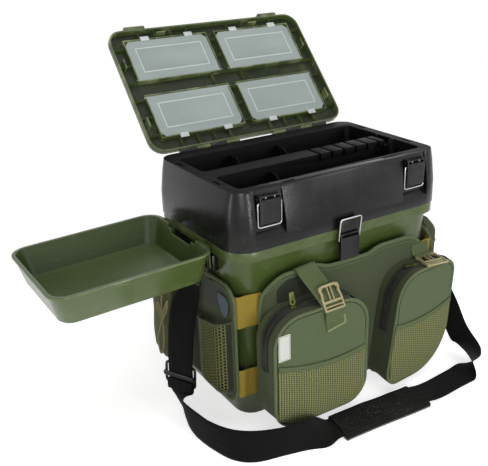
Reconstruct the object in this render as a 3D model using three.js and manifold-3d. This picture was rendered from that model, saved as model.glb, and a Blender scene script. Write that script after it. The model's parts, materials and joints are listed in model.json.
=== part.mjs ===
// Fishing seat box: a moulded tub carries a lidded tackle section, a hook-on side tray and
// a fabric carrier with pockets and a shoulder strap. Millimetres, +Z up, front towards -Y,
// +X to the right seen from the front. The origin is the centre of the tub's base on the ground.

import * as THREE from 'three';
import { mergeVertices } from 'three/addons/utils/BufferGeometryUtils.js';
import Module from 'manifold-3d';

const wasm = await Module();
wasm.setup();

// Shared fits and finish
const fitGap = 0.3;
const cutOverrun = 2;
const weldDistance = 0.0001;
const cornerSteps = 5;
const smallCornerSteps = 3;
const roundSides = 12;
const wireSides = 8;

// Tub, whose band lies just inside the tackle section that stands on it
const seamHeight = 300;
const tackleWidth = 408;
const tackleDepth = 260;
const seamLedge = 1;
const bandWidth = tackleWidth - 2 * seamLedge;
const bandDepth = tackleDepth - 2 * seamLedge;
const bandOverhang = 8;
const tubTopWidth = bandWidth - 2 * bandOverhang;
const tubTopDepth = bandDepth - 2 * bandOverhang;
const tubTopRadius = 36;
const tubBaseWidth = 362;
const tubBaseDepth = 208;
const tubBaseRadius = 30;
const tubBaseEdge = 4;
const tubWall = 3;
const bandRadius = 38;
const bandHeight = 16.7;
const bandStep = 3;
const bossRadius = 8;

// Tackle section
const tackleStraight = 38;
const shoulderDraw = 5;
const shoulderWidth = tackleWidth - 2 * shoulderDraw;
const shoulderDepth = tackleDepth - 2 * shoulderDraw;
const shoulderRadius = 30;
const shoulderRise = 72;
const lipDraw = 8.25;
const lipWidth = tackleWidth - 2 * lipDraw;
const lipDepth = tackleDepth - 2 * lipDraw;
const lipRadius = 25;
const lipRise = 86;
const rimDraw = 9;
const rimWidth = tackleWidth - 2 * rimDraw;
const rimDepth = tackleDepth - 2 * rimDraw;
const rimRadius = 24;
const rimRise = 90;
const shellWall = 3;
const topSkin = 4;
const spigotDrop = 6.7;
const spigotClearance = 1;
const spigotWall = 2;
const compartmentLength = 354;
const compartmentRadius = 10;
const compartmentFloorRise = 12;
const compartmentDraft = 2;
const frontBayDepth = 70;
const dividerThickness = 33;
const rearBayDepth = 85;
const frontRimBreadth = 20;
const rodRestFirst = 20;
const rodRestPitch = 25;
const rodRestCount = 6;
const rodRestWidth = 5;
const rodRestDepth = 12;
const restBlockStart = 10;
const restBlockHeight = 18;
const restEndLength = 17;
const restEndDrop = 10;
const slotLength = 22;
const slotWidth = 4;
const slotRimOffset = 8;
const sideSlotFront = -55.5;
const sideSlotRear = 61.5;
const frontSlotOffset = 97;
const partitionThickness = 2;
const partitionTopDrop = 10;
const partitionNotchDepth = 9;
const partitionNotchLength = 30;
const frontPartitionX = -78;
const rearPartitionLeftX = -80;
const rearPartitionRightX = 15;

// Latch recesses in the tackle section
const latchOffset = 141;
const recessTopHalf = 24;
const recessLowHalf = 27;
const recessSink = 10;
const recessFloorY = recessSink - tackleDepth / 2;
const recessFloorLow = 26;
const recessEndLow = 15;

// Hinges: the tackle section on the tub, and the lid on the tackle section
const tackleAxisReach = 6;
const tackleAxisDrop = 0.2;
const tackleAxisY = tackleDepth / 2 + tackleAxisReach;
const tackleAxisZ = seamHeight - tackleAxisDrop;
const tackleKnuckle = 5;
const tackleRodRadius = 2;
const tackleHingeStart = 53;
const tackleHingeSpan = 28;
const lidAxisReach = 3.6;
const lidAxisY = rimDepth / 2 + lidAxisReach;
const lidAxisRise = 90.3;
const lidKnuckle = 4;
const lidRodRadius = 1.5;
const lidReliefGap = 0.8;
const lidHingeStart = 36.5;
const lidLugSpan = 26;
const lidArmSpan = 30;
const hingeSideGap = 1.5;
const hingeArmDrop = 16;
const lidOpenAngle = 132.3;

// Lid, in its closed place: forward of the hinge axis, up from its underside
const lidOverhang = 4;
const lidLengthSpare = 1;
const lidWidth = rimWidth + 2 * lidOverhang;
const lidLength = rimDepth + lidLengthSpare;
const lidThickness = 14;
const lidRadius = 26;
const lidBackGap = 5;
const lidSkin = 3;
const lidEdgeRound = 4;
const lidPanelInset = 28;
const lidPanelSink = 1.2;
const boxLidLength = 161;
const boxLidDepth = 80;
const boxLidInner = 10.5;
const upperBoxStart = 140;
const lowerBoxStart = 28;
const frameWall = 2;
const frameTop = 0.6;
const frameLedge = 3;
const boxLidGap = 0.6;
const boxLidTop = 2;
const boxLidThickness = 1.6;
const boxLidChamfer = 8;
const boxLidRidgeInset = 15;
const boxLidRidgeWidth = 2;
const boxLidRidgeHeight = 0.6;
const boxPinRadius = 1.2;
const boxPinInset = 2;
const boxPinReach = 4;
const tabWidth = 16;
const tabReach = 1.5;
const tabHeight = 1.5;
const tabLipReach = 7;
const tabLipThickness = 1.6;
const tabNearShare = 0.25;
const tabFarShare = 0.79;
const ribThickness = 1.6;
const ribTop = 2.5;
const sideRibCount = 6;
const borderRibCount = 4;
const stripRibShare = 0.12;
const nubWidth = 36;
const nubReach = 10;
const nubRise = 1.5;
const nubHook = 5;
const pegLength = 18;
const pegThickness = 2.4;
const pegReach = 3;

// Latches: out from the wall and up from the lever's pin
const latchBaseHalf = 18.5;
const latchBaseThickness = 2.5;
const latchBaseLow = 7;
const latchBaseTop = 3.4;
const latchPinOut = 6;
const latchPinRadius = 1.4;
const latchPinHole = 1.7;
const earInner = 13.5;
const earThickness = 2.3;
const earRadius = 3;
const leverHalf = 18.3;
const leverFlange = 2;
const leverTopRadius = 2.9;
const leverPlateTop = 4;
const leverLength = 40.5;
const leverPlateInner = 7.6;
const leverPlateFace = 9.6;
const leverRib = 0.5;
const leverRibCount = 12;
const leverFlangeInner = 3.1;
const leverTaperStart = 14;
const bailDrop = 9;
const bailHole = 1.9;
const bailWireRadius = 1.4;
const bailHalf = 20.4;
const bailLength = 37;
const bailInnerEnd = 16.6;
const bailBend = 4;
const bailFootBend = 2;
const upperLatchPinDrop = 10;
const centreLatchPinDrop = 9.7;
const centreBailLean = 7.5;
const keeperHalf = 18.5;
const keeperFace = 9;
const keeperLow = -5.8;
const keeperTop = 16.3;
const keeperLip = 3;

// Side tray
const trayRimLength = 245;
const trayRimDepth = 202;
const trayBaseLength = 224;
const trayBaseDepth = 182;
const trayRimRadius = 26;
const trayBaseRadius = 22;
const trayHeight = 48;
const trayWall = 3;
const trayLip = 3;
const trayLipHeight = 3;
const trayStandOff = 19;
const trayInnerX = -tubTopWidth / 2 - trayStandOff;
const trayCentreY = 12;
const trayDropFromSeam = 2;
const trayTopZ = seamHeight - trayDropFromSeam;
const trayDroop = 1.6;
const trayNotchDepth = 13;
const trayNotchLength = 92;
const trayNotchStep = 14;
const tongueStandOff = 11.3;
const tongueInnerX = -tubTopWidth / 2 - tongueStandOff;
const tongueThickness = 3;
const tongueWidth = 26;
const tongueDrop = 40;
const bridgeDrop = 5;

// Bracket that the tray hangs on
const bracketDrop = 20.5;
const bracketHeight = 25.5;
const bracketTopZ = seamHeight - bracketDrop;
const bracketLowZ = bracketTopZ - bracketHeight;
const bracketLength = 150;
const bracketStandOff = 9.6;
const bracketSlot = 6.2;
const bracketWall = 2.8;
const bracketSlotInner = -tubTopWidth / 2 - bracketStandOff;
const bracketSlotOuter = bracketSlotInner - bracketSlot;
const bracketFace = bracketSlotOuter - bracketWall;
const bracketFloor = 3;

// Fabric carrier: panels
const panelThickness = 4;
const frontPanelStandOff = 16;
const frontPanelFace = -tubTopDepth / 2 - frontPanelStandOff;
const frontPanelHalf = 166;
const frontPanelCurl = 26;
const frontPanelCurlShare = 0.55;
const frontPanelDrop = 52.5;
const frontPanelTopCentre = seamHeight - frontPanelDrop;
const frontPanelSwell = 8.5;
const frontPanelTopSide = frontPanelTopCentre + frontPanelSwell;
const frontPanelLow = 27;
const frontPanelCorner = 46;
const frontPanelDip = 34;
const sidePanelThickness = 5;
const sidePanelStandOff = 8;
const sidePanelFace = tubTopWidth / 2 + sidePanelStandOff;
const sidePanelEndInset = 3;
const sidePanelHalf = tubTopDepth / 2 - sidePanelEndInset;
const sidePanelDrop = 57;
const sidePanelTop = seamHeight - sidePanelDrop;
const sidePanelLow = 40;
const sidePanelCorner = 30;
const backPanelStandOff = 7.5;
const backPanelFace = tubTopDepth / 2 + backPanelStandOff;
const backPanelHalf = 168;
const backPanelDrop = 50;
const backPanelTop = seamHeight - backPanelDrop;
const backPanelLow = 30;

// Elastic links at the front corners
const linkThickness = 1.6;
const linkTail = 10;
const linkBend = 4;
const linkPassShare = 0.67;
const linkSeatShare = 0.6;
const linkEndShare = 0.44;
const upperLinkLow = 176;
const upperLinkTop = 229;
const lowerLinkLow = 54;
const lowerLinkTop = 102;

// Front pockets
const pocketDepth = 48;
const pocketFace = frontPanelFace - pocketDepth;
const pocketEdge = 6;
const leftPocketCentre = -88;
const leftPocketWidth = 178;
const leftPocketLow = 20;
const leftPocketDrop = 46;
const leftPocketTop = frontPanelTopSide - leftPocketDrop;
const leftPocketTopRadius = 48;
const leftPocketLowRadius = 40;
const rightPocketLow = 16;
const rightPocketDrop = 44;
const rightPocketTop = frontPanelTopSide - rightPocketDrop;
const rightPocketLowLeft = 43;
const rightPocketTopLeft = 71;
const rightPocketTopRight = 203;
const rightPocketLowRight = 188;
const rightPocketTurn = 5;
const pocketCornerTight = 24;
const pocketCornerWide = 84;
const pocketCornerTopLeft = 52;
const meshBulge = 6;
const meshEdgeThickness = 1.6;
const meshInset = 7;
const leftMeshOuter = 137;
const leftMeshMiddle = 117;
const leftMeshInner = 121;
const rightMeshOuter = 131;
const rightMeshMiddle = 125;
const rightMeshInner = 139;

// Zips, straps and buckles on the front pockets
const zipSetBack = 22;
const zipLength = 11;
const zipWidth = 8;
const zipHeight = 3.5;
const zipPullLength = 22;
const zipPullWidth = 6;
const zipPullThickness = 1.4;
const zipEyeRadius = 1.8;
const leftZipX = -124;
const rightZipX = 122;
const tapeThickness = 1.5;
const tapeWidth = 36;
const buckleWidth = 42;
const buckleLength = 40;
const buckleThickness = 6;
const buckleRail = 6;
const buckleBar = 5;

// Lie of the two buckles: centre, direction of the length and of the width
const leftBuckleCentre = [-64, -176.6, 222.2];
const leftBuckleLong = [-12, -29.5, -24];
const leftBuckleWide = [0.99, 0, 0.12];
const rightBuckleX = 153;
const rightBuckleY = -163.5;
const rightBuckleLong = [-0.15, -0.99, 0];
const rightBuckleWide = [0.99, -0.15, 0];

// Webbing of the two buckles: [x, z] where it lies on the panel, [x, y, z] where it hangs free
const leftTapeOnPanel = [[-86, 240], [-85, 247]];
const leftTapeFree = [[-79, -143, 250], [-69, -150, 246]];
const leftTabOnPocket = [[-71, 192], [-66, 170]];
const rightTapeOnPanel = [[150, 238]];
const rightTapeFree = [[150.5, -138.3, 230], [151, -139.2, 223.5], [152, -141.4, 220.1]];

// Side pockets
const bottleFront = -116;
const bottleRear = -30;
const bottleDepth = 24;
const bottleLow = 58;
const bottleDrop = 47;
const bottleTop = sidePanelTop - bottleDrop;
const bottleWall = 2.5;
const bottleRadius = 18;
const flapDrop = 5;
const flapTop = sidePanelTop - flapDrop;
const flapThickness = 3;
const pouchFront = 29;
const pouchRear = 112;
const pouchDepth = 44;
const pouchLow = 52;
const pouchDrop = 17;
const pouchTop = sidePanelTop - pouchDrop;
const pouchRadius = 26;
const pouchNeckShare = 0.62;
const rightSideFront = -104;
const rightSideRear = -34;
const rightSideDepth = 26;
const rightSideLow = 44;
const rightSideTop = 252;
const rightSideRadius = 12;

// Shoulder strap with its rings, glide and pad
const strapWidth = 48;
const strapThickness = 2.2;
const ringWire = 2;
const ringHalf = 27;
const ringHeight = 22;
const ringOut = 209.5;
const ringLow = 216;
const ringBend = 7;
const loopHalf = 20;
const loopThickness = 2;
const loopTail = 16;
const loopLead = 9;
const loopEnd = 7;
const glideWidth = 62;
const glideHeight = 36;
const glideShift = 4;
const glideThickness = 3;
const glideBar = 5;
const padWidth = 60;
const padThickness = 6;

// Angles and directions
const quarterTurn = Math.PI / 2;
const sides = [-1, 1];

// Colours of the finishes
const colours = {
  tubGreen: 0x4a6030,
  black: 0x1b1c1e,
  trayGreen: 0x4f7040,
  frosted: 0xb9c4bf,
  fabric: 0x46553c,
  mesh: 0x5d6237,
  elastic: 0xa8873a,
  buckle: 0xb19c72,
  brass: 0x77683f,
  steel: 0xc9cbce,
  webbing: 0x161617,
};

function finish(colour, roughness, metalness) {
  return new THREE.MeshStandardMaterial({ color: colour, roughness, metalness });
}

const finishes = {
  tub: finish(colours.tubGreen, 0.38, 0),
  black: finish(colours.black, 0.45, 0),
  tray: finish(colours.trayGreen, 0.4, 0),
  frosted: finish(colours.frosted, 0.3, 0),
  fabric: finish(colours.fabric, 0.9, 0),
  mesh: finish(colours.mesh, 0.95, 0),
  elastic: finish(colours.elastic, 0.85, 0),
  buckle: finish(colours.buckle, 0.5, 0),
  brass: finish(colours.brass, 0.4, 0.8),
  steel: finish(colours.steel, 0.2, 1),
  webbing: finish(colours.webbing, 0.9, 0),
};

// Turns a closed geometry into a solid that can be joined and cut.
function solid(geometry) {
  const bare = geometry.clone();
  bare.deleteAttribute('normal');
  bare.deleteAttribute('uv');
  const merged = mergeVertices(bare, weldDistance);
  return new wasm.Manifold(new wasm.Mesh({
    numProp: 3,
    vertProperties: new Float32Array(merged.attributes.position.array),
    triVerts: new Uint32Array(merged.index.array),
  }));
}

function geometryOf(body) {
  const mesh = body.getMesh();
  const geometry = new THREE.BufferGeometry();
  geometry.setAttribute('position', new THREE.BufferAttribute(mesh.vertProperties, 3));
  geometry.setIndex(new THREE.BufferAttribute(mesh.triVerts, 1));
  geometry.computeVertexNormals();
  return geometry;
}

function joined(...geometries) {
  return geometries.map(solid).reduce((whole, next) => whole.add(next));
}

function cut(body, ...geometries) {
  return geometries.reduce((rest, next) => rest.subtract(solid(next)), body);
}

// Points of an arc in a plane, as pairs.
function arc(centreA, centreB, radius, fromAngle, toAngle, steps) {
  return Array.from({ length: steps + 1 }, (_, step) => {
    const angle = fromAngle + ((toAngle - fromAngle) * step) / steps;
    return [centreA + radius * Math.cos(angle), centreB + radius * Math.sin(angle)];
  });
}

// Outline of a rectangle with round corners, anticlockwise, as pairs.
function roundedOutline(width, depth, radius, centreX = 0, centreY = 0, steps = cornerSteps) {
  const halfX = width / 2 - radius;
  const halfY = depth / 2 - radius;
  const corners = [[1, -1], [1, 1], [-1, 1], [-1, -1]];
  return corners.flatMap(([signX, signY], index) => arc(
    centreX + signX * halfX,
    centreY + signY * halfY,
    radius,
    (index - 1) * quarterTurn,
    index * quarterTurn,
    steps,
  ));
}

// Outline of a polygon whose corners are [a, b, radius], anticlockwise, as pairs.
function roundedPolygon(corners, steps = cornerSteps) {
  return corners.flatMap(([a, b, radius], index) => {
    const before = corners.at(index - 1);
    const after = corners[(index + 1) % corners.length];
    const corner = new THREE.Vector2(a, b);
    const back = new THREE.Vector2(before[0], before[1]).sub(corner).normalize();
    const ahead = new THREE.Vector2(after[0], after[1]).sub(corner).normalize();
    const halfAngle = Math.acos(THREE.MathUtils.clamp(back.dot(ahead), -1, 1)) / 2;
    const bisector = back.clone().add(ahead).normalize();
    const centre = corner.clone().addScaledVector(bisector, radius / Math.sin(halfAngle));
    const start = corner.clone().addScaledVector(back, radius / Math.tan(halfAngle)).sub(centre);
    const sweep = Math.PI - 2 * halfAngle;
    return arc(centre.x, centre.y, radius, start.angle(), start.angle() + sweep, steps);
  });
}

function ringAt(outline, z) {
  return outline.map(([x, y]) => new THREE.Vector3(x, y, z));
}

function roundedRing(width, depth, radius, z, centreX = 0, centreY = 0) {
  return ringAt(roundedOutline(width, depth, radius, centreX, centreY), z);
}

// Skin over a list of rings with equal point counts; both ends are closed by fans unless the
// rings run round to the first one again.
function loft(rings, looped = false) {
  const count = rings[0].length;
  const positions = rings.flat().flatMap((point) => point.toArray());
  const faces = [];
  const spans = looped ? rings.length : rings.length - 1;
  for (let ring = 0; ring < spans; ring += 1) {
    const nextRing = (ring + 1) % rings.length;
    for (let side = 0; side < count; side += 1) {
      const nextSide = (side + 1) % count;
      const a = ring * count + side;
      const b = ring * count + nextSide;
      const c = nextRing * count + nextSide;
      const d = nextRing * count + side;
      faces.push(a, b, c, a, c, d);
    }
  }
  if (!looped) {
    addFan(positions, faces, rings[0], 0, true);
    addFan(positions, faces, rings.at(-1), (rings.length - 1) * count, false);
  }
  const geometry = new THREE.BufferGeometry();
  geometry.setAttribute('position', new THREE.Float32BufferAttribute(positions, 3));
  geometry.setIndex(faces);
  geometry.computeVertexNormals();
  return geometry;
}

function addFan(positions, faces, ring, first, flipped) {
  const centre = ring.reduce((sum, point) => sum.add(point), new THREE.Vector3());
  centre.divideScalar(ring.length);
  const hub = positions.length / 3;
  positions.push(...centre.toArray());
  for (let side = 0; side < ring.length; side += 1) {
    const here = first + side;
    const next = first + ((side + 1) % ring.length);
    faces.push(hub, ...(flipped ? [next, here] : [here, next]));
  }
}

function box(x0, x1, y0, y1, z0, z1) {
  const geometry = new THREE.BoxGeometry(x1 - x0, y1 - y0, z1 - z0);
  return geometry.translate((x0 + x1) / 2, (y0 + y1) / 2, (z0 + z1) / 2);
}

// Prism of a profile in the Y-Z plane, from x0 to x1.
function prismAlongX(profile, x0, x1) {
  const shape = new THREE.Shape(profile.map(([y, z]) => new THREE.Vector2(y, z)));
  const geometry = new THREE.ExtrudeGeometry(shape, { depth: x1 - x0, bevelEnabled: false });
  const axes = new THREE.Matrix4().makeBasis(
    new THREE.Vector3(0, 1, 0),
    new THREE.Vector3(0, 0, 1),
    new THREE.Vector3(1, 0, 0),
  );
  return geometry.applyMatrix4(axes).translate(x0, 0, 0);
}

// Prism of a profile in the X-Z plane, from y1 forward to y0.
function prismAlongY(profile, y0, y1) {
  const shape = new THREE.Shape(profile.map(([x, z]) => new THREE.Vector2(x, z)));
  const geometry = new THREE.ExtrudeGeometry(shape, { depth: y1 - y0, bevelEnabled: false });
  return geometry.rotateX(quarterTurn).translate(0, y1, 0);
}

function rodAlongX(radius, x0, x1, y, z, count = roundSides) {
  const geometry = new THREE.CylinderGeometry(radius, radius, x1 - x0, count);
  return geometry.rotateZ(quarterTurn).translate((x0 + x1) / 2, y, z);
}

function rodAlongY(radius, y0, y1, x, z, count = roundSides) {
  const geometry = new THREE.CylinderGeometry(radius, radius, y1 - y0, count);
  return geometry.translate(x, (y0 + y1) / 2, z);
}

// Section carried along stations of { centre, across, over }, where the section's pairs are
// measured along those two directions.
function sweep(stations, section, looped = false) {
  const rings = stations.map(({ centre, across, over }) => section.map(([a, b]) => centre.clone()
    .addScaledVector(across, a)
    .addScaledVector(over, b)));
  return loft(rings, looped);
}

function roundSection(radius, count = wireSides) {
  return arc(0, 0, radius, 0, 2 * Math.PI, count).slice(0, -1);
}

// Wire bent in one plane: the path is a list of pairs along the directions given.
function bentWire(path, radius, origin, alongA, alongB, looped = false) {
  const normal = alongA.clone().cross(alongB);
  const place = ([a, b]) => origin.clone().addScaledVector(alongA, a).addScaledVector(alongB, b);
  const points = path.map(place);
  const stations = points.map((centre, index) => {
    const last = points.length - 1;
    const before = looped ? points.at(index - 1) : points[Math.max(index - 1, 0)];
    const after = looped ? points[(index + 1) % points.length] : points[Math.min(index + 1, last)];
    const travel = after.clone().sub(before).normalize();
    return { centre, across: normal, over: travel.clone().cross(normal) };
  });
  return sweep(stations, roundSection(radius), looped);
}

function mesh(name, shape, material) {
  const geometry = shape instanceof THREE.BufferGeometry ? shape : geometryOf(shape);
  const piece = new THREE.Mesh(geometry, material);
  piece.name = name;
  return piece;
}

function grouped(...pieces) {
  const group = new THREE.Group();
  group.add(...pieces);
  return group;
}

const sideName = (side) => (side < 0 ? 'left' : 'right');
const tubTopZ = seamHeight - fitGap;
const bandLowZ = tubTopZ - bandHeight;
const bodyTopZ = bandLowZ - bandStep;
const tubShareAt = (z) => Math.min(z / bodyTopZ, 1);
const tubHalfWidthAt = (z) => THREE.MathUtils.lerp(tubBaseWidth, tubTopWidth, tubShareAt(z)) / 2;
const tubHalfDepthAt = (z) => THREE.MathUtils.lerp(tubBaseDepth, tubTopDepth, tubShareAt(z)) / 2;
const tubRadiusAt = (z) => THREE.MathUtils.lerp(tubBaseRadius, tubTopRadius, tubShareAt(z));

// Ring round the tub's wall at a height, drawn in by a distance.
function tubRing(z, inset = 0) {
  return roundedRing(
    2 * (tubHalfWidthAt(z) - inset),
    2 * (tubHalfDepthAt(z) - inset),
    tubRadiusAt(z) - inset,
    z,
  );
}

// Knuckle of a hinge with its arm, whose profile runs down to the wall that carries it.
function knuckle(radius, axisY, axisZ, armProfile, x0, x1) {
  return joined(rodAlongX(radius, x0, x1, axisY, axisZ), prismAlongX(armProfile, x0, x1));
}

function tub() {
  const bandHalfDepth = bandDepth / 2;
  const innerBand = (z) => roundedRing(
    bandWidth - 2 * tubWall,
    bandDepth - 2 * tubWall,
    bandRadius - tubWall,
    z,
  );
  const shell = loft([
    tubRing(0, tubBaseEdge),
    tubRing(tubBaseEdge),
    tubRing(bodyTopZ),
    roundedRing(bandWidth, bandDepth, bandRadius, bandLowZ),
    roundedRing(bandWidth, bandDepth, bandRadius, tubTopZ),
    innerBand(tubTopZ),
    innerBand(bandLowZ + tubWall),
    tubRing(bodyTopZ, tubWall),
    tubRing(tubWall, tubWall),
  ]);
  let body = solid(shell);
  const armLow = tackleAxisZ - 2 * tackleKnuckle;
  const arm = [
    [bandHalfDepth - tubWall / 2, armLow],
    [bandHalfDepth, armLow - tackleKnuckle],
    [tackleAxisY + tackleKnuckle, armLow + tackleKnuckle],
    [tackleAxisY + tackleKnuckle, tackleAxisZ],
    [tackleAxisY - tackleKnuckle, tackleAxisZ],
    [bandHalfDepth - tubWall / 2, tubTopZ - tubWall],
  ];
  const pitch = tackleHingeSpan + hingeSideGap;
  const starts = [tackleHingeStart, tackleHingeStart + 2 * pitch];
  for (const side of sides) {
    for (const start of starts) {
      const [x0, x1] = [side * start, side * (start + tackleHingeSpan)].sort((a, b) => a - b);
      body = body.add(knuckle(tackleKnuckle, tackleAxisY, tackleAxisZ, arm, x0, x1));
    }
    const end = side * (tackleHingeStart + 3 * pitch);
    const [h0, h1] = [side * (tackleHingeStart - hingeSideGap), end].sort((a, b) => a - b);
    body = cut(body, rodAlongX(tackleRodRadius + fitGap, h0, h1, tackleAxisY, tackleAxisZ));
  }
  return mesh('tub', addBosses(body), finishes.tub);
}

// Round bosses that the fabric panels are fixed to, reaching from the tub's wall to the panels.
function addBosses(body) {
  const upperZ = upperLinkTop;
  const lowerZ = lowerLinkLow;
  const panelBack = -frontPanelFace - panelThickness;
  const sideBack = sidePanelFace - sidePanelThickness;
  const rearBack = backPanelFace - panelThickness;
  const frontX = frontPanelHalf - 2 * frontPanelCurl;
  const sideY = sidePanelHalf / 2;
  let whole = body;
  for (const z of [lowerZ, upperZ]) {
    const wallY = tubHalfDepthAt(z) - tubWall / 2;
    const wallX = tubHalfWidthAt(z) - tubWall / 2;
    for (const side of sides) {
      const x = side * frontX;
      const [x0, x1] = [side * wallX, side * sideBack].sort((a, b) => a - b);
      whole = whole.add(solid(rodAlongY(bossRadius, -panelBack, -wallY, x, z, wireSides)));
      whole = whole.add(solid(rodAlongY(bossRadius, wallY, rearBack, x, z, wireSides)));
      for (const y of [-sideY, sideY]) {
        whole = whole.add(solid(rodAlongX(bossRadius, x0, x1, y, z, wireSides)));
      }
    }
  }
  return whole;
}

const rimTopZ = seamHeight + rimRise;
const floorZ = seamHeight + compartmentFloorRise;
const frontBayY0 = -(rimDepth / 2 - frontRimBreadth);
const frontBayY1 = frontBayY0 + frontBayDepth;
const rearBayY0 = frontBayY1 + dividerThickness;
const rearBayY1 = rearBayY0 + rearBayDepth;
const lidAxisZ = seamHeight + lidAxisRise;

// Cavity of one bay with its draft; growing it by a wall gives the outside of the bay.
function bay(y0, y1, grow, top) {
  const low = floorZ - grow;
  const centreY = (y0 + y1) / 2;
  const ring = (draft, z) => roundedRing(
    compartmentLength - 2 * draft + 2 * grow,
    y1 - y0 - 2 * draft + 2 * grow,
    compartmentRadius + grow,
    z,
    0,
    centreY,
  );
  return loft([ring(compartmentDraft, low), ring(0, rimTopZ), ring(0, top)]);
}

// Recess round an upper latch: a flat floor that slopes out to the wall at its lower end.
function latchRecess(side, grow) {
  const centreX = side * latchOffset;
  const top = rimTopZ + cutOverrun;
  const ring = (y, half, low) => [
    [-half, low], [half, low], [recessTopHalf + grow, top], [-recessTopHalf - grow, top],
  ].map(([x, z]) => new THREE.Vector3(centreX + x, y, z));
  const floorY = recessFloorY + grow;
  const outY = -(tackleDepth / 2 + cutOverrun);
  return loft([
    ring(floorY, recessLowHalf + grow, seamHeight + recessFloorLow - grow),
    ring(outY, recessLowHalf + grow, seamHeight + recessEndLow - grow),
  ]);
}

function tackleOuter() {
  const spigotInset = 2 * (tubWall + spigotClearance);
  const spigot = (z) => roundedRing(
    bandWidth - spigotInset,
    bandDepth - spigotInset,
    bandRadius - spigotInset / 2,
    z,
  );
  return loft([
    spigot(seamHeight - spigotDrop),
    spigot(seamHeight),
    roundedRing(tackleWidth, tackleDepth, bandRadius, seamHeight),
    roundedRing(tackleWidth, tackleDepth, bandRadius, seamHeight + tackleStraight),
    roundedRing(shoulderWidth, shoulderDepth, shoulderRadius, seamHeight + shoulderRise),
    roundedRing(lipWidth, lipDepth, lipRadius, seamHeight + lipRise),
    roundedRing(rimWidth, rimDepth, rimRadius, rimTopZ),
  ]);
}

function tackleHollow() {
  const wall = 2 * shellWall;
  const spigotInset = 2 * (tubWall + spigotClearance + spigotWall);
  const spigot = (z) => roundedRing(
    bandWidth - spigotInset,
    bandDepth - spigotInset,
    bandRadius - spigotInset / 2,
    z,
  );
  const inner = (width, depth, radius, z) => roundedRing(width - wall, depth - wall, radius - shellWall, z);
  return loft([
    spigot(seamHeight - spigotDrop - cutOverrun),
    spigot(seamHeight + shellWall),
    inner(tackleWidth, tackleDepth, bandRadius, seamHeight + 2 * shellWall),
    inner(tackleWidth, tackleDepth, bandRadius, seamHeight + tackleStraight),
    inner(shoulderWidth, shoulderDepth, shoulderRadius, seamHeight + shoulderRise),
    inner(lipWidth, lipDepth, lipRadius, rimTopZ - topSkin),
  ]);
}

function spanOf(side, start, length) {
  return [side * start, side * (start + length)].sort((a, b) => a - b);
}

function tackleSection() {
  const top = rimTopZ + cutOverrun;
  const halfBay = compartmentLength / 2;
  const restBlock = box(
    restBlockStart,
    halfBay + cutOverrun,
    frontBayY1,
    rearBayY0,
    rimTopZ - restBlockHeight,
    rimTopZ - topSkin / 2,
  );
  let hollow = cut(
    solid(tackleHollow()),
    bay(frontBayY0, frontBayY1, shellWall, top),
    bay(rearBayY0, rearBayY1, shellWall, top),
    restBlock,
    ...sides.map((side) => latchRecess(side, shellWall)),
  );
  let body = solid(tackleOuter()).subtract(hollow);
  body = cut(
    body,
    bay(frontBayY0, frontBayY1, 0, top),
    bay(rearBayY0, rearBayY1, 0, top),
    ...sides.map((side) => latchRecess(side, 0)),
    box(halfBay - restEndLength, halfBay, frontBayY1 - fitGap, rearBayY0 + fitGap, rimTopZ - restEndDrop, top),
  );
  for (let rest = 0; rest < rodRestCount; rest += 1) {
    const x = rodRestFirst + rest * rodRestPitch;
    const y0 = frontBayY1 - cutOverrun;
    const y1 = rearBayY0 + cutOverrun;
    body = cut(body, box(x, x + rodRestWidth, y0, y1, rimTopZ - rodRestDepth, top));
  }
  body = cut(body, ...rimSlots(top));
  for (const side of sides) {
    body = hingeTackle(body, side);
  }
  return mesh('tackle_section', body, finishes.black);
}

const sideSlotX = rimWidth / 2 - slotRimOffset;
const frontSlotY = -(rimDepth / 2 - slotRimOffset - slotWidth / 2);

// Slots in the rim that take the lid's pegs.
function rimSlots(top) {
  const low = rimTopZ - topSkin - cutOverrun;
  return sides.flatMap((side) => [
    ...[sideSlotFront, sideSlotRear].map((y) => box(
      side * sideSlotX - slotWidth / 2,
      side * sideSlotX + slotWidth / 2,
      y - slotLength / 2,
      y + slotLength / 2,
      low,
      top,
    )),
    box(
      side * frontSlotOffset - slotLength / 2,
      side * frontSlotOffset + slotLength / 2,
      frontSlotY - slotWidth / 2,
      frontSlotY + slotWidth / 2,
      low,
      top,
    ),
  ]);
}

const lidPitch = lidLugSpan + hingeSideGap;
const lidArmPitch = lidArmSpan + hingeSideGap;
const lidHingeLength = 2 * (lidPitch + lidArmPitch) - hingeSideGap;
const lidLugStarts = [lidHingeStart, lidHingeStart + lidPitch + lidArmPitch];
const lidArmStarts = [lidHingeStart + lidPitch, lidHingeStart + 2 * lidPitch + lidArmPitch];

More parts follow.
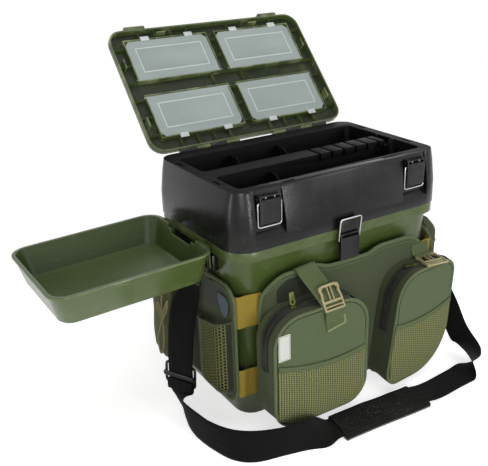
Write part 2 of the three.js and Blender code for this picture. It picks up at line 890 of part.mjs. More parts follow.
// Adds the tackle section's own knuckles on one side: one on the tub's hinge, two on the lid's.
function hingeTackle(start, side) {
  const wallY = tackleDepth / 2;
  const wallMid = wallY - shellWall / 2;
  const lowArm = [
    [tackleAxisY - tackleKnuckle, tackleAxisZ],
    [tackleAxisY + tackleKnuckle, tackleAxisZ],
    [tackleAxisY + tackleKnuckle, tackleAxisZ + tackleKnuckle],
    [wallMid, tackleAxisZ + 3 * tackleKnuckle],
    [wallMid, seamHeight + fitGap],
    [tackleAxisY - tackleKnuckle, seamHeight + fitGap],
  ];
  const rearAtLip = lipDepth / 2;
  const topArm = [
    [rearAtLip - shellWall, lidAxisZ - hingeArmDrop],
    [shoulderDepth / 2, lidAxisZ - hingeArmDrop],
    [lidAxisY + lidKnuckle, lidAxisZ],
    [lidAxisY - lidKnuckle, lidAxisZ],
    [rearAtLip - shellWall, lidAxisZ - lidKnuckle],
  ];
  const [r0, r1] = spanOf(side, lidHingeStart - hingeSideGap, lidHingeLength + 2 * hingeSideGap);
  let body = cut(start, rodAlongX(lidKnuckle + lidReliefGap, r0, r1, lidAxisY, lidAxisZ));
  for (const armStart of lidArmStarts) {
    const [x0, x1] = spanOf(side, armStart, lidArmSpan);
    body = body.add(knuckle(lidKnuckle, lidAxisY, lidAxisZ, topArm, x0, x1));
  }
  const lowStart = tackleHingeStart + tackleHingeSpan + hingeSideGap;
  const [x0, x1] = spanOf(side, lowStart, tackleHingeSpan);
  body = body.add(knuckle(tackleKnuckle, tackleAxisY, tackleAxisZ, lowArm, x0, x1));
  const lowEnds = spanOf(side, tackleHingeStart, 3 * (tackleHingeSpan + hingeSideGap));
  return cut(
    body,
    rodAlongX(lidRodRadius + fitGap, r0, r1, lidAxisY, lidAxisZ),
    rodAlongX(tackleRodRadius + fitGap, ...lowEnds, tackleAxisY, tackleAxisZ),
  );
}

function partition(name, x, y0, y1) {
  const low = floorZ;
  const top = rimTopZ - partitionTopDrop;
  const front = y0 + compartmentDraft + fitGap;
  const back = y1 - compartmentDraft - fitGap;
  const middle = (front + back) / 2;
  const notch = partitionNotchLength / 2;
  const profile = [
    [front, low],
    [back, low],
    [back + compartmentDraft / 2, top],
    [middle + notch, top],
    [middle + notch - partitionNotchDepth, top - partitionNotchDepth],
    [middle - notch + partitionNotchDepth, top - partitionNotchDepth],
    [middle - notch, top],
    [front - compartmentDraft / 2, top],
  ];
  const plate = prismAlongX(profile, x - partitionThickness / 2, x + partitionThickness / 2);
  return mesh(name, plate, finishes.black);
}

function partitions() {
  return [
    partition('front_partition', frontPartitionX, frontBayY0, frontBayY1),
    partition('rear_partition_left', rearPartitionLeftX, rearBayY0, rearBayY1),
    partition('rear_partition_right', rearPartitionRightX, rearBayY0, rearBayY1),
  ];
}

function hingeRods() {
  return sides.flatMap((side) => {
    const lowEnds = spanOf(side, tackleHingeStart, 3 * tackleHingeSpan + 2 * hingeSideGap);
    const highEnds = spanOf(side, lidHingeStart, lidHingeLength);
    const low = rodAlongX(tackleRodRadius, ...lowEnds, tackleAxisY, tackleAxisZ);
    const high = rodAlongX(lidRodRadius, ...highEnds, lidAxisY, lidAxisZ);
    return [
      mesh(`tackle_hinge_rod_${sideName(side)}`, low, finishes.steel),
      mesh(`lid_hinge_rod_${sideName(side)}`, high, finishes.steel),
    ];
  });
}

// The lid is drawn closed, forward of the hinge axis, and then turned open about that axis.
const lidForward = (distance) => -lidBackGap - distance;
const lidSkinUnder = lidThickness - lidSkin;
const lidMiddle = lidForward(lidLength / 2);
const boxRows = [
  { row: 'upper', start: upperBoxStart, hingeAtStart: true },
  { row: 'lower', start: lowerBoxStart, hingeAtStart: false },
];

function lidRing(inset, height) {
  return roundedRing(
    lidWidth - 2 * inset,
    lidLength - 2 * inset,
    lidRadius - Math.min(inset, lidRadius / 2),
    height,
    0,
    lidMiddle,
  );
}

function lidShell() {
  return loft([
    lidRing(lidSkin, lidSkinUnder),
    lidRing(lidSkin, 0),
    lidRing(0, 0),
    lidRing(0, lidThickness - lidEdgeRound),
    lidRing(lidEdgeRound / 3, lidThickness - lidEdgeRound / 3),
    lidRing(lidEdgeRound, lidThickness),
    lidRing(lidPanelInset, lidThickness),
    lidRing(lidPanelInset + lidEdgeRound, lidThickness - lidPanelSink),
  ]);
}

// Where a box lid lies: its ends along X and its edges forward of the lid's rear edge.
function boxPlace(side, { start, hingeAtStart }) {
  const [x0, x1] = spanOf(side, boxLidInner, boxLidLength);
  const hinge = hingeAtStart ? start + boxPinInset : start + boxLidDepth - boxPinInset;
  const outer = hingeAtStart ? start + boxLidDepth : start;
  return { x0, x1, near: start, far: start + boxLidDepth, hinge, outer, out: hingeAtStart ? 1 : -1 };
}

function frameBox(place, grow, z0, z1) {
  return box(
    place.x0 - grow,
    place.x1 + grow,
    lidForward(place.far + grow),
    lidForward(place.near - grow),
    z0,
    z1,
  );
}

const boxPinHeight = boxLidTop + boxLidThickness / 2;
const tabCentres = (place) => [tabNearShare, tabFarShare]
  .map((share) => THREE.MathUtils.lerp(place.x0, place.x1, share));

function boxFrame(place) {
  const wallOut = boxLidGap + frameWall;
  const ledgeTop = boxLidTop + boxLidThickness + fitGap;
  const deep = lidSkinUnder;
  const frame = solid(frameBox(place, wallOut, frameTop, lidSkinUnder + lidSkin / 2));
  const seatCut = frameBox(place, boxLidGap, -cutOverrun, ledgeTop);
  const wellCut = frameBox(place, -frameLedge, -cutOverrun, deep);
  const sweepRadius = Math.hypot(boxPinInset, boxLidThickness / 2) + fitGap;
  const axisY = lidForward(place.hinge);
  const tailCut = rodAlongX(
    sweepRadius,
    place.x0 - boxLidGap,
    place.x1 + boxLidGap,
    axisY,
    boxPinHeight,
  );
  const pinCut = rodAlongX(
    boxPinRadius + fitGap,
    place.x0 - wallOut - cutOverrun,
    place.x1 + wallOut + cutOverrun,
    axisY,
    boxPinHeight,
    wireSides,
  );
  const tabCuts = tabCentres(place).map((x) => box(
    x - tabWidth / 2 - boxLidGap,
    x + tabWidth / 2 + boxLidGap,
    lidForward(place.outer + place.out * (wallOut + cutOverrun)),
    lidForward(place.outer - place.out * cutOverrun),
    -cutOverrun,
    ledgeTop,
  ));
  return { frame, cuts: [seatCut, wellCut, tailCut, pinCut, ...fixOrder(tabCuts)] };
}

// A box given with its two Y values swapped is inside out, so it is drawn again in order.
function fixOrder(boxes) {
  return boxes.map((geometry) => {
    geometry.computeBoundingBox();
    const { min, max } = geometry.boundingBox;
    return box(min.x, max.x, min.y, max.y, min.z, max.z);
  });
}

function lidRibs() {
  const low = ribTop;
  const high = lidSkinUnder + lidSkin / 2;
  const edge = lidSkin / 2;
  const halfWidth = lidWidth / 2 - edge;
  const frameOut = boxLidInner + boxLidLength + boxLidGap;
  const upperEnd = upperBoxStart + boxLidDepth + boxLidGap;
  const lowerEnd = lowerBoxStart + boxLidDepth + boxLidGap;
  const half = ribThickness / 2;
  const ribs = [];
  const across = (forward, x0, x1) => box(
    x0, x1, lidForward(forward) - half, lidForward(forward) + half, low, high,
  );
  const along = (x, from, to) => box(
    x - half, x + half, lidForward(to), lidForward(from), low, high,
  );
  for (const side of sides) {
    for (let rib = 0; rib < sideRibCount; rib += 1) {
      const share = (rib + 1) / (sideRibCount + 1);
      const [x0, x1] = spanOf(side, frameOut, halfWidth - frameOut);
      ribs.push(across(lidLength * share, x0, x1));
    }
    const placeAt = (share) => side * THREE.MathUtils.lerp(boxLidInner, frameOut, share);
    ribs.push(along(placeAt(stripRibShare), lowerEnd, upperBoxStart - boxLidGap));
    for (let rib = 0; rib < borderRibCount; rib += 1) {
      const x = placeAt((rib + 1) / (borderRibCount + 1));
      ribs.push(along(x, upperEnd, lidLength - edge));
      ribs.push(along(x, edge, lowerBoxStart - boxLidGap));
    }
  }
  for (let rib = 0; rib < sideRibCount; rib += 1) {
    const share = (rib + 1) / (sideRibCount + 1);
    ribs.push(across(lidLength * share, -boxLidInner + boxLidGap, boxLidInner - boxLidGap));
  }
  return ribs;
}

// Pegs that drop into the slots of the rim when the lid is shut.
function lidPegs() {
  const toLid = (y) => y - lidAxisY;
  const low = -pegReach;
  const high = lidSkinUnder + lidSkin / 2;
  const half = pegLength / 2;
  const thin = pegThickness / 2;
  return sides.flatMap((side) => [
    ...[sideSlotFront, sideSlotRear].map((y) => box(
      side * sideSlotX - thin, side * sideSlotX + thin, toLid(y) - half, toLid(y) + half, low, high,
    )),
    box(
      side * frontSlotOffset - half,
      side * frontSlotOffset + half,
      toLid(frontSlotY) - thin,
      toLid(frontSlotY) + thin,
      low,
      high,
    ),
  ]);
}

// Nub on the lid's front edge that a wire bail hooks over.
function latchNub(side) {
  const face = lidForward(lidLength);
  const profile = [
    [face + lidSkin / 2, 0],
    [face - nubReach + nubHook, 0],
    [face - nubReach, nubHook],
    [face - nubReach, lidThickness],
    [face - nubReach + nubRise, lidThickness + nubRise],
    [face - nubReach / 2, lidThickness + nubRise],
    [face + lidEdgeRound, lidThickness - lidSkin / 2],
  ].reverse();
  const centre = side * latchOffset;
  return prismAlongX(profile, centre - nubWidth / 2, centre + nubWidth / 2);
}

function lid() {
  const places = sides.flatMap((side) => boxRows.map((row) => boxPlace(side, row)));
  const frames = places.map(boxFrame);
  let body = solid(lidShell());
  for (const extra of [...lidRibs(), ...sides.map(latchNub)]) {
    body = body.add(solid(extra));
  }
  for (const { frame } of frames) {
    body = body.add(frame);
  }
  for (const { cuts } of frames) {
    body = cut(body, ...cuts);
  }
  for (const pegShape of lidPegs()) {
    body = body.add(solid(pegShape));
  }
  const lugArm = [
    [lidKnuckle * -1, 0],
    [0, lidKnuckle * -1],
    [lidKnuckle, 0],
    [0, lidKnuckle],
    [lidForward(-lidSkin / 2) - lidSkin, lidThickness - lidEdgeRound],
    [lidForward(-lidSkin / 2) - lidSkin, ribTop],
  ];
  for (const side of sides) {
    for (const start of lidLugStarts) {
      const [x0, x1] = spanOf(side, start, lidLugSpan);
      body = body.add(solid(rodAlongX(lidKnuckle, x0, x1, 0, 0)));
      body = body.add(solid(prismAlongX(lugArm, x0, x1)));
    }
    const ends = spanOf(side, lidHingeStart - hingeSideGap, lidHingeLength + 2 * hingeSideGap);
    body = cut(body, rodAlongX(lidRodRadius + fitGap, ...ends, 0, 0));
  }
  return mesh('lid', body, finishes.tub);
}

function boxLid(side, row) {
  const place = boxPlace(side, row);
  const outerX = side < 0 ? place.x0 : place.x1;
  const innerX = side < 0 ? place.x1 : place.x0;
  const hingeEdge = row.hingeAtStart ? place.near : place.far;
  const chamferOut = place.outer - place.out * boxLidChamfer;
  const outline = [
    [innerX, lidForward(hingeEdge)],
    [outerX, lidForward(hingeEdge)],
    [outerX, lidForward(chamferOut)],
    [outerX - side * boxLidChamfer, lidForward(place.outer)],
    [innerX + side * boxLidChamfer, lidForward(place.outer)],
    [innerX, lidForward(chamferOut)],
  ];
  const shape = new THREE.Shape(outline.map(([x, y]) => new THREE.Vector2(x, y)));
  const plate = new THREE.ExtrudeGeometry(shape, { depth: boxLidThickness, bevelEnabled: false });
  const ridgeTop = boxLidTop - boxLidRidgeHeight;
  const ridgeOuter = frameBox(place, -boxLidRidgeInset, ridgeTop, boxLidTop + boxLidThickness / 2);
  const ridgeInner = frameBox(
    place,
    -boxLidRidgeInset - boxLidRidgeWidth,
    ridgeTop - cutOverrun,
    boxLidTop,
  );
  const tabs = fixOrder(tabCentres(place).map((x) => box(
    x - tabWidth / 2,
    x + tabWidth / 2,
    lidForward(place.outer + place.out * tabReach),
    lidForward(place.outer - place.out * tabReach),
    boxLidTop - tabHeight,
    boxLidTop + boxLidThickness,
  )));
  const lips = fixOrder(tabCentres(place).map((x) => box(
    x - tabWidth / 2,
    x + tabWidth / 2,
    lidForward(place.outer + place.out * tabLipReach),
    lidForward(place.outer - place.out * tabReach),
    boxLidTop - tabHeight,
    boxLidTop - tabHeight + tabLipThickness,
  )));
  const pins = [place.x0, place.x1].map((x, end) => {
    const outward = end === 0 ? -1 : 1;
    const [p0, p1] = [x - outward * cutOverrun, x + outward * boxPinReach].sort((a, b) => a - b);
    return rodAlongX(boxPinRadius, p0, p1, lidForward(place.hinge), boxPinHeight, wireSides);
  });
  let body = solid(plate.translate(0, 0, boxLidTop)).add(cut(solid(ridgeOuter), ridgeInner));
  for (const extra of [...tabs, ...lips, ...pins]) {
    body = body.add(solid(extra));
  }
  return mesh(`box_lid_${row.row}_${sideName(side)}`, body, finishes.frosted);
}

function lidAssembly() {
  const boxLids = sides.flatMap((side) => boxRows.map((row) => boxLid(side, row)));
  const group = grouped(lid(), ...boxLids);
  group.position.set(0, lidAxisY, lidAxisZ);
  group.rotation.x = -THREE.MathUtils.degToRad(lidOpenAngle);
  return group;
}

// Latch parts are drawn from the lever's pin line on the wall: out is -Y and up is +Z.
function latchBase(name) {
  const plate = box(-latchBaseHalf, latchBaseHalf, -latchBaseThickness, 0, -latchBaseLow, latchBaseTop);
  const ear = [
    [-latchBaseThickness / 2, earRadius],
    ...arc(-latchPinOut, 0, earRadius, quarterTurn, 3 * quarterTurn, cornerSteps),
    [-latchBaseThickness / 2, -earRadius],
  ];
  const ears = sides.map((side) => prismAlongX(ear, ...spanOf(side, earInner, earThickness)));
  const hole = rodAlongX(latchPinHole, -latchBaseHalf, latchBaseHalf, -latchPinOut, 0, wireSides);
  return mesh(name, cut(joined(plate, ...ears), hole), finishes.black);
}

function latchLever(name) {
  const ribPitch = (leverLength - leverPlateTop) / leverRibCount;
  const ribs = Array.from({ length: leverRibCount }, (_, rib) => {
    const top = -leverPlateTop - rib * ribPitch;
    return [
      [-leverPlateFace, top - ribPitch / 4],
      [-leverPlateFace - leverRib, top - ribPitch / 2],
      [-leverPlateFace, top - (3 * ribPitch) / 4],
    ];
  }).flat();
  const plate = [
    [-leverPlateInner, -leverLength],
    [-leverPlateInner, -leverPlateTop],
    [-leverPlateFace, -leverPlateTop],
    ...ribs,
    [-leverPlateFace, -leverLength],
  ];
  const flange = [
    [-leverFlangeInner, -leverTaperStart],
    ...arc(-latchPinOut, 0, leverTopRadius, 0, 2 * quarterTurn, cornerSteps),
    [-leverPlateFace, -leverPlateTop],
    [-leverPlateFace, -leverLength],
    [-leverPlateInner, -leverLength],
  ];
  const flanges = sides.map((side) => prismAlongX(
    flange,
    ...spanOf(side, leverHalf - leverFlange, leverFlange),
  ));
  const body = joined(prismAlongX(plate, -leverHalf, leverHalf), ...flanges);
  const reach = leverHalf + cutOverrun;
  return mesh(name, cut(
    body,
    rodAlongX(latchPinHole, -reach, reach, -latchPinOut, 0, wireSides),
    rodAlongX(bailHole, -reach, reach, -latchPinOut, -bailDrop, wireSides),
  ), finishes.black);
}

// Wire bail with its bar a length away from its two ends, which turn inward into the lever.
function latchBail(name, direction) {
  const bends = smallCornerSteps;
  const half = bailHalf;
  const tip = bailLength;
  const bend = bailBend;
  const foot = bailFootBend;
  const path = [
    [-bailInnerEnd, 0],
    ...arc(-half + foot, foot, foot, 3 * quarterTurn, 2 * quarterTurn, bends),
    ...arc(-half + bend, tip - bend, bend, 2 * quarterTurn, quarterTurn, bends),
    ...arc(half - bend, tip - bend, bend, quarterTurn, 0, bends),
    ...arc(half - foot, foot, foot, 0, -quarterTurn, bends),
    [bailInnerEnd, 0],
  ];
  const across = new THREE.Vector3(1, 0, 0);
  const pivot = new THREE.Vector3(0, -latchPinOut, -bailDrop);
  return mesh(name, bentWire(path, bailWireRadius, pivot, across, direction), finishes.steel);
}

function latch(prefix, x, wallY, pinZ, bailDirection) {
  const pin = rodAlongX(latchPinRadius, -leverHalf, leverHalf, -latchPinOut, 0, wireSides);
  const group = grouped(
    latchBase(`${prefix}_latch_base`),
    mesh(`${prefix}_latch_pin`, pin, finishes.steel),
    latchLever(`${prefix}_latch_lever`),
    latchBail(`${prefix}_latch_bail`, bailDirection),
  );
  group.position.set(x, wallY, pinZ);
  return group;
}

const centrePinZ = seamHeight - centreLatchPinDrop;
const upperPinZ = rimTopZ - upperLatchPinDrop;

function latches() {
  const down = new THREE.Vector3(0, 0, -1);
  const lean = THREE.MathUtils.degToRad(centreBailLean);
  const up = new THREE.Vector3(0, -Math.sin(lean), Math.cos(lean));
  return [
    latch('left', -latchOffset, recessFloorY, upperPinZ, down),
    latch('right', latchOffset, recessFloorY, upperPinZ, down),
    latch('centre', 0, -bandDepth / 2, centrePinZ, up),
  ];
}

// Keeper on the tackle section that the centre bail hooks over.
function centreKeeper() {
  const wall = -tackleDepth / 2;
  const bandFace = -bandDepth / 2;
  const face = bandFace - keeperFace;
  const low = seamHeight + keeperLow;
  const top = seamHeight + keeperTop;
  const profile = [
    [bandFace - 2 * fitGap, low],
    [bandFace - 2 * fitGap, seamHeight - fitGap],
    [wall, seamHeight - fitGap],
    [wall, top - keeperLip],
    [wall - keeperLip, top - keeperLip],
    [face + keeperLip, top],
    [face, top],
    [face, low + keeperLip],
    [face + keeperLip, low],
  ];
  return mesh('centre_keeper', prismAlongX(profile, -keeperHalf, keeperHalf), finishes.black);
}

// Tray drawn level about its inner top edge, then let down by its droop.
function sideTray() {
  const middle = -trayRimLength / 2;
  const ring = (length, depth, radius, z) => roundedRing(length, depth, radius, z, middle);
  const wall = 2 * trayWall;
  const lip = 2 * trayLip;
  const shell = loft([
    ring(trayBaseLength - lip, trayBaseDepth - lip, trayBaseRadius - trayLip, -trayHeight),
    ring(trayBaseLength, trayBaseDepth, trayBaseRadius, trayLip - trayHeight),
    ring(trayRimLength, trayRimDepth, trayRimRadius, -trayLipHeight),
    ring(trayRimLength + lip, trayRimDepth + lip, trayRimRadius + trayLip, -trayLipHeight),
    ring(trayRimLength + lip, trayRimDepth + lip, trayRimRadius + trayLip, 0),
    ring(trayRimLength - wall, trayRimDepth - wall, trayRimRadius - trayWall, 0),
    ring(trayBaseLength - wall, trayBaseDepth - wall, trayBaseRadius - trayWall, trayWall - trayHeight),
  ]);
  const top = cutOverrun;
  const wallIn = -trayNotchStep - trayWall;
  const edge = trayLip + cutOverrun;
  const notch = trayNotchLength / 2;
  const deepNotch = notch - trayNotchStep;
  let body = cut(
    solid(shell),
    box(wallIn, edge, -notch, notch, -trayNotchDepth / 2, top),
    box(wallIn, edge, -deepNotch, deepNotch, -trayNotchDepth, top),
  );
  const tongueOut = tongueInnerX - trayInnerX;
  for (const side of sides) {
    const centre = side * (notch + tongueWidth / 2);
    const y0 = centre - tongueWidth / 2;
    const y1 = centre + tongueWidth / 2;
    const profile = [
      [-trayLip, -bridgeDrop - trayLipHeight],
      [-trayLip, -trayLipHeight / 2],
      [tongueOut, -trayLipHeight / 2],
      [tongueOut, -tongueDrop],
      [tongueOut - tongueThickness, -tongueDrop],
      [tongueOut - tongueThickness, -bridgeDrop - trayLipHeight],
    ].reverse();
    body = body.add(solid(prismAlongY(profile, y0, y1)));
  }
  const group = grouped(mesh('side_tray', body, finishes.tray));
  group.position.set(trayInnerX, trayCentreY, trayTopZ);
  group.rotation.y = -THREE.MathUtils.degToRad(trayDroop);
  return group;
}

// Rail on the tub's left wall with a trough that the tray's tongues drop into.
function trayBracket() {
  const profile = [
    [-tubHalfWidthAt(bracketLowZ) - fitGap, bracketLowZ],
    [-tubHalfWidthAt(bracketTopZ) - fitGap, bracketTopZ],
    [bracketSlotInner, bracketTopZ],
    [bracketSlotInner, bracketLowZ + bracketFloor],
    [bracketSlotOuter, bracketLowZ + bracketFloor],
    [bracketSlotOuter, bracketTopZ],
    [bracketFace, bracketTopZ],
    [bracketFace, bracketLowZ + bracketFloor],
    [bracketFace + bracketFloor, bracketLowZ],
  ];
  const half = bracketLength / 2;
  const rail = prismAlongY(profile, trayCentreY - half, trayCentreY + half);
  return mesh('tray_bracket', rail, finishes.black);
}

// Upright fabric wall: stations along its foot, each with its place, its outward direction and
// the heights of its lower and upper edges.
function wallPanel(stations, thickness) {
  const rings = stations.map(({ x, y, outX, outY, low, top }) => {
    const inner = new THREE.Vector2(x, y);
    const outer = new THREE.Vector2(x + outX * thickness, y + outY * thickness);
    return [
      new THREE.Vector3(inner.x, inner.y, low),
      new THREE.Vector3(inner.x, inner.y, top),
      new THREE.Vector3(outer.x, outer.y, top),
      new THREE.Vector3(outer.x, outer.y, low),
    ];
  });
  return loft(rings);
}

// Fall of a round corner at a distance from the panel's end.
function cornerFall(distance, radius) {
  const inside = THREE.MathUtils.clamp(distance, 0, radius);
  return radius - Math.sqrt(radius * radius - (radius - inside) * (radius - inside));
}

const frontPanelBack = frontPanelFace + panelThickness;

const panelStraight = frontPanelHalf - frontPanelCurl;
const panelCurlY = frontPanelBack + frontPanelCurl;

// Place on the curl at an end of the front panel, at a distance from the curl's own centre.
function onCurl(side, radius, share) {
  const angle = share * quarterTurn;
  const outX = side * Math.sin(angle);
  const outY = -Math.cos(angle);
  return { x: side * panelStraight + radius * outX, y: panelCurlY + radius * outY, outX, outY };
}

function frontPanel() {
  const runs = 4 * cornerSteps;
  const curlShares = Array.from(
    { length: cornerSteps },
    (_, step) => (frontPanelCurlShare * (step + 1)) / cornerSteps,
  );
  const flat = Array.from({ length: runs + 1 }, (_, run) => ({
    x: THREE.MathUtils.lerp(-panelStraight, panelStraight, run / runs),
    y: frontPanelBack,
    outX: 0,
    outY: -1,
  }));
  const foot = [
    ...curlShares.map((share) => onCurl(-1, frontPanelCurl, share)).reverse(),
    ...flat,
    ...curlShares.map((share) => onCurl(1, frontPanelCurl, share)),
  ];
  const curlLength = frontPanelCurl * frontPanelCurlShare * quarterTurn;
  const stations = foot.map((place) => {
    const beyond = Math.max(Math.abs(place.x) - panelStraight, 0) / frontPanelCurl;
    const along = Math.asin(Math.min(beyond, 1)) * frontPanelCurl;
    const toEnd = panelStraight + curlLength - Math.min(Math.abs(place.x), panelStraight) - along;
    const dip = THREE.MathUtils.smoothstep(Math.abs(place.x), frontPanelDip, 2 * frontPanelDip);
    const crown = THREE.MathUtils.lerp(frontPanelTopCentre, frontPanelTopSide, dip);
    const fall = cornerFall(toEnd, frontPanelCorner);
    return { ...place, low: frontPanelLow + fall, top: crown - fall };
  });
  return mesh('front_panel', wallPanel(stations, panelThickness), finishes.fabric);
}

function sidePanel(side) {
  const outline = roundedPolygon([
    [-sidePanelHalf, sidePanelLow, sidePanelCorner],
    [sidePanelHalf, sidePanelLow, sidePanelCorner / 2],
    [sidePanelHalf, sidePanelTop, sidePanelCorner / 2],
    [-sidePanelHalf, sidePanelTop, sidePanelCorner],
  ]);
  const ends = spanOf(side, sidePanelFace - sidePanelThickness, sidePanelThickness);
  return mesh(`${sideName(side)}_side_panel`, prismAlongX(outline, ...ends), finishes.fabric);
}

function backPanel() {
  const outline = roundedOutline(
    2 * backPanelHalf,
    backPanelTop - backPanelLow,
    sidePanelCorner,
    0,
    (backPanelTop + backPanelLow) / 2,
  );
  const plate = prismAlongY(outline, backPanelFace - panelThickness, backPanelFace);
  return mesh('back_panel', plate, finishes.fabric);
}

// Flat tape: a path of centre points with the direction of its width at each of them.
function tape(path, width, thickness) {
  const centres = path.map(({ at }) => new THREE.Vector3(...at));
  const last = centres.length - 1;
  const stations = path.map(({ wide }, index) => {
    const before = centres[Math.max(index - 1, 0)];
    const after = centres[Math.min(index + 1, last)];
    const travel = after.clone().sub(before).normalize();
    const across = new THREE.Vector3(...wide).normalize();
    return { centre: centres[index], across, over: travel.cross(across).normalize() };
  });
  const halfWidth = width / 2;
  const halfThickness = thickness / 2;
  const section = [
    [halfWidth, -halfThickness],
    [halfWidth, halfThickness],
    [-halfWidth, halfThickness],
    [-halfWidth, -halfThickness],
  ];
  return sweep(stations, section);
}

// Elastic link from the inside of a side panel round the end of the front panel.
function elasticLink(side, level, low, top) {
  const insideX = side * (sidePanelFace - sidePanelThickness - fitGap - linkThickness / 2);
  const frontY = -sidePanelHalf;
  const pass = onCurl(side, frontPanelCurl + linkThickness, linkPassShare);
  const seatRadius = frontPanelCurl - fitGap - linkThickness;
  const seat = onCurl(side, seatRadius, linkSeatShare);
  const end = onCurl(side, seatRadius, linkEndShare);
  const middle = (low + top) / 2;
  const wide = [0, 0, 1];
  const path = [
    [insideX, frontY + linkBend + linkTail],
    [insideX, frontY + linkBend],
    [insideX - side * linkBend, frontY + fitGap],
    [THREE.MathUtils.lerp(insideX, pass.x, 1 / 2), frontY + fitGap],
    [pass.x, pass.y],
    [seat.x, seat.y],
    [end.x, end.y],
  ].map(([x, y]) => ({ at: [x, y, middle], wide }));
  const ribbon = tape(path, top - low, linkThickness);
  return mesh(`${sideName(side)}_${level}_elastic_link`, ribbon, finishes.elastic);
}

function elasticLinks() {
  return sides.flatMap((side) => [
    elasticLink(side, 'upper', upperLinkLow, upperLinkTop),
    elasticLink(side, 'lower', lowerLinkLow, lowerLinkTop),
  ]);
}

// Front pockets are drawn in the panel's plane: across, up, and out from the panel's face.
const pocketOut = frontPanelFace - pocketFace;
const leftPocketLeft = leftPocketCentre - leftPocketWidth / 2;
const leftPocketRight = leftPocketCentre + leftPocketWidth / 2;
const leftPocketOutline = roundedPolygon([
  [leftPocketLeft, leftPocketLow, leftPocketLowRadius],
  [leftPocketRight, leftPocketLow, leftPocketLowRadius],
  [leftPocketRight, leftPocketTop, leftPocketTopRadius],
  [leftPocketLeft, leftPocketTop, leftPocketTopRadius],
]);
const rightPocketOutline = roundedPolygon([
  [rightPocketLowLeft, rightPocketLow, pocketCornerTight],
  [rightPocketLowRight, rightPocketLow, pocketCornerWide],
  [rightPocketTopRight, rightPocketTop, pocketCornerTight],
  [rightPocketTopLeft, rightPocketTop, pocketCornerTopLeft],
]);
const turnSlope = Math.tan(THREE.MathUtils.degToRad(rightPocketTurn));
const leftPocketDepth = () => pocketOut;
const rightPocketDepth = (x) => pocketOut - (x - rightPocketLowLeft) * turnSlope;

function boundsOf(outline) {
  const points = outline.map(([a, b]) => new THREE.Vector2(a, b));
  return new THREE.Box2().setFromPoints(points);
}

// Outline drawn in towards its middle by about the given distance.
function drawnIn(outline, inset) {
  const bounds = boundsOf(outline);
  const centre = bounds.getCenter(new THREE.Vector2());
  const size = bounds.getSize(new THREE.Vector2());
  return outline.map(([a, b]) => [
    centre.x + (a - centre.x) * (1 - (2 * inset) / size.x),
    centre.y + (b - centre.y) * (1 - (2 * inset) / size.y),
  ]);
}

function pocketBody(name, outline, depthAt) {
  const ring = (inset, setBack, back) => drawnIn(outline, inset).map(([x, z]) => {
    const out = back ? fitGap + setBack : depthAt(x) - setBack;
    return new THREE.Vector3(x, frontPanelFace - out, z);
  });
  const body = loft([
    ring(pocketEdge / 2, 0, true),
    ring(0, pocketEdge, true),
    ring(0, pocketEdge, false),
    ring(pocketEdge / 3, pocketEdge / 3, false),
    ring(pocketEdge, 0, false),
  ]);
  return mesh(name, body, finishes.fabric);
}

// Heights at which an upright line crosses an outline.
function crossings(outline, x) {
  const heights = outline.flatMap(([a, b], index) => {
    const [c, d] = outline[(index + 1) % outline.length];
    const spans = (a - x) * (c - x) <= 0 && a !== c;
    return spans ? [b + ((d - b) * (x - a)) / (c - a)] : [];
  });
  return [Math.min(...heights), Math.max(...heights)];
}

// Mesh pouch over the lower part of a pocket's front, bulging out between its sewn edges.
function meshPouch(name, outline, depthAt, heights) {
  const { min, max } = boundsOf(outline);
  const columns = 2 * cornerSteps;
  const rows = cornerSteps;
  const [outer, middle, inner] = heights;
  const edge = new THREE.QuadraticBezierCurve(
    new THREE.Vector2(min.x, outer),
    new THREE.Vector2((min.x + max.x) / 2, 2 * middle - (outer + inner) / 2),
    new THREE.Vector2(max.x, inner),
  );
  const rings = Array.from({ length: columns + 1 }, (_, column) => {
    const share = column / columns;
    const x = THREE.MathUtils.lerp(min.x + meshInset, max.x - meshInset, share);
    const [lowest, highest] = crossings(outline, x);
    const low = lowest + meshInset;
    const top = Math.min(edge.getPoint((x - min.x) / (max.x - min.x)).y, highest - meshInset);
    const back = [];
    const front = [];
    for (let row = 0; row <= rows; row += 1) {
      const up = row / rows;
      const swell = Math.sin(Math.PI * share) * Math.sin(Math.PI * up);
      const z = THREE.MathUtils.lerp(low, top, up);
      const seat = frontPanelFace - depthAt(x) - fitGap;
      back.push(new THREE.Vector3(x, seat, z));
      front.unshift(new THREE.Vector3(x, seat - meshEdgeThickness - meshBulge * swell, z));
    }
    return [...back, ...front];
  });
  return mesh(name, loft(rings), finishes.mesh);
}

function frontPockets() {
  const leftEdge = [leftMeshOuter, leftMeshMiddle, leftMeshInner];
  const rightEdge = [rightMeshOuter, rightMeshMiddle, rightMeshInner];
  return [
    pocketBody('left_front_pocket', leftPocketOutline, leftPocketDepth),
    pocketBody('right_front_pocket', rightPocketOutline, rightPocketDepth),
    meshPouch('left_pocket_mesh', leftPocketOutline, leftPocketDepth, leftEdge),
    meshPouch('right_pocket_mesh', rightPocketOutline, rightPocketDepth, rightEdge),
  ];
}

// Zip slider that runs along the top of a pocket, with its pull lying to the left.
function zipSlider(name, x, top) {
  const y = frontPanelFace - zipSetBack;
  const low = top + fitGap;
  const halfLength = zipLength / 2;
  const halfWidth = zipWidth / 2;
  const pullHalf = zipPullWidth / 2;
  const pullTop = low + zipHeight;
  const pullEnd = x - halfLength - zipPullLength;
  const slider = box(x - halfLength, x + halfLength, y - halfWidth, y + halfWidth, low, pullTop);
  const pull = box(
    pullEnd,
    x,
    y - pullHalf,
    y + pullHalf,
    pullTop - zipPullThickness,
    pullTop,
  );
  const eye = new THREE.CylinderGeometry(zipEyeRadius, zipEyeRadius, 3 * zipHeight, wireSides);
  eye.rotateX(quarterTurn).translate(pullEnd + zipPullWidth / 2, y, pullTop);
  return mesh(name, cut(joined(slider, pull), eye), finishes.brass);
}

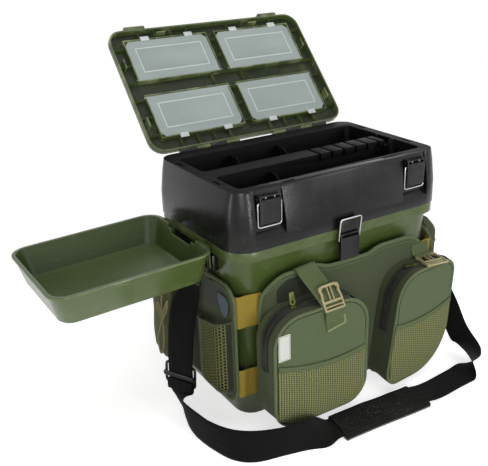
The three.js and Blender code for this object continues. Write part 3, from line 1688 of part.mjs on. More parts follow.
// Frame with cross bars, lying in the plane of its width and length about its own centre.
function barredFrame(width, length, thickness, rail, bar) {
  const halfX = width / 2;
  const halfY = length / 2;
  const halfZ = thickness / 2;
  const plate = solid(box(-halfX, halfX, -halfY, halfY, -halfZ, halfZ));
  const through = halfZ + cutOverrun;
  const windows = sides.map((side) => {
    const [y0, y1] = [side * (bar / 2), side * (halfY - bar)].sort((a, b) => a - b);
    return box(-halfX + rail, halfX - rail, y0, y1, -through, through);
  });
  return cut(plate, ...windows);
}

// Places a piece by the direction of its width and of its length.
function placed(piece, centre, wide, long) {
  const along = new THREE.Vector3(...long).normalize();
  const across = new THREE.Vector3(...wide);
  across.addScaledVector(along, -across.dot(along)).normalize();
  const over = across.clone().cross(along);
  const matrix = new THREE.Matrix4().makeBasis(across, along, over);
  matrix.setPosition(...centre);
  piece.applyMatrix4(matrix);
  return piece;
}

// Points on an upright face, each with its place across and its height.
function onFace(points, faceY, wide) {
  return points.map(([x, z]) => ({ at: [x, faceY, z], wide }));
}

function pocketBuckle(name, centre, wide, long) {
  const frame = barredFrame(buckleWidth, buckleLength, buckleThickness, buckleRail, buckleBar);
  return placed(mesh(name, frame, finishes.buckle), centre, wide, long);
}

function pocketFastenings() {
  const seat = fitGap + tapeThickness / 2;
  const panelY = frontPanelFace - seat;
  const pocketY = pocketFace - seat;
  const centre = new THREE.Vector3(...leftBuckleCentre);
  const long = new THREE.Vector3(...leftBuckleLong).normalize();
  const square = new THREE.Vector3(...leftBuckleWide);
  square.addScaledVector(long, -square.dot(long));
  const half = buckleLength / 2 + fitGap;
  const alongLeft = (distance) => ({
    at: centre.clone().addScaledVector(long, distance).toArray(),
    wide: square.toArray(),
  });
  const leftTape = tape([
    ...onFace(leftTapeOnPanel, panelY, leftBuckleWide),
    ...leftTapeFree.map((at) => ({ at, wide: leftBuckleWide })),
    alongLeft(-half - buckleBar),
    alongLeft(-half),
  ], tapeWidth, tapeThickness);
  const leftTab = tape([
    alongLeft(half),
    alongLeft(half + buckleBar),
    ...onFace(leftTabOnPocket, pocketY, leftBuckleWide),
  ], tapeWidth, tapeThickness);
  const level = [1, 0, 0];
  const rightTape = tape([
    ...onFace(rightTapeOnPanel, panelY, level),
    ...rightTapeFree.map((at) => ({ at, wide: level })),
  ], tapeWidth, tapeThickness);
  const rightZ = rightPocketTop + 2 * fitGap + buckleThickness / 2;
  const rightCentre = [rightBuckleX, rightBuckleY, rightZ];
  return [
    mesh('left_pocket_strap', leftTape, finishes.fabric),
    pocketBuckle('left_pocket_buckle', leftBuckleCentre, leftBuckleWide, leftBuckleLong),
    mesh('left_pocket_tab', leftTab, finishes.fabric),
    mesh('right_pocket_strap', rightTape, finishes.fabric),
    pocketBuckle('right_pocket_buckle', rightCentre, rightBuckleWide, rightBuckleLong),
  ];
}

// Outline of a side pocket seen from above, flat against its panel.
function sidePocketOutline(side, y0, y1, depth, radius, inset = 0) {
  const wall = sidePanelFace + fitGap + inset;
  const out = sidePanelFace + depth - inset;
  const inner = Math.max(radius - inset, weldDistance);
  const corners = [
    [wall, y0 + inset, inner / 4],
    [out, y0 + inset, inner],
    [out, y1 - inset, inner],
    [wall, y1 - inset, inner / 4],
  ];
  const mirrored = corners.map(([x, y, r]) => [-x, y, r]).reverse();
  return roundedPolygon(side > 0 ? corners : mirrored, smallCornerSteps);
}

// Outline shrunk towards the middle of its flat side.
function gathered(outline, side, y0, y1, share) {
  const wall = side * (sidePanelFace + fitGap);
  const middle = (y0 + y1) / 2;
  return outline.map(([x, y]) => [wall + (x - wall) * share, middle + (y - middle) * share]);
}

function bottlePocket() {
  const outline = (inset) => sidePocketOutline(
    -1, bottleFront, bottleRear, bottleDepth, bottleRadius, inset,
  );
  const body = loft([
    ringAt(outline(bottleWall), bottleLow),
    ringAt(outline(0), bottleLow + bottleWall),
    ringAt(outline(0), bottleTop),
    ringAt(outline(bottleWall), bottleTop),
    ringAt(outline(bottleWall), bottleLow + bottleWall),
  ]);
  return mesh('left_bottle_pocket', body, finishes.mesh);
}

// Arched flap that stands over the mouth of the bottle pocket.
function bottleFlap() {
  const radius = (bottleRear - bottleFront) / 3;
  const outline = roundedPolygon([
    [bottleFront, bottleTop + fitGap, flapThickness],
    [bottleRear, bottleTop + fitGap, flapThickness],
    [bottleRear, flapTop, radius],
    [bottleFront, flapTop, radius],
  ]);
  const face = -(sidePanelFace + fitGap);
  return mesh('left_bottle_flap', prismAlongX(outline, face - flapThickness, face), finishes.fabric);
}

function drawstringPouch() {
  const outline = sidePocketOutline(-1, pouchFront, pouchRear, pouchDepth, pouchRadius);
  const ring = (share, z) => ringAt(gathered(outline, -1, pouchFront, pouchRear, share), z);
  const height = pouchTop - pouchLow;
  const neck = (1 + pouchNeckShare) / 2;
  const body = loft([
    ring(pouchNeckShare, pouchLow),
    ring(1, pouchLow + height / 8),
    ring(1, pouchLow + (5 * height) / 8),
    ring(neck, pouchLow + (6 * height) / 8),
    ring(pouchNeckShare, pouchLow + (7 * height) / 8),
    ring(neck, pouchTop),
  ]);
  return mesh('left_drawstring_pouch', body, finishes.fabric);
}

function rightSidePocket() {
  const outline = sidePocketOutline(1, rightSideFront, rightSideRear, rightSideDepth, rightSideRadius);
  const ring = (share, z) => ringAt(gathered(outline, 1, rightSideFront, rightSideRear, share), z);
  const round = rightSideRadius;
  const body = loft([
    ring(pouchNeckShare, rightSideLow),
    ring(1, rightSideLow + round),
    ring(1, rightSideTop - 2 * round),
    ring((1 + pouchNeckShare) / 2, rightSideTop - round / 2),
    ring(pouchNeckShare, rightSideTop),
  ]);
  return mesh('right_side_pocket', body, finishes.fabric);
}

// Ring that the shoulder strap hangs on, lying against the side panel.
function strapRing(side) {
  const half = ringHalf;
  const bend = ringBend;
  const path = roundedOutline(2 * half, ringHeight, bend, 0, ringHeight / 2, smallCornerSteps);
  const origin = new THREE.Vector3(side * ringOut, 0, ringLow);
  const alongY = new THREE.Vector3(0, 1, 0);
  const up = new THREE.Vector3(0, 0, 1);
  const wire = bentWire(path, ringWire, origin, alongY, up, true);
  return mesh(`${sideName(side)}_strap_ring`, wire, finishes.black);
}

// Webbing loop that is sewn to the side panel and holds the ring's upper bar.
function ringLoop(side) {
  const barZ = ringLow + ringHeight;
  const round = ringWire + fitGap + loopThickness / 2;
  const flat = sidePanelFace + fitGap + loopThickness / 2;
  const over = arc(ringOut, barZ, round, 2 * quarterTurn, 0, cornerSteps);
  const wide = [0, 1, 0];
  const path = [
    [flat, barZ - loopTail],
    [flat, barZ - loopLead],
    [ringOut - round, barZ - ringWire],
    ...over,
    [ringOut + round, barZ - ringWire],
    [ringOut + round - loopThickness, barZ - loopEnd],
  ].map(([x, z]) => ({ at: [side * x, 0, z], wide }));
  const ribbon = tape(path, 2 * loopHalf, loopThickness);
  return mesh(`${sideName(side)}_ring_loop`, ribbon, finishes.webbing);
}

// Route of the shoulder strap from the left ring over the ground to the right ring: the middle
// of the webbing and the direction from its one edge to the other.
const strapRoute = [
  { at: [-209.5, 0, 213.4], wide: [0, 1, 0] },
  { at: [-210, 0, 209], wide: [0, 1, 0] },
  { at: [-215, 0, 200], wide: [-0.03, 1, 0] },
  { at: [-228, -1, 170], wide: [-0.1, 0.99, 0] },
  { at: [-238, -4, 120], wide: [-0.2, 0.98, 0] },
  { at: [-244, -8, 75], wide: [-0.28, 0.96, 0] },
  { at: [-246, -11.5, 34], wide: [-0.28, 0.96, 0] },
  { at: [-251, -21, 24], wide: [0, 0.85, -0.5] },
  { at: [-258, -36, 22.8], wide: [0.25, 0.5, -0.8] },
  { at: [-265, -54, 24], wide: [0.2, 0.15, -0.95] },
  { at: [-269, -76, 24.4], wide: [0.1, 0, -1] },
  { at: [-268, -105, 24.4], wide: [0, 0, -1] },
  { at: [-262, -140, 24.4], wide: [0, -0.2, -0.97] },
  { at: [-247, -175, 24.2], wide: [-0.1, -0.25, -0.96] },
  { at: [-220, -198, 24], wide: [-0.15, -0.22, -0.96] },
  { at: [-178, -212, 24.2], wide: [0, -0.1, -0.99] },
  { at: [-138, -219, 23], wide: [0, -0.25, -0.95] },
  { at: [-110, -216, 15], wide: [-0.1, -0.8, -0.55] },
  { at: [-93, -212, 8.8], wide: [-0.2, -0.97, -0.12] },
  { at: [-78, -211.5, 7.4], wide: [-0.15, -0.98, 0] },
  { at: [-20, -213, 7.4], wide: [-0.03, -1, 0] },
  { at: [40, -217, 7.4], wide: [0, -1, 0] },
  { at: [85, -219, 7.4], wide: [0, -1, 0] },
  { at: [104, -219, 4.2], wide: [0, -1, 0] },
  { at: [130, -217, 1.6], wide: [0, -1, 0] },
  { at: [165, -214, 1.6], wide: [0, -1, 0] },
  { at: [190, -213, 2.4], wide: [0, -1, -0.03] },
  { at: [206, -213, 5.2], wide: [-0.1, -0.99, -0.05] },
  { at: [222, -210, 10], wide: [-0.5, -0.75, 0.35] },
  { at: [236, -200, 18], wide: [-0.8, -0.2, 0.55] },
  { at: [243, -185, 25], wide: [-0.75, 0.45, 0.4] },
  { at: [245, -168, 34], wide: [-0.4, 0.85, -0.2] },
  { at: [243, -148, 56], wide: [-0.15, 0.9, -0.4] },
  { at: [242, -120, 100], wide: [-0.08, 0.93, -0.38] },
  { at: [243, -72, 150], wide: [0, 0.8, -0.55] },
  { at: [242, -36, 180], wide: [0, 0.8, -0.5] },
  { at: [228, -14, 197], wide: [0, 0.9, -0.4] },
  { at: [211, -1, 207], wide: [0, 0.99, -0.1] },
  { at: [209.5, 0, 213.4], wide: [0, 1, 0] },
];

function shoulderStrap() {
  return mesh('shoulder_strap', tape(strapRoute, strapWidth, strapThickness), finishes.webbing);
}

// Lie of the glide and of the pad on the strap.
const glidePoint = [-245, -9.7, 55];
const glideWide = [-0.28, 0.96, 0];
const glideLong = [0.05, 0.085, 1];
const padRoute = [
  { at: [-79, -211], wide: [-0.1, -0.98, 0] },
  { at: [-20, -213], wide: [-0.03, -1, 0] },
  { at: [40, -217], wide: [0, -1, 0] },
  { at: [85, -219], wide: [0, -1, 0] },
];

function strapGlide() {
  const frame = barredFrame(glideWidth, glideHeight, glideThickness, glideBar, glideBar);
  const [wideX, wideY] = glideWide;
  const out = new THREE.Vector3(-wideY, wideX, 0).normalize();
  const centre = new THREE.Vector3(...glidePoint);
  centre.addScaledVector(out, strapThickness / 2 + fitGap + glideThickness / 2);
  centre.addScaledVector(new THREE.Vector3(...glideWide), glideShift);
  const glide = mesh('strap_glide', frame, finishes.black);
  return placed(glide, centre.toArray(), glideWide, glideLong);
}

function shoulderPad() {
  const path = padRoute.map(({ at: [x, y], wide }) => ({ at: [x, y, padThickness / 2], wide }));
  return mesh('shoulder_pad', tape(path, padWidth, padThickness), finishes.webbing);
}

const fishingSeatBox = grouped(
  tub(),
  tackleSection(),
  ...partitions(),
  centreKeeper(),
  ...hingeRods(),
  lidAssembly(),
  ...latches(),
  sideTray(),
  trayBracket(),
  frontPanel(),
  ...sides.map(sidePanel),
  backPanel(),
  ...elasticLinks(),
  ...frontPockets(),
  zipSlider('left_zip_slider', leftZipX, leftPocketTop),
  zipSlider('right_zip_slider', rightZipX, rightPocketTop),
  ...pocketFastenings(),
  bottlePocket(),
  bottleFlap(),
  drawstringPouch(),
  rightSidePocket(),
  ...sides.map(strapRing),
  ...sides.map(ringLoop),
  shoulderStrap(),
  strapGlide(),
  shoulderPad(),
);
fishingSeatBox.name = 'fishing_seat_box';

export default fishingSeatBox;
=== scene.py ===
"""Fishing seat box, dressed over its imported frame.

The hard pieces keep the frame's shapes and get rounded edges and moulded finishes. The soft
pieces are sewn fabric, mesh, webbing and padding that stand for the frame's plain solids.
Metres, X to the right seen from the front, Y to the back, Z up.
"""

import json
import logging
import math
from collections.abc import Callable, Sequence
from dataclasses import dataclass
from enum import Enum
from functools import partial

import bpy
from mathutils import Matrix, Vector, noise

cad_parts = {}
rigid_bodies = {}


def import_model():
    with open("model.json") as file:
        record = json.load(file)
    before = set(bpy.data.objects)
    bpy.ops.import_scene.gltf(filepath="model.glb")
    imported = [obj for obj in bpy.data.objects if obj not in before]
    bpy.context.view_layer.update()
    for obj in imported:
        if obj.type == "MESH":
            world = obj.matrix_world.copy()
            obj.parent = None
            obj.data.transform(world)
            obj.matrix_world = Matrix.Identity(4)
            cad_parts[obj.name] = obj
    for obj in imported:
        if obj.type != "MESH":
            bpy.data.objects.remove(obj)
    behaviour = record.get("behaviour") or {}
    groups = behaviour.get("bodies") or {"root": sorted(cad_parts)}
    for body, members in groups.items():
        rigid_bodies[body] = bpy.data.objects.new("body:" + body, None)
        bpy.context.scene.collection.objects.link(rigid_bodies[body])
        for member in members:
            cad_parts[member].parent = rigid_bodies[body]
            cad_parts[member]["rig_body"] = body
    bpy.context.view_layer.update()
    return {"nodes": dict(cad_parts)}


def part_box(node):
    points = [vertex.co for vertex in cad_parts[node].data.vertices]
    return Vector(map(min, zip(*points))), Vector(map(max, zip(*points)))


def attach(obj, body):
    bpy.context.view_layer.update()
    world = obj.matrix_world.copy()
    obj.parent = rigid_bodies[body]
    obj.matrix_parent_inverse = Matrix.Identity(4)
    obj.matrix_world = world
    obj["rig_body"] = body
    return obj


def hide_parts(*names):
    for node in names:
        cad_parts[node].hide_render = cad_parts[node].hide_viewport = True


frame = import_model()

LOG = logging.getLogger("seat_box")

Pair = tuple[float, float]
Triple = tuple[float, float, float]
Piece = bpy.types.Object
Face = bpy.types.MeshPolygon
Tree = bpy.types.NodeTree
Node = bpy.types.Node
Socket = bpy.types.NodeSocket
Inputs = dict[str | int, object]
Station = tuple[Vector, Vector]
Column = tuple[Vector, Vector, float, float]

UP = Vector((0.0, 0.0, 1.0))
BACK = Vector((0.0, 1.0, 0.0))
RIGHT = Vector((1.0, 0.0, 0.0))
QUARTER = math.pi / 2
TURN = 2 * math.pi
MERGE = 0.000002
SMOOTH_ANGLE = math.radians(34)
SOFT_ANGLE = math.radians(50)
HARD_ANGLE = math.radians(40)
PANEL_SIDE = 0.2033


class Body(Enum):
    """The frame's bodies that pieces ride on."""

    BOX = "box"
    LEFT_LEVER = "left_lever"
    RIGHT_LEVER = "right_lever"
    LEFT_ZIP = "left_zip"
    RIGHT_ZIP = "right_zip"


class Slot(Enum):
    """The record's material slots."""

    GREEN = "green_plastic"
    BLACK = "black_plastic"
    TRAY = "tray_plastic"
    FROSTED = "frosted_plastic"
    FABRIC = "fabric"
    MESH = "mesh"
    ELASTIC = "elastic"
    BUCKLE = "buckle_plastic"
    BRASS = "brass"
    STEEL = "steel"
    WEBBING = "webbing"
    PAD = "pad"


class Side(Enum):
    """Left and right, seen from the front."""

    LEFT = -1
    RIGHT = 1

    @property
    def word(self) -> str:
        """The side's name in the names of pieces."""
        return self.name.lower()


# Selecting, applying and joining


def activate(piece: Piece) -> None:
    """Leave one piece selected and active, and nothing else.

    Args:
        piece: the object that the next operators act on.
    """
    bpy.ops.object.select_all(action="DESELECT")
    piece.select_set(True)
    bpy.context.view_layer.objects.active = piece


def apply_modifiers(piece: Piece) -> Piece:
    """Apply a piece's modifiers in their order.

    Args:
        piece: the object with its modifiers.

    Returns:
        The same object.
    """
    activate(piece)
    for modifier in list(piece.modifiers):
        bpy.ops.object.modifier_apply(modifier=modifier.name)
    return piece


def edit(piece: Piece, *steps: Callable[[], object]) -> Piece:
    """Run operators in edit mode with every face selected.

    Args:
        piece: the object to edit.
        steps: calls to run one after the other.

    Returns:
        The same object.
    """
    activate(piece)
    bpy.ops.object.mode_set(mode="EDIT")
    bpy.ops.mesh.select_all(action="SELECT")
    for step in steps:
        step()
    bpy.ops.object.mode_set(mode="OBJECT")
    return piece


def smooth(piece: Piece, angle: float = SMOOTH_ANGLE) -> Piece:
    """Shade a piece smooth across the edges that are flatter than an angle.

    Args:
        piece: the object.
        angle: the limit in radians.

    Returns:
        The same object.
    """
    activate(piece)
    bpy.ops.object.shade_smooth_by_angle(angle=angle)
    return piece


def bevelled(piece: Piece, width: float, steps: int = 2, angle: float = SMOOTH_ANGLE) -> Piece:
    """Round a piece's sharp edges and shade it smooth.

    Args:
        piece: the object.
        width: width of the rounding in metres.
        steps: faces across the rounding.
        angle: edges sharper than this are rounded, in radians.

    Returns:
        The same object.
    """
    modifier = piece.modifiers.new("rounding", "BEVEL")
    modifier.width = width
    modifier.segments = steps
    modifier.limit_method = "ANGLE"
    modifier.angle_limit = angle
    modifier.miter_outer = "MITER_ARC"
    apply_modifiers(piece)
    return smooth(piece)


def joined(name: str, pieces: Sequence[Piece]) -> Piece:
    """Join several pieces into one.

    Args:
        name: name of the joined piece.
        pieces: the pieces, all with their place in their meshes.

    Returns:
        The joined object.
    """
    activate(pieces[0])
    for piece in pieces[1:]:
        piece.select_set(True)
    bpy.ops.object.join()
    whole = bpy.context.view_layer.objects.active
    whole.name = name
    whole.data.name = name
    return whole


def settled(piece: Piece) -> Piece:
    """Put a piece's place, turn and size into its mesh.

    Args:
        piece: the object.

    Returns:
        The same object, at the origin.
    """
    activate(piece)
    bpy.ops.object.transform_apply(location=True, rotation=True, scale=True)
    return piece


def outward(piece: Piece) -> Piece:
    """Merge a closed piece's doubles and turn its faces outwards.

    Args:
        piece: the object.

    Returns:
        The same object.
    """
    return edit(
        piece,
        partial(bpy.ops.mesh.remove_doubles, threshold=MERGE),
        partial(bpy.ops.mesh.normals_make_consistent, inside=False),
    )


# Outlines, paths and skins


def rounded_polygon(corners: Sequence[Triple], steps: int = 12) -> list[Pair]:
    """Outline of a polygon with round corners, anticlockwise.

    Args:
        corners: the corners as (a, b, radius).
        steps: chords in each corner.

    Returns:
        The outline's points.
    """
    outline: list[Pair] = []
    for index, (a, b, radius) in enumerate(corners):
        corner = Vector((a, b))
        before = (Vector(corners[index - 1][:2]) - corner).normalized()
        after = (Vector(corners[(index + 1) % len(corners)][:2]) - corner).normalized()
        half = math.acos(max(-1.0, min(1.0, before.dot(after)))) / 2
        centre = corner + (before + after).normalized() * (radius / math.sin(half))
        start = corner + before * (radius / math.tan(half)) - centre
        first = math.atan2(start.y, start.x)
        for step in range(steps + 1):
            angle = first + (math.pi - 2 * half) * step / steps
            outline.append((centre.x + radius * math.cos(angle), centre.y + radius * math.sin(angle)))
    return outline


def resampled(points: Sequence[Vector], count: int, closed: bool = False) -> list[Vector]:
    """Points spread evenly along a path.

    Args:
        points: the path's corners.
        count: how many points to give back.
        closed: whether the path runs back to its start.

    Returns:
        The evenly spread points.
    """
    line = [*points, points[0]] if closed else list(points)
    lengths = [0.0]
    for here, there in zip(line, line[1:]):
        lengths.append(lengths[-1] + (there - here).length)
    spans = count if closed else count - 1
    result = []
    index = 0
    for step in range(count):
        target = lengths[-1] * step / spans
        while index < len(line) - 2 and lengths[index + 1] < target:
            index += 1
        span = lengths[index + 1] - lengths[index]
        share = (target - lengths[index]) / span if span else 0.0
        result.append(line[index].lerp(line[index + 1], min(max(share, 0.0), 1.0)))
    return result


def length_of(path: Sequence[Vector]) -> float:
    """Length of an open path."""
    return sum((there - here).length for here, there in zip(path, path[1:]))


def middle_of(points: Sequence[Vector]) -> Vector:
    """Mean of points."""
    return sum(points, Vector()) / len(points)


def drawn_in(outline: Sequence[Vector], inset: float, lift: Vector) -> list[Vector]:
    """Outline drawn towards its middle by an inset, and moved by a lift."""
    centre = middle_of(outline)
    return [point + (centre - point).normalized() * inset + lift for point in outline]


def rectangle(low: Pair, high: Pair, radius: float, upper: float | None = None) -> list[Triple]:
    """Corners of a rectangle, as rounded_polygon takes them.

    Args:
        low: its lower left corner.
        high: its upper right corner.
        radius: radius of its corners.
        upper: radius of the upper ones, where it differs.

    Returns:
        The four corners as (a, b, radius).
    """
    (left, bottom), (right, top) = low, high
    above = radius if upper is None else upper
    return [(left, bottom, radius), (right, bottom, radius), (right, top, above), (left, top, above)]


def upright(shape: Sequence[Pair], axis: str, depth: float, count: int) -> list[Vector]:
    """Outline stood up at a depth on the X or the Y axis, as evenly spread points."""
    rows = [(depth, a, b) if axis == "X" else (a, depth, b) for a, b in shape]
    return resampled([Vector(row) for row in rows], count, True)


def curve_through(points: Sequence[Vector], steps: int) -> list[Vector]:
    """Smooth curve through points.

    Args:
        points: the points it passes.
        steps: chords between each two points.

    Returns:
        The curve's points.
    """
    ends = [2 * points[0] - points[1], *points, 2 * points[-1] - points[-2]]
    result = []
    for p0, p1, p2, p3 in zip(ends, ends[1:], ends[2:], ends[3:]):
        for step in range(steps):
            t = step / steps
            bend = 2 * p0 - 5 * p1 + 4 * p2 - p3
            lean = -p0 + 3 * p1 - 3 * p2 + p3
            result.append(0.5 * (2 * p1 + (p2 - p0) * t + bend * t * t + lean * t * t * t))
    return [*result, points[-1].copy()]


def mesh_piece(
    name: str,
    points: Sequence[Vector],
    faces: Sequence[Sequence[int]],
    uvs: Sequence[Sequence[Pair]] | None = None,
) -> Piece:
    """A new object with a mesh in place.

    Args:
        name: name of the piece.
        points: the mesh's points.
        faces: the faces as point numbers.
        uvs: for each face, its corners' places on the cloth, in metres.

    Returns:
        The new object.
    """
    data = bpy.data.meshes.new(name)
    data.from_pydata([tuple(point) for point in points], [], [tuple(face) for face in faces])
    if uvs is not None:
        layer = data.uv_layers.new(name="UVMap")
        flat = [value for face in uvs for corner in face for value in corner]
        layer.data.foreach_set("uv", flat)
    data.validate()
    piece = bpy.data.objects.new(name, data)
    bpy.context.scene.collection.objects.link(piece)
    return piece


def skin(
    name: str,
    rings: Sequence[Sequence[Vector]],
    around: bool = True,
    along: bool = False,
    capped: bool = True,
) -> Piece:
    """Skin over rings of equal count, with its cloth places in metres.

    Args:
        name: name of the piece.
        rings: the rings in order.
        around: whether each ring closes on itself.
        along: whether the last ring joins the first.
        capped: whether open ends of closed rings are filled by fans.

    Returns:
        The new object.
    """
    count = len(rings[0])
    points = [point for ring in rings for point in ring]
    sides = count if around else count - 1
    spans = len(rings) if along else len(rings) - 1
    middle = rings[len(rings) // 2]
    u_at = [0.0]
    for side in range(sides):
        u_at.append(u_at[-1] + (middle[(side + 1) % count] - middle[side]).length)
    v_at = [0.0]
    for span in range(spans):
        ring, following = rings[span], rings[(span + 1) % len(rings)]
        steps = [(following[side] - ring[side]).length for side in range(count)]
        v_at.append(v_at[-1] + sum(steps) / count)
    faces, uvs = [], []
    for span in range(spans):
        base = span * count
        top = ((span + 1) % len(rings)) * count
        for side in range(sides):
            other = (side + 1) % count
            faces.append((base + side, base + other, top + other, top + side))
            u0, u1, v0, v1 = u_at[side], u_at[side + 1], v_at[span], v_at[span + 1]
            uvs.append(((u0, v0), (u1, v0), (u1, v1), (u0, v1)))
    if around and capped and not along:
        for ring_index in (0, len(rings) - 1):
            base = ring_index * count
            centre = sum(rings[ring_index], Vector()) / count
            hub = len(points)
            points.append(centre)
            for side in range(count):
                corners = (hub, base + (side + 1) % count, base + side)
                order = corners if ring_index == 0 else (corners[0], corners[2], corners[1])
                faces.append(order)
                uvs.append(tuple((points[i].x + points[i].y, points[i].z) for i in order))
    return mesh_piece(name, points, faces, uvs)


def travels(path: Sequence[Vector], looped: bool = False) -> list[Vector]:
    """Directions along a path.

    Args:
        path: the path's points.
        looped: whether it runs back to its start.

    Returns:
        One direction for each point.
    """
    last = len(path) - 1
    result = []
    for index in range(len(path)):
        before = path[index - 1] if looped or index else path[0]
        after = path[(index + 1) % len(path)] if looped or index < last else path[last]
        result.append((after - before).normalized())
    return result


def tube(
    name: str,
    path: Sequence[Vector],
    radius: float,
    looped: bool = False,
    sides: int = 10,
    flat: float = 1.0,
    lean: Vector = UP,
) -> Piece:
    """Round or flattened tube along a path.

    Args:
        name: name of the piece.
        path: the tube's middle line.
        radius: half its width.
        looped: whether it closes on itself.
        sides: faces around it.
        flat: its height as a share of its width.
        lean: a direction that its height keeps near, never along the path.

    Returns:
        The new object.
    """
    rings = []
    over = lean
    for point, travel in zip(path, travels(path, looped)):
        across = travel.cross(over).normalized()
        over = across.cross(travel).normalized()
        rings.append([
            point + across * (radius * math.cos(TURN * side / sides))
            + over * (radius * flat * math.sin(TURN * side / sides))
            for side in range(sides)
        ])
    piece = skin(name, rings, along=looped)
    return smooth(outward(piece), math.radians(60))


def band(
    name: str,
    stations: Sequence[Station],
    width: float,
    thickness: float,
    looped: bool = False,
    crown: float = 0.0,
) -> Piece:
    """Flat woven band with round edges along stations of a middle point and a width direction.

    Args:
        name: name of the piece.
        stations: middle points with the direction across the band at each.
        width: width in metres.
        thickness: thickness in metres.
        looped: whether it closes on itself.
        crown: how far its middle stands proud of its edges.

    Returns:
        The new object.
    """
    columns, edge_share, round_share = 8, 0.55, 0.4
    half, thin = width / 2, thickness / 2
    section: list[Pair] = []
    for face in (1, -1):
        for column in range(columns + 1)[::face]:
            a = -half + width * column / columns
            share = edge_share if column in (0, columns) else 1.0
            section.append((a, face * thin * share + crown * (1 - (a / half) ** 2)))
        section.append((face * (half + thin * round_share), 0.0))
    centres = [centre for centre, _ in stations]
    rings = []
    for (centre, wide), travel in zip(stations, travels(centres, looped)):
        across = wide.normalized()
        over = travel.cross(across).normalized()
        rings.append([centre + across * a + over * b for a, b in section])
    piece = skin(name, rings, along=looped)
    return smooth(outward(piece), SOFT_ANGLE)


def stitches(name: str, path: Sequence[Vector], pitch: float = 0.0042, looped: bool = False) -> Piece:
    """Row of thread stitches lying on a surface.

    Args:
        name: name of the piece.
        path: points that the seam follows.
        pitch: distance from one stitch to the next.
        looped: whether the seam closes on itself.

    Returns:
        The new object.
    """
    line = [*path, path[0]] if looped else list(path)
    count = max(int(length_of(line) / pitch), 1)
    spots = resampled(line, count * 4 + 1)
    points, faces = [], []
    thread = 0.00042
    for index in range(count):
        head, tail = spots[index * 4], spots[index * 4 + 3]
        travel = (tail - head).normalized()
        side = travel.cross(UP if abs(travel.z) < 0.9 else RIGHT).normalized() * thread
        over = travel.cross(side.normalized()) * thread
        base = len(points)
        ring = [side, over, -side, -over]
        points += [head, *[head.lerp(tail, 0.25) + edge for edge in ring]]
        points += [*[head.lerp(tail, 0.75) + edge for edge in ring], tail]
        for corner in range(4):
            following = (corner + 1) % 4
            faces.append((base, base + 1 + following, base + 1 + corner))
            near, far = base + 1, base + 5
            faces.append((near + corner, near + following, far + following, far + corner))
            faces.append((base + 9, base + 5 + corner, base + 5 + following))
    return smooth(outward(mesh_piece(name, points, faces)), math.radians(80))


def wrinkled(piece: Piece, depth: Callable[[Vector], float], scale: float, seed: float) -> Piece:
    """Move a piece's points along their normals by smooth noise, as slack cloth stands.

    Args:
        piece: the object.
        depth: gives how far a point at a place may move, in metres.
        scale: folds per metre.
        seed: shifts the pattern, so that no two pieces are alike.

    Returns:
        The same object.
    """
    shift = Vector((seed, 2 * seed, 3 * seed))
    normals = [vertex.normal.copy() for vertex in piece.data.vertices]
    for vertex, normal in zip(piece.data.vertices, normals):
        swell = noise.noise(vertex.co * scale + shift) + 0.5 * noise.noise(vertex.co * (2 * scale) - shift)
        vertex.co += normal * (depth(vertex.co) * swell)
    piece.data.update()
    return piece


def block(low: Triple, high: Triple, width: float) -> Piece:
    """Block with round edges, made from a primitive and bevelled.

    Args:
        low: lowest corner.
        high: highest corner.
        width: width of the rounding.

    Returns:
        The new object.
    """
    centre = [(a + b) / 2 for a, b in zip(low, high)]
    bpy.ops.mesh.primitive_cube_add(size=1, location=centre)
    piece = bpy.context.view_layer.objects.active
    piece.scale = [b - a for a, b in zip(low, high)]
    settled(piece)
    edit(piece, partial(bpy.ops.mesh.bevel, offset=width, segments=3, affect="EDGES"))
    return smooth(piece)


def stud(centre: Vector, axis: Vector, radius: float, height: float) -> Piece:
    """Domed stud head, made from a cylinder whose outer rim is drawn in.

    Args:
        centre: middle of its foot.
        axis: direction that it stands out in.
        radius: radius of the head.
        height: height of the head.

    Returns:
        The new object.
    """
    turn = axis.to_track_quat("Z", "Y").to_euler()
    middle = centre + axis.normalized() * (height / 2)
    bpy.ops.mesh.primitive_cylinder_add(
        vertices=20, radius=radius, depth=height, location=middle, rotation=turn,
    )
    piece = settled(bpy.context.view_layer.objects.active)
    return bevelled(piece, height * 0.6, 4, SOFT_ANGLE)


def reshaped(piece: Piece, matrix: Matrix) -> Piece:
    """Move a piece's mesh by a matrix.

    Args:
        piece: the object.
        matrix: the placing.

    Returns:
        The same object.
    """
    piece.data.transform(matrix)
    piece.data.update()
    return piece


def covered(
    piece: Piece, finish: "Finish", *nodes: str, body: Body = Body.BOX, angle: float = SOFT_ANGLE,
) -> Piece:
    """Shade, dress and place a piece.

    Args:
        piece: the object.
        finish: its finish.
        nodes: nodes of the frame that it stands for.
        body: the body that it rides on.
        angle: edges flatter than this are shaded smooth, in radians.

    Returns:
        The same object.
    """
    smooth(piece, angle)
    finish.dress(piece)
    if nodes:
        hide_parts(*nodes)
    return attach(piece, body.value)


def laid_out(piece: Piece) -> Piece:
    """Give a piece cloth places in metres, each face seen along its main direction.

    Args:
        piece: the object.

    Returns:
        The same object.
    """
    data = piece.data
    layer = data.uv_layers.active or data.uv_layers.new(name="UVMap")
    for polygon in data.polygons:
        normal = polygon.normal
        main = max(range(3), key=lambda axis: abs(normal[axis]))
        first, second = [axis for axis in range(3) if axis != main]
        for corner in polygon.loop_indices:
            spot = data.vertices[data.loops[corner].vertex_index].co
            layer.data[corner].uv = (spot[first], spot[second])
    return piece


# Effects that the finishes share, as node groups


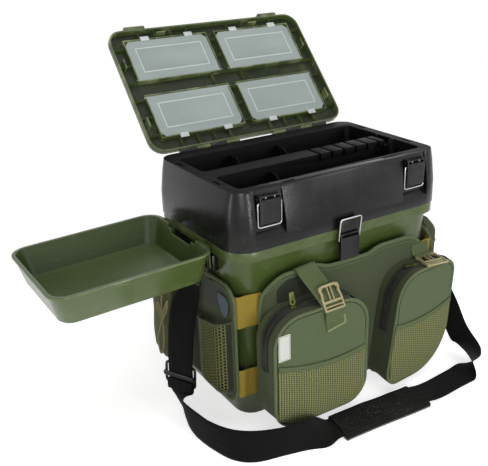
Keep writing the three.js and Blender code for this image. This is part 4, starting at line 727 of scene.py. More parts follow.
def linear(colour: str, share: float = 1.0) -> tuple[float, float, float, float]:
    """Colour of a hex code as Blender's linear values.

    Args:
        colour: six hex digits.
        share: brightness that the colour is multiplied by.

    Returns:
        Red, green, blue and 1.
    """
    channels = [int(colour[start:start + 2], 16) / 255 for start in (0, 2, 4)]
    values = [c / 12.92 if c <= 0.04045 else ((c + 0.055) / 1.055) ** 2.4 for c in channels]
    red, green, blue = [min(value * share, 1.0) for value in values]
    return (red, green, blue, 1.0)


DUST_COLOUR = linear("b9b6a8")
WHITE = (1.0, 1.0, 1.0, 1.0)


class Graph:
    """Writes the nodes of a material, a group or the world."""

    def __init__(self, tree: Tree) -> None:
        """Start on the tree that gets the nodes."""
        self.tree = tree

    def feed(self, node: Node, inputs: Inputs) -> Node:
        """Give a node its inputs.

        Args:
            node: the node.
            inputs: its inputs by name or number, as a value or a socket to link.

        Returns:
            The same node.
        """
        for name, value in inputs.items():
            if isinstance(value, Socket):
                self.tree.links.new(value, node.inputs[name])
            else:
                node.inputs[name].default_value = value
        return node

    def add(self, kind: str, inputs: Inputs | None = None, **settings: object) -> Node:
        """Add a node.

        Args:
            kind: the node's type.
            inputs: its inputs, as feed takes them.
            settings: the node's own settings.

        Returns:
            The new node.
        """
        node = self.tree.nodes.new(kind)
        for name, value in settings.items():
            setattr(node, name, value)
        return self.feed(node, inputs or {})

    def effect(self, tree: Tree, **inputs: object) -> Node:
        """Place a shared effect, with its inputs by name."""
        return self.add("ShaderNodeGroup", inputs, node_tree=tree)

    def place(self, kind: str = "Object") -> Socket:
        """Where a point lies on its piece or, for UV, on its cloth."""
        return self.add("ShaderNodeTexCoord").outputs[kind]

    def noise(self, place: Socket, scale: object, detail: float, distortion: float = 0.0) -> Socket:
        """Smooth noise at a place."""
        inputs = {"Vector": place, "Scale": scale, "Detail": detail, "Distortion": distortion}
        return self.add("ShaderNodeTexNoise", inputs).outputs[0]

    def math(self, operation: str, *values: object) -> Socket:
        """Result of a sum on numbers or sockets."""
        return self.add("ShaderNodeMath", dict(enumerate(values)), operation=operation).outputs[0]

    def times(self, first: object, second: object) -> Socket:
        """Product of two numbers or sockets."""
        return self.math("MULTIPLY", first, second)

    def parts(self, vector: Socket) -> Sequence[Socket]:
        """The three numbers of a vector."""
        return self.add("ShaderNodeSeparateXYZ", {0: vector}).outputs

    def ramp(self, value: object, low: float, high: float, start: float = 0.0, end: float = 1.0) -> Socket:
        """Stretch the range from low to high onto the one from start to end."""
        return self.add("ShaderNodeMapRange", {0: value, 1: low, 2: high, 3: start, 4: end}).outputs[0]

    def mix(self, share: object, first: object, second: object) -> Socket:
        """Mix two colours by the share of the second."""
        return self.add("ShaderNodeMix", {0: share, 6: first, 7: second}, data_type="RGBA").outputs[2]

    def bump(self, height: Socket, depth: float) -> Socket:
        """Surface direction of a relief, whose depth is in metres."""
        return self.add("ShaderNodeBump", {"Height": height, "Distance": depth, "Strength": 1.0}).outputs[0]

    def finish(self, **outputs: Socket) -> Tree:
        """End a group with the sockets that it gives out by name, and give its tree."""
        self.add("NodeGroupOutput", outputs)
        return self.tree


def group(
    name: str, outputs: Sequence[str], placed: bool = False, **inputs: float
) -> tuple[Graph, Sequence[Socket]]:
    """Start a node group.

    Args:
        name: the group's name.
        outputs: names of its float outputs.
        placed: whether its first input is a place.
        inputs: the values that its other inputs start with.

    Returns:
        The graph to write in, and the sockets of the group's inputs.
    """
    tree = bpy.data.node_groups.new(name, "ShaderNodeTree")
    if placed:
        tree.interface.new_socket("Place", in_out="INPUT", socket_type="NodeSocketVector")
    for label, value in inputs.items():
        socket = tree.interface.new_socket(label, in_out="INPUT", socket_type="NodeSocketFloat")
        socket.default_value = value
    for label in outputs:
        tree.interface.new_socket(label, in_out="OUTPUT", socket_type="NodeSocketFloat")
    graph = Graph(tree)
    return graph, graph.add("NodeGroupInput").outputs


def mould_grain() -> Tree:
    """Spark grain of a mould.

    Returns:
        The group, which puts out a height and a fine speckle.
    """
    coarse_share, pit_depth = 0.31, 0.6
    graph, (scale, _) = group("mould_grain", ["Height", "Speckle"], Scale=900.0)
    place = graph.place()
    fine = graph.noise(place, scale, 3.0)
    pits = graph.add("ShaderNodeTexVoronoi", {"Vector": place, "Scale": graph.times(scale, coarse_share)})
    height = graph.math("ADD", fine, graph.times(pits.outputs[0], pit_depth))
    return graph.finish(Height=height, Speckle=graph.ramp(fine, 0.35, 0.7))


def rubbed_edges() -> Tree:
    """Pale convex edges, partly wear from handling and partly a painted edge highlight, and short scuffs.

    Returns:
        The group, which puts out a mask for each.
    """
    graph, (amount, _) = group("rubbed_edges", ["Mask", "Scuffs"], Amount=0.5)
    place = graph.place()
    edge = graph.ramp(graph.add("ShaderNodeNewGeometry").outputs["Pointiness"], 0.515, 0.6)
    worn = graph.ramp(graph.noise(place, 38.0, 6.0), 0.42, 0.66)
    stretched = graph.add("ShaderNodeMapping", {"Vector": place, "Scale": (30.0, 300.0, 60.0)})
    streaks = graph.noise(stretched.outputs[0], 1.0, 5.0, 1.2)
    scuffs = graph.times(graph.ramp(streaks, 0.62, 0.74), amount)
    return graph.finish(Mask=graph.times(graph.times(edge, worn), amount), Scuffs=scuffs)


def tone_and_dust() -> Tree:
    """Slow change of tone over a piece, and dust that gathers on what faces up.

    Returns:
        The group, which puts out a value for each.
    """
    graph, (scale, _) = group("tone_and_dust", ["Tone", "Dust"], Scale=9.0)
    place = graph.place()
    tone = graph.ramp(graph.noise(place, scale, 4.0), 0.3, 0.7)
    normal = graph.add("ShaderNodeNewGeometry").outputs["True Normal"]
    up = graph.ramp(graph.parts(normal)[2], 0.3, 1.0)
    motes = graph.ramp(graph.noise(place, 420.0, 2.0), 0.5, 0.75)
    return graph.finish(Tone=tone, Dust=graph.times(up, graph.times(motes, tone)))


def plain_weave() -> Tree:
    """Plain weave of warp and weft.

    Returns:
        The group, which puts out the height and the shade between the threads.
    """
    slub_share = 0.6
    graph, (place, pitch, _) = group("plain_weave", ["Height", "Shade"], True, Pitch=0.0009)
    across, along, _ = graph.parts(place)
    turn = graph.math("DIVIDE", math.pi, pitch)
    warp = graph.math("SINE", graph.times(across, turn))
    weft = graph.math("SINE", graph.times(along, turn))
    over = graph.math("ABSOLUTE", graph.times(warp, weft))
    height = graph.math("ADD", over, graph.times(graph.noise(place, 350.0, 3.0), slub_share))
    return graph.finish(Height=height, Shade=graph.ramp(height, 0.25, 1.0))


def knitted_net() -> Tree:
    """Knitted netting with oval holes in staggered columns.

    Returns:
        The group, which puts out where its threads run and their height.
    """
    holes = dict(Column=0.0045, Row=0.0035, Hole=0.30)
    graph, (place, column, row, hole, _) = group("knitted_net", ["Thread", "Height"], True, **holes)
    across, up, _ = graph.parts(place)
    sideways, upward = graph.math("DIVIDE", across, graph.times(column, 2.0)), graph.math("DIVIDE", up, row)
    shares = ((sideways, 0.55), (upward, 1.0))
    reaches = []
    for shift in (0.0, 0.5):
        squares = []
        for value, oval in shares:
            share = graph.math("FRACT", graph.math("ADD", value, shift))
            arm = graph.math("DIVIDE", graph.math("SUBTRACT", share, 0.5), oval)
            squares.append(graph.times(arm, arm))
        reaches.append(graph.math("SQRT", graph.math("ADD", *squares)))
    reach = graph.math("MINIMUM", *reaches)
    thread = graph.math("GREATER_THAN", reach, hole)
    return graph.finish(Thread=thread, Height=graph.ramp(reach, 0.24, 0.55))


def webbing_ribs() -> Tree:
    """Herringbone ribs of webbing.

    Returns:
        The group, which puts out height and shade along the band.
    """
    lane_width = 0.006
    graph, (place, pitch, _) = group("webbing_ribs", ["Height", "Shade"], True, Pitch=0.0016)
    across, along, _ = graph.parts(place)
    slant = graph.math("ADD", along, graph.math("PINGPONG", across, lane_width))
    wave = graph.math("SINE", graph.times(slant, graph.math("DIVIDE", TURN, pitch)))
    height = graph.ramp(wave, -1.0, 1.0)
    return graph.finish(Height=height, Shade=graph.ramp(height, 0.0, 0.6))


GRAIN, WEAR_AND_GLINT, DRIFT = mould_grain(), rubbed_edges(), tone_and_dust()
WEAVE, NET, RIBS = plain_weave(), knitted_net(), webbing_ribs()


# Finishes


@dataclass(frozen=True)
class Finish:
    """What every finish has: a name, a colour and the slot it belongs to."""

    name: str
    colour: str
    slot: Slot
    roughness: float = 0.5

    def shade(self, share: float = 1.0) -> tuple[float, float, float, float]:
        """The finish's colour, brighter or darker."""
        return linear(self.colour, share)

    def paint(self, graph: Graph) -> Inputs:
        """Write the finish's nodes and give back what the shader gets. Each kind has its own."""
        raise NotImplementedError

    def material(self) -> bpy.types.Material:
        """The finish's material, built once.

        Returns:
            The material.
        """
        known = bpy.data.materials.get(self.name)
        if known:
            return known
        material = bpy.data.materials.new(self.name)
        material.use_nodes = True
        graph = Graph(material.node_tree)
        shader = material.node_tree.nodes["Principled BSDF"]
        graph.feed(shader, {"Roughness": self.roughness, **self.paint(graph)})
        return material

    def dress(self, piece: Piece) -> Piece:
        """Put the finish on a whole piece.

        Args:
            piece: the object.

        Returns:
            The same object.
        """
        piece.data.materials.clear()
        piece.data.materials.append(self.material())
        return piece

    def add_to(self, piece: Piece, chosen: Callable[[Face], bool]) -> Piece:
        """Put the finish on the faces that a test picks.

        Args:
            piece: the object, dressed already.
            chosen: says of a face whether it gets this finish.

        Returns:
            The same object.
        """
        index = len(piece.data.materials)
        piece.data.materials.append(self.material())
        for polygon in piece.data.polygons:
            if chosen(polygon):
                polygon.material_index = index
        return piece


@dataclass(frozen=True)
class Moulded(Finish):
    """Moulded plastic with spark grain, pale edges (partly wear, partly a painted highlight), scuffs and a
    little dust.
    """

    rubbed: str = "9a9c90"
    rub: float = 0.35
    dust: float = 0.10
    grain: float = 0.00004
    opacity: float = 1.0
    shine: float = 0.35

    def paint(self, graph: Graph) -> Inputs:
        """Write the plastic's nodes.

        Args:
            graph: the material's graph.

        Returns:
            The shader's inputs.
        """
        scuff_colour, scuff_matt, matt_spread = 0.3, 0.12, 0.05
        grain = graph.effect(GRAIN, Scale=1100.0).outputs
        rub = graph.effect(WEAR_AND_GLINT, Amount=self.rub).outputs
        drift = graph.effect(DRIFT, Scale=7.0).outputs
        worn = linear(self.rubbed)
        body = graph.mix(drift["Tone"], self.shade(0.93), self.shade(1.06))
        body = graph.mix(graph.times(drift["Dust"], self.dust), body, DUST_COLOUR)
        body = graph.mix(graph.times(rub["Scuffs"], scuff_colour), body, worn)
        smoothest, roughest = self.roughness - matt_spread, self.roughness + matt_spread
        matt = graph.ramp(grain["Speckle"], 0.0, 1.0, smoothest, roughest)
        return {
            # Pale edges: partly wear, partly a painted edge highlight.
            "Base Color": graph.mix(rub["Mask"], body, worn),
            "Roughness": graph.math("ADD", matt, graph.times(rub["Scuffs"], scuff_matt)),
            "Alpha": self.opacity,
            "Specular IOR Level": self.shine,
            "Normal": graph.bump(grain["Height"], self.grain),
        }


@dataclass(frozen=True)
class Woven(Finish):
    """Plain woven cloth with thread relief, soft sheen and slow tone changes."""

    pitch: float = 0.0010
    depth: float = 0.00016
    dark: float = 0.72
    sheen: float = 0.12
    shine: float = 0.15

    def paint(self, graph: Graph) -> Inputs:
        """Write the cloth's nodes.

        Args:
            graph: the material's graph.

        Returns:
            The shader's inputs.
        """
        weave = graph.effect(WEAVE, Place=graph.place("UV"), Pitch=self.pitch).outputs
        drift = graph.effect(DRIFT, Scale=16.0).outputs
        thread = graph.mix(weave["Shade"], self.shade(self.dark), self.shade(1.08))
        body = graph.mix(graph.times(drift["Tone"], 0.25), thread, self.shade(0.8))
        return {
            "Base Color": graph.mix(graph.times(drift["Dust"], 0.15), body, DUST_COLOUR),
            "Sheen Weight": self.sheen,
            "Sheen Roughness": 0.5,
            "Specular IOR Level": self.shine,
            "Normal": graph.bump(weave["Height"], self.depth),
        }


@dataclass(frozen=True)
class Netted(Finish):
    """Knitted netting that lets what lies behind it show through its holes."""

    column: float = 0.0045
    row: float = 0.0035
    hole: float = 0.30
    depth: float = 0.0006
    shine: float = 0.15

    def paint(self, graph: Graph) -> Inputs:
        """Write the netting's nodes.

        Args:
            graph: the material's graph.

        Returns:
            The shader's inputs.
        """
        place = graph.place("UV")
        net = graph.effect(NET, Place=place, Column=self.column, Row=self.row, Hole=self.hole).outputs
        drift = graph.effect(DRIFT, Scale=14.0).outputs
        # Threads darken towards the holes by their height: painted shade round each hole.
        thread = graph.mix(net["Height"], self.shade(0.45), self.shade(1.15))
        return {
            "Base Color": graph.mix(graph.times(drift["Tone"], 0.2), thread, self.shade(0.75)),
            "Alpha": net["Thread"],
            "Specular IOR Level": self.shine,
            "Normal": graph.bump(net["Height"], self.depth),
        }


@dataclass(frozen=True)
class Webbing(Finish):
    """Woven webbing with herringbone ribs along its length."""

    pitch: float = 0.0016
    depth: float = 0.0002
    sheen: float = 0.08
    shine: float = 0.15

    def paint(self, graph: Graph) -> Inputs:
        """Write the webbing's nodes.

        Args:
            graph: the material's graph.

        Returns:
            The shader's inputs.
        """
        place = graph.place("UV")
        ribs = graph.effect(RIBS, Place=place, Pitch=self.pitch).outputs
        weave = graph.effect(WEAVE, Place=place, Pitch=self.pitch / 2).outputs
        drift = graph.effect(DRIFT, Scale=20.0).outputs
        thread = graph.mix(ribs["Shade"], self.shade(0.6), self.shade(1.1))
        body = graph.mix(graph.times(drift["Tone"], 0.3), thread, self.shade(0.8))
        height = graph.math("ADD", ribs["Height"], graph.times(weave["Height"], 0.4))
        return {
            "Base Color": graph.mix(graph.times(drift["Dust"], 0.05), body, DUST_COLOUR),
            "Sheen Weight": self.sheen,
            "Specular IOR Level": self.shine,
            "Normal": graph.bump(height, self.depth),
        }


@dataclass(frozen=True)
class Metal(Finish):
    """Drawn or cast metal with fine scratches and duller patches."""

    tarnish: str = "6b6558"
    patches: float = 0.25
    rub: float = 0.5
    grain: float = 0.00001

    def paint(self, graph: Graph) -> Inputs:
        """Write the metal's nodes.

        Args:
            graph: the material's graph.

        Returns:
            The shader's inputs.
        """
        grain = graph.effect(GRAIN, Scale=1500.0).outputs
        drift = graph.effect(DRIFT, Scale=60.0).outputs
        rub = graph.effect(WEAR_AND_GLINT, Amount=self.rub).outputs
        share = graph.times(drift["Tone"], self.patches)
        return {
            "Base Color": graph.mix(share, self.shade(), linear(self.tarnish)),
            "Roughness": graph.math("ADD", graph.times(rub["Scuffs"], 0.25), self.roughness),
            "Metallic": 1.0,
            "Normal": graph.bump(grain["Height"], self.grain),
        }


TUB_GREEN = Moulded("tub_green", "414f24", Slot.GREEN, 0.28, rubbed="8a9468", shine=0.38)
# Lid: its strong pale edges are partly wear and partly a painted highlight along the rim.
LID_GREEN = Moulded("lid_green", "44512a", Slot.GREEN, 0.36, rubbed="929c70", rub=0.7)
# Painted shade: a darker, duller green for the lid's floor between its ribs.
LID_RECESS_SHADE = Moulded("lid_recess", "1c2411", Slot.GREEN, 0.45, rubbed="59643f", shine=0.2)
BOX_BLACK = Moulded(
    "box_black", "0b0b0b", Slot.BLACK, 0.27, rubbed="5d5e58", rub=0.22, dust=0.02, shine=0.27
)
# Painted shade: near-black, duller copy of the box's black for the deep bays and their dividers.
BAY_SHADE_BLACK = Moulded(
    "bay_black", "030303", Slot.BLACK, 0.5, rubbed="30312e", rub=0.2, dust=0.02, shine=0.08
)
LATCH_BLACK = Moulded(
    "latch_black", "0c0c0c", Slot.BLACK, 0.34, rubbed="6c6c64", rub=0.4, dust=0.02, shine=0.25
)
# Painted shade: darker copy of the tray green for the insides of its walls.
TRAY_INSIDE_SHADE = Moulded("tray_inside", "37451f", Slot.TRAY, 0.30, rubbed="98a477", dust=0.02, shine=0.3)
TRAY_GREEN = Moulded("tray_green", "4a5a2c", Slot.TRAY, 0.25, rubbed="a9b58c", dust=0.03, shine=0.5)
FROSTED = Moulded("frosted_lids", "a2aeab", Slot.FROSTED, 0.34, rubbed="d9e0de", rub=0.4, opacity=0.84)
FROSTED_TRIM = Moulded("frosted_trim", "c6cfcc", Slot.FROSTED, 0.34, rubbed="eef1f0", opacity=0.94)
BUCKLE = Moulded("buckle_tan", "968d66", Slot.BUCKLE, 0.42, rubbed="c3bd99", rub=0.4)
CLOTH = Woven("carrier_cloth", "566244", Slot.FABRIC, 0.88)
# Painted shade: darker copy of the carrier cloth for faces turned away from the front.
CLOTH_SHADED = Woven("gusset_cloth", "42492f", Slot.FABRIC, 0.9)
# Painted deep shade: near-black cloth copy for the patch behind the left pocket's top and the bottle
# pocket's front.
CLOTH_DEEP_SHADE = Woven("gusset_dark", "262a20", Slot.FABRIC, 0.9)
PANEL_CLOTH = Woven("panel_cloth", "454e37", Slot.FABRIC, 0.9)
# Painted shade: darker cloth copy for faces behind netting and inside the bottle pocket.
NET_SHADE_CLOTH = Woven("net_backing", "3d4228", Slot.FABRIC, 0.9)
LINING = Woven("dark_lining", "33382f", Slot.FABRIC, 0.9)
LINING_GREY = Woven("grey_lining", "4b575e", Slot.FABRIC, 0.9)
PIPING = Woven("piping_cloth", "5f6b4a", Slot.FABRIC, 0.85, pitch=0.0008)
# Painted shadow: near-black line standing for the shade in the seam beside the piping.
SEAM_SHADOW = Woven("seam_groove", "20251a", Slot.FABRIC, 0.95, pitch=0.0008)
BINDING = Webbing("binding_tape", "5b6746", Slot.FABRIC, 0.85, pitch=0.0012)
LOOP_EDGE = Webbing("loop_edge", "8a9868", Slot.FABRIC, 0.9, pitch=0.0010)
POUCH_CLOTH = Woven("pouch_cloth", "5c5e43", Slot.FABRIC, 0.88)
POUCH_CORD = Webbing("pouch_cord", "86805a", Slot.FABRIC, 0.85, pitch=0.0012)
LABEL = Woven("bare_label", "dcddd6", Slot.FABRIC, 0.8, pitch=0.0006)
THREAD = Woven("thread", "86906b", Slot.FABRIC, 0.8, pitch=0.0004)
NETTING = Netted("pouch_netting", "83865a", Slot.MESH, 0.85, hole=0.27)
DARK_NETTING = Netted("bottle_netting", "64663f", Slot.MESH, 0.85, column=0.0060, row=0.0052, hole=0.36)
OLIVE_TAPE = Webbing("olive_webbing", "556240", Slot.FABRIC, 0.85)
ELASTIC = Webbing("gold_elastic", "95802f", Slot.ELASTIC, 0.8, pitch=0.0022, depth=0.0003)
STRAP = Webbing("black_webbing", "101010", Slot.WEBBING, 0.8, sheen=0.02, shine=0.08)
PAD_CLOTH = Woven("pad_cloth", "171716", Slot.PAD, 0.85, sheen=0.02, shine=0.10)
PAD_FOAM = Woven("pad_foam", "6b6a66", Slot.PAD, 0.9, pitch=0.0007)
ZIP_BRONZE = Metal("zip_bronze", "575a31", Slot.BRASS, 0.45, tarnish="383b22")
STEEL = Metal("latch_steel", "b9bbbe", Slot.STEEL, 0.30)
RIVET = Metal("latch_rivet", "77797b", Slot.STEEL, 0.30)
THREAD_BLACK = Woven("black_thread", "2e2e2c", Slot.PAD, 0.8, pitch=0.0004, sheen=0.02)
ZIP_TAPE = Woven("zip_tape", "23261e", Slot.FABRIC, 0.9, pitch=0.0007)
ZIP_COIL = Moulded("zip_coil", "34342a", Slot.FABRIC, 0.5, shine=0.2)


# Studio


@dataclass(frozen=True)
class Studio:
    """Camera, floor and lights of the photograph's view."""

    azimuth: float = math.radians(31.37)
    fall: float = math.radians(22.31)
    roll: float = math.radians(-1.94)
    focal: float = 55.26
    spot: Triple = (-0.6982, -0.9670, 0.7376)
    floor_size: float = 40.0
    floor_colour: str = "f0f0ef"
    floor_glow: float = 0.66
    shadow_reach: float = 0.35
    white_reach: float = 1.0
    fill: float = 0.28

    def camera(self) -> None:
        """Set the camera at the photograph's place."""
        ahead = Vector((
            math.sin(self.azimuth) * math.cos(self.fall),
            math.cos(self.azimuth) * math.cos(self.fall),
            -math.sin(self.fall),
        ))
        right = Vector((math.cos(self.azimuth), -math.sin(self.azimuth), 0.0))
        above = right.cross(ahead)
        turned = right * math.cos(self.roll) + above * math.sin(self.roll)
        upright = above * math.cos(self.roll) - right * math.sin(self.roll)
        data = bpy.data.cameras.new("studio_camera")
        data.sensor_width = 36.0
        data.lens = self.focal
        data.clip_start = 0.05
        data.clip_end = 50.0
        camera = bpy.data.objects.new("studio_camera", data)
        bpy.context.scene.collection.objects.link(camera)
        matrix = Matrix((turned, upright, -ahead)).transposed().to_4x4()
        matrix.translation = Vector(self.spot)
        camera.matrix_world = matrix
        bpy.context.scene.camera = camera

    def floor(self) -> None:
        """Lay the pale floor, which keeps the shadow and fades to the white background."""
        bpy.ops.mesh.primitive_plane_add(size=self.floor_size, location=(0, 0, -0.0004))
        floor = settled(bpy.context.view_layer.objects.active)
        floor.name = "studio_floor"
        material = bpy.data.materials.new("studio_paper")
        material.use_nodes = True
        graph = Graph(material.node_tree)
        path = graph.add("ShaderNodeLightPath").outputs
        seen = graph.math("MAXIMUM", path["Is Camera Ray"], path["Is Glossy Ray"])
        seen = graph.math("MAXIMUM", seen, path["Is Transmission Ray"])
        shader = graph.feed(material.node_tree.nodes["Principled BSDF"], {
            "Base Color": linear(self.floor_colour),
            "Roughness": 0.9,
            "Specular IOR Level": 0.1,
            "Emission Color": WHITE,
            "Emission Strength": graph.times(seen, self.floor_glow),
        })
        reach = graph.add("ShaderNodeVectorMath", {0: graph.place()}, operation="LENGTH").outputs["Value"]
        far = graph.ramp(reach, self.shadow_reach, self.white_reach)
        white = graph.add("ShaderNodeEmission", {"Color": WHITE})
        inputs = {0: graph.times(seen, far), 1: shader.outputs[0], 2: white.outputs[0]}
        mixed = graph.add("ShaderNodeMixShader", inputs)
        graph.feed(material.node_tree.nodes["Material Output"], {"Surface": mixed.outputs[0]})
        floor.data.materials.append(material)

    def lamp(self, name: str, place: Triple, size: Pair, watts: float) -> None:
        """Hang a soft lamp that looks at the box.

        Args:
            name: the lamp's name.
            place: where it hangs.
            size: width and height of its soft window.
            watts: its power.
        """
        data = bpy.data.lights.new(name, "AREA")
        data.shape = "RECTANGLE"
        data.size, data.size_y = size
        data.energy = watts
        lamp = bpy.data.objects.new(name, data)
        bpy.context.scene.collection.objects.link(lamp)
        spot = Vector(place)
        turn = (Vector((0, 0, 0.28)) - spot).to_track_quat("-Z", "Y")
        lamp.matrix_world = Matrix.Translation(spot) @ turn.to_matrix().to_4x4()

    def world(self) -> None:
        """Fill the room with soft light, white where the camera sees it."""
        world = bpy.data.worlds.new("studio_room")
        world.use_nodes = True
        graph = Graph(world.node_tree)
        path = graph.add("ShaderNodeLightPath").outputs
        seen = graph.math("MAXIMUM", path["Is Camera Ray"], path["Is Transmission Ray"])
        seen = graph.math("MAXIMUM", seen, path["Is Glossy Ray"])
        strength = graph.ramp(seen, 0.0, 1.0, self.fill, 1.0)
        graph.feed(world.node_tree.nodes["Background"], {"Color": WHITE, "Strength": strength})
        bpy.context.scene.world = world

    def build(self) -> None:
        """Set up the whole studio."""
        bpy.context.scene.view_settings.view_transform = "Standard"
        self.camera()
        self.floor()
        self.world()
        self.lamp("key_lamp", (-1.6, -2.7, 0.9), (1.4, 1.2), 34.0)
        self.lamp("right_lamp", (1.7, -2.6, 0.9), (1.2, 1.0), 13.0)
        self.lamp("top_lamp", (0.2, -0.4, 3.0), (2.2, 2.2), 26.0)
        self.lamp("front_strip", (0.03, -1.55, 0.30), (0.08, 0.60), 6.0)
        self.lamp("left_strip", (-1.7, 0.05, 0.30), (0.10, 0.60), 3.2)
        LOG.info("studio: camera, floor and lamps")


# Hard pieces


def box_of(node: str) -> tuple[Vector, Vector]:
    """Lowest and highest corner of a node."""
    low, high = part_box(node)
    return Vector(low), Vector(high)


@dataclass(frozen=True)
class Shell:
    """One hard node of the frame: its finish and how its edges are rounded."""

    node: str
    finish: Finish
    rounding: float = 0.0007
    smoothing: float = SMOOTH_ANGLE
    clean_angle: float = math.radians(0.6)

    def build(self) -> Piece:
        """Copy the node, round its edges and dress it.

        Returns:
            The piece that stands for the node.
        """
        source = frame["nodes"][self.node]
        piece = bpy.data.objects.new(f"{self.node}_moulding", source.data.copy())
        bpy.context.scene.collection.objects.link(piece)
        activate(piece)
        bpy.ops.mesh.customdata_custom_splitnormals_clear()
        edit(
            piece,
            partial(bpy.ops.mesh.remove_doubles, threshold=MERGE),
            partial(bpy.ops.mesh.dissolve_limited, angle_limit=self.clean_angle),
        )
        if self.rounding:
            bevelled(piece, self.rounding, 2, math.radians(38))
        smooth(piece, self.smoothing)
        self.finish.dress(piece)
        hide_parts(self.node)
        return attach(piece, source["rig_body"])


@dataclass(frozen=True)
class HardParts:
    """Tub, tackle section, lid, latches, tray and the small metal parts."""

    latches: tuple[str, ...] = ("left", "right", "centre")
    wire_smoothing: float = math.radians(75)
    lid_open: float = math.radians(-132.3)
    recess_depth: float = 0.006
    trim_rise: float = 0.00012
    bay_half: Pair = (0.180, 0.106)
    bay_drop: float = 0.0012
    slider_length: float = 0.0125
    bridge_half: float = 0.0014
    pull_length: float = 0.021
    pull_width: float = 0.011
    pull_half_thickness: float = 0.0007
    pull_lean: float = math.radians(14)
    pull_dip: float = math.radians(-3)
    rivet_radius: float = 0.0017
    rivet_height: float = 0.0013

    def list_shells(self) -> list[Shell]:
        """Every plain hard node with its finish.

        Returns:
            One shell for each node.
        """
        wires = [f"{hinge}_hinge_rod_{side.word}" for hinge in ("tackle", "lid") for side in Side]
        wires += [f"{latch}_latch_bail" for latch in self.latches]
        black_wires = [f"{latch}_latch_pin" for latch in self.latches]
        black_wires += [f"{side.word}_strap_ring" for side in Side]
        dividers = ["front_partition", "rear_partition_left", "rear_partition_right"]
        latch_parts = [f"{latch}_latch_{part}" for latch in self.latches for part in ("base", "lever")]
        return [
            Shell("tub", TUB_GREEN, 0.0008),
            # The dividers in the bays take the painted bay shade.
            *[Shell(node, BAY_SHADE_BLACK, 0.0004) for node in dividers],
            *[Shell(node, LATCH_BLACK, 0.00035) for node in (*latch_parts, "centre_keeper")],
            Shell("tray_bracket", BOX_BLACK, 0.0006),
            *[Shell(node, STEEL, 0.0, self.wire_smoothing) for node in wires],
            *[Shell(node, LATCH_BLACK, 0.0, self.wire_smoothing) for node in black_wires],
        ]

    def pull_plate(self) -> Piece:
        """Flat pull of a zip, with an eye, lying along X from the origin.

        Returns:
            The new object.
        """
        long, half, end_round = self.pull_length, self.pull_width / 2, 0.0015
        shape = rounded_polygon([
            (0.0, -half, half * 0.8),
            (long, -half * 0.8, end_round),
            (long, half * 0.8, end_round),
            (0.0, half, half * 0.8),
        ], 8)
        outer = resampled([Vector((a, b, 0.0)) for a, b in shape], 48, True)
        eye = Vector((half * 0.95, 0.0, 0.0))
        hole = [eye + (point - eye).normalized() * half * 0.42 for point in outer]
        thin = UP * self.pull_half_thickness
        walls = ((outer, thin), (hole, thin), (hole, -thin), (outer, -thin))
        plate = skin("pull", [[point + lift for point in ring] for ring, lift in walls], along=True)
        return bevelled(outward(plate), 0.0003, 2, SOFT_ANGLE)

    def zip_slider(self, side: Side) -> None:
        """Zip slider with a bridge and a pull plate, which stands up on the left and lies on the right.

        Args:
            side: which pocket's zip.
        """
        node = f"{side.word}_zip_slider"
        low, high = box_of(node)
        start = high.x - self.slider_length
        middle_y = (low.y + high.y) / 2
        foot = block((start, low.y, low.z + 0.0002), (high.x, high.y, high.z - 0.0010), 0.0007)
        bridge = block(
            (start + 0.0015, middle_y - self.bridge_half, high.z - 0.0014),
            (high.x - 0.0025, middle_y + self.bridge_half, high.z),
            0.0005,
        )
        if side is Side.LEFT:
            standing = Matrix(((0, 1, 0, 0), (0, 0, 1, 0), (1, 0, 0, 0), (0, 0, 0, 1)))
            turned = Matrix.Rotation(-self.pull_lean, 4, "X") @ standing
            spot = Vector((start + 0.006, middle_y - 0.001, high.z - 0.0004))
        else:
            turned = Matrix.Rotation(math.pi, 4, "Z") @ Matrix.Rotation(self.pull_dip, 4, "Y")
            spot = Vector((start + 0.002, middle_y, high.z + 0.0002))
        plate = reshaped(self.pull_plate(), Matrix.Translation(spot) @ turned)
        piece = joined(f"{node}_moulding", [foot, bridge, plate])
        covered(piece, ZIP_BRONZE, node, body=Body[f"{side.name}_ZIP"], angle=HARD_ANGLE)

    def tray(self) -> None:
        """Side tray, with the insides of its walls in a deeper green than its outside and floor, as painted
        shade.
        """
        piece = Shell("side_tray", TRAY_GREEN, 0.0009).build()
        low, high = box_of("side_tray")
        middle = (low + high) / 2
        rim = high.z - 0.003

        def inward(face: Face) -> bool:
            """Whether a face is on the inside of a wall.

            Args:
                face: the face.

            Returns:
                True below the rim, where it faces the tray's middle.
            """
            level = Vector((face.normal.x, face.normal.y, 0.0))
            arm = middle - face.center
            faces_in = level.dot(Vector((arm.x, arm.y, 0.0))) > 0.0
            return level.length > 0.8 and faces_in and face.center.z < rim

        # The inner faces of the walls take the darker green as painted shade.
        TRAY_INSIDE_SHADE.add_to(piece, inward)

    def tackle(self) -> None:
        """Black tackle section, its bays darker than its outside: painted shade in the deep bays."""
        piece = Shell("tackle_section", BOX_BLACK, 0.0007).build()
        top = max(corner[2] for corner in piece.bound_box) - self.bay_drop
        long, deep = self.bay_half

        def in_bay(face: Face) -> bool:
            """Whether a face lies in a bay."""
            spot = face.center
            return abs(spot.x) < long and abs(spot.y) < deep and spot.z < top

        # Faces in the bays take the near-black copy as painted shade.
        BAY_SHADE_BLACK.add_to(piece, in_bay)

    def lid(self) -> None:
        """Green lid, with the floor between its ribs darker than its ribs and rim: painted shade in the
        recesses.
        """
        piece = Shell("lid", LID_GREEN, 0.0004).build()
        under = self.underside()
        sunk = max(vertex.co.dot(under) for vertex in piece.data.vertices) - self.recess_depth

        def recessed(face: Face) -> bool:
            """Whether a face is on the floor between the ribs."""
            return face.normal.dot(under) > 0.95 and face.center.dot(under) < sunk

        # The floor between the ribs takes the darker green as painted shade.
        LID_RECESS_SHADE.add_to(piece, recessed)

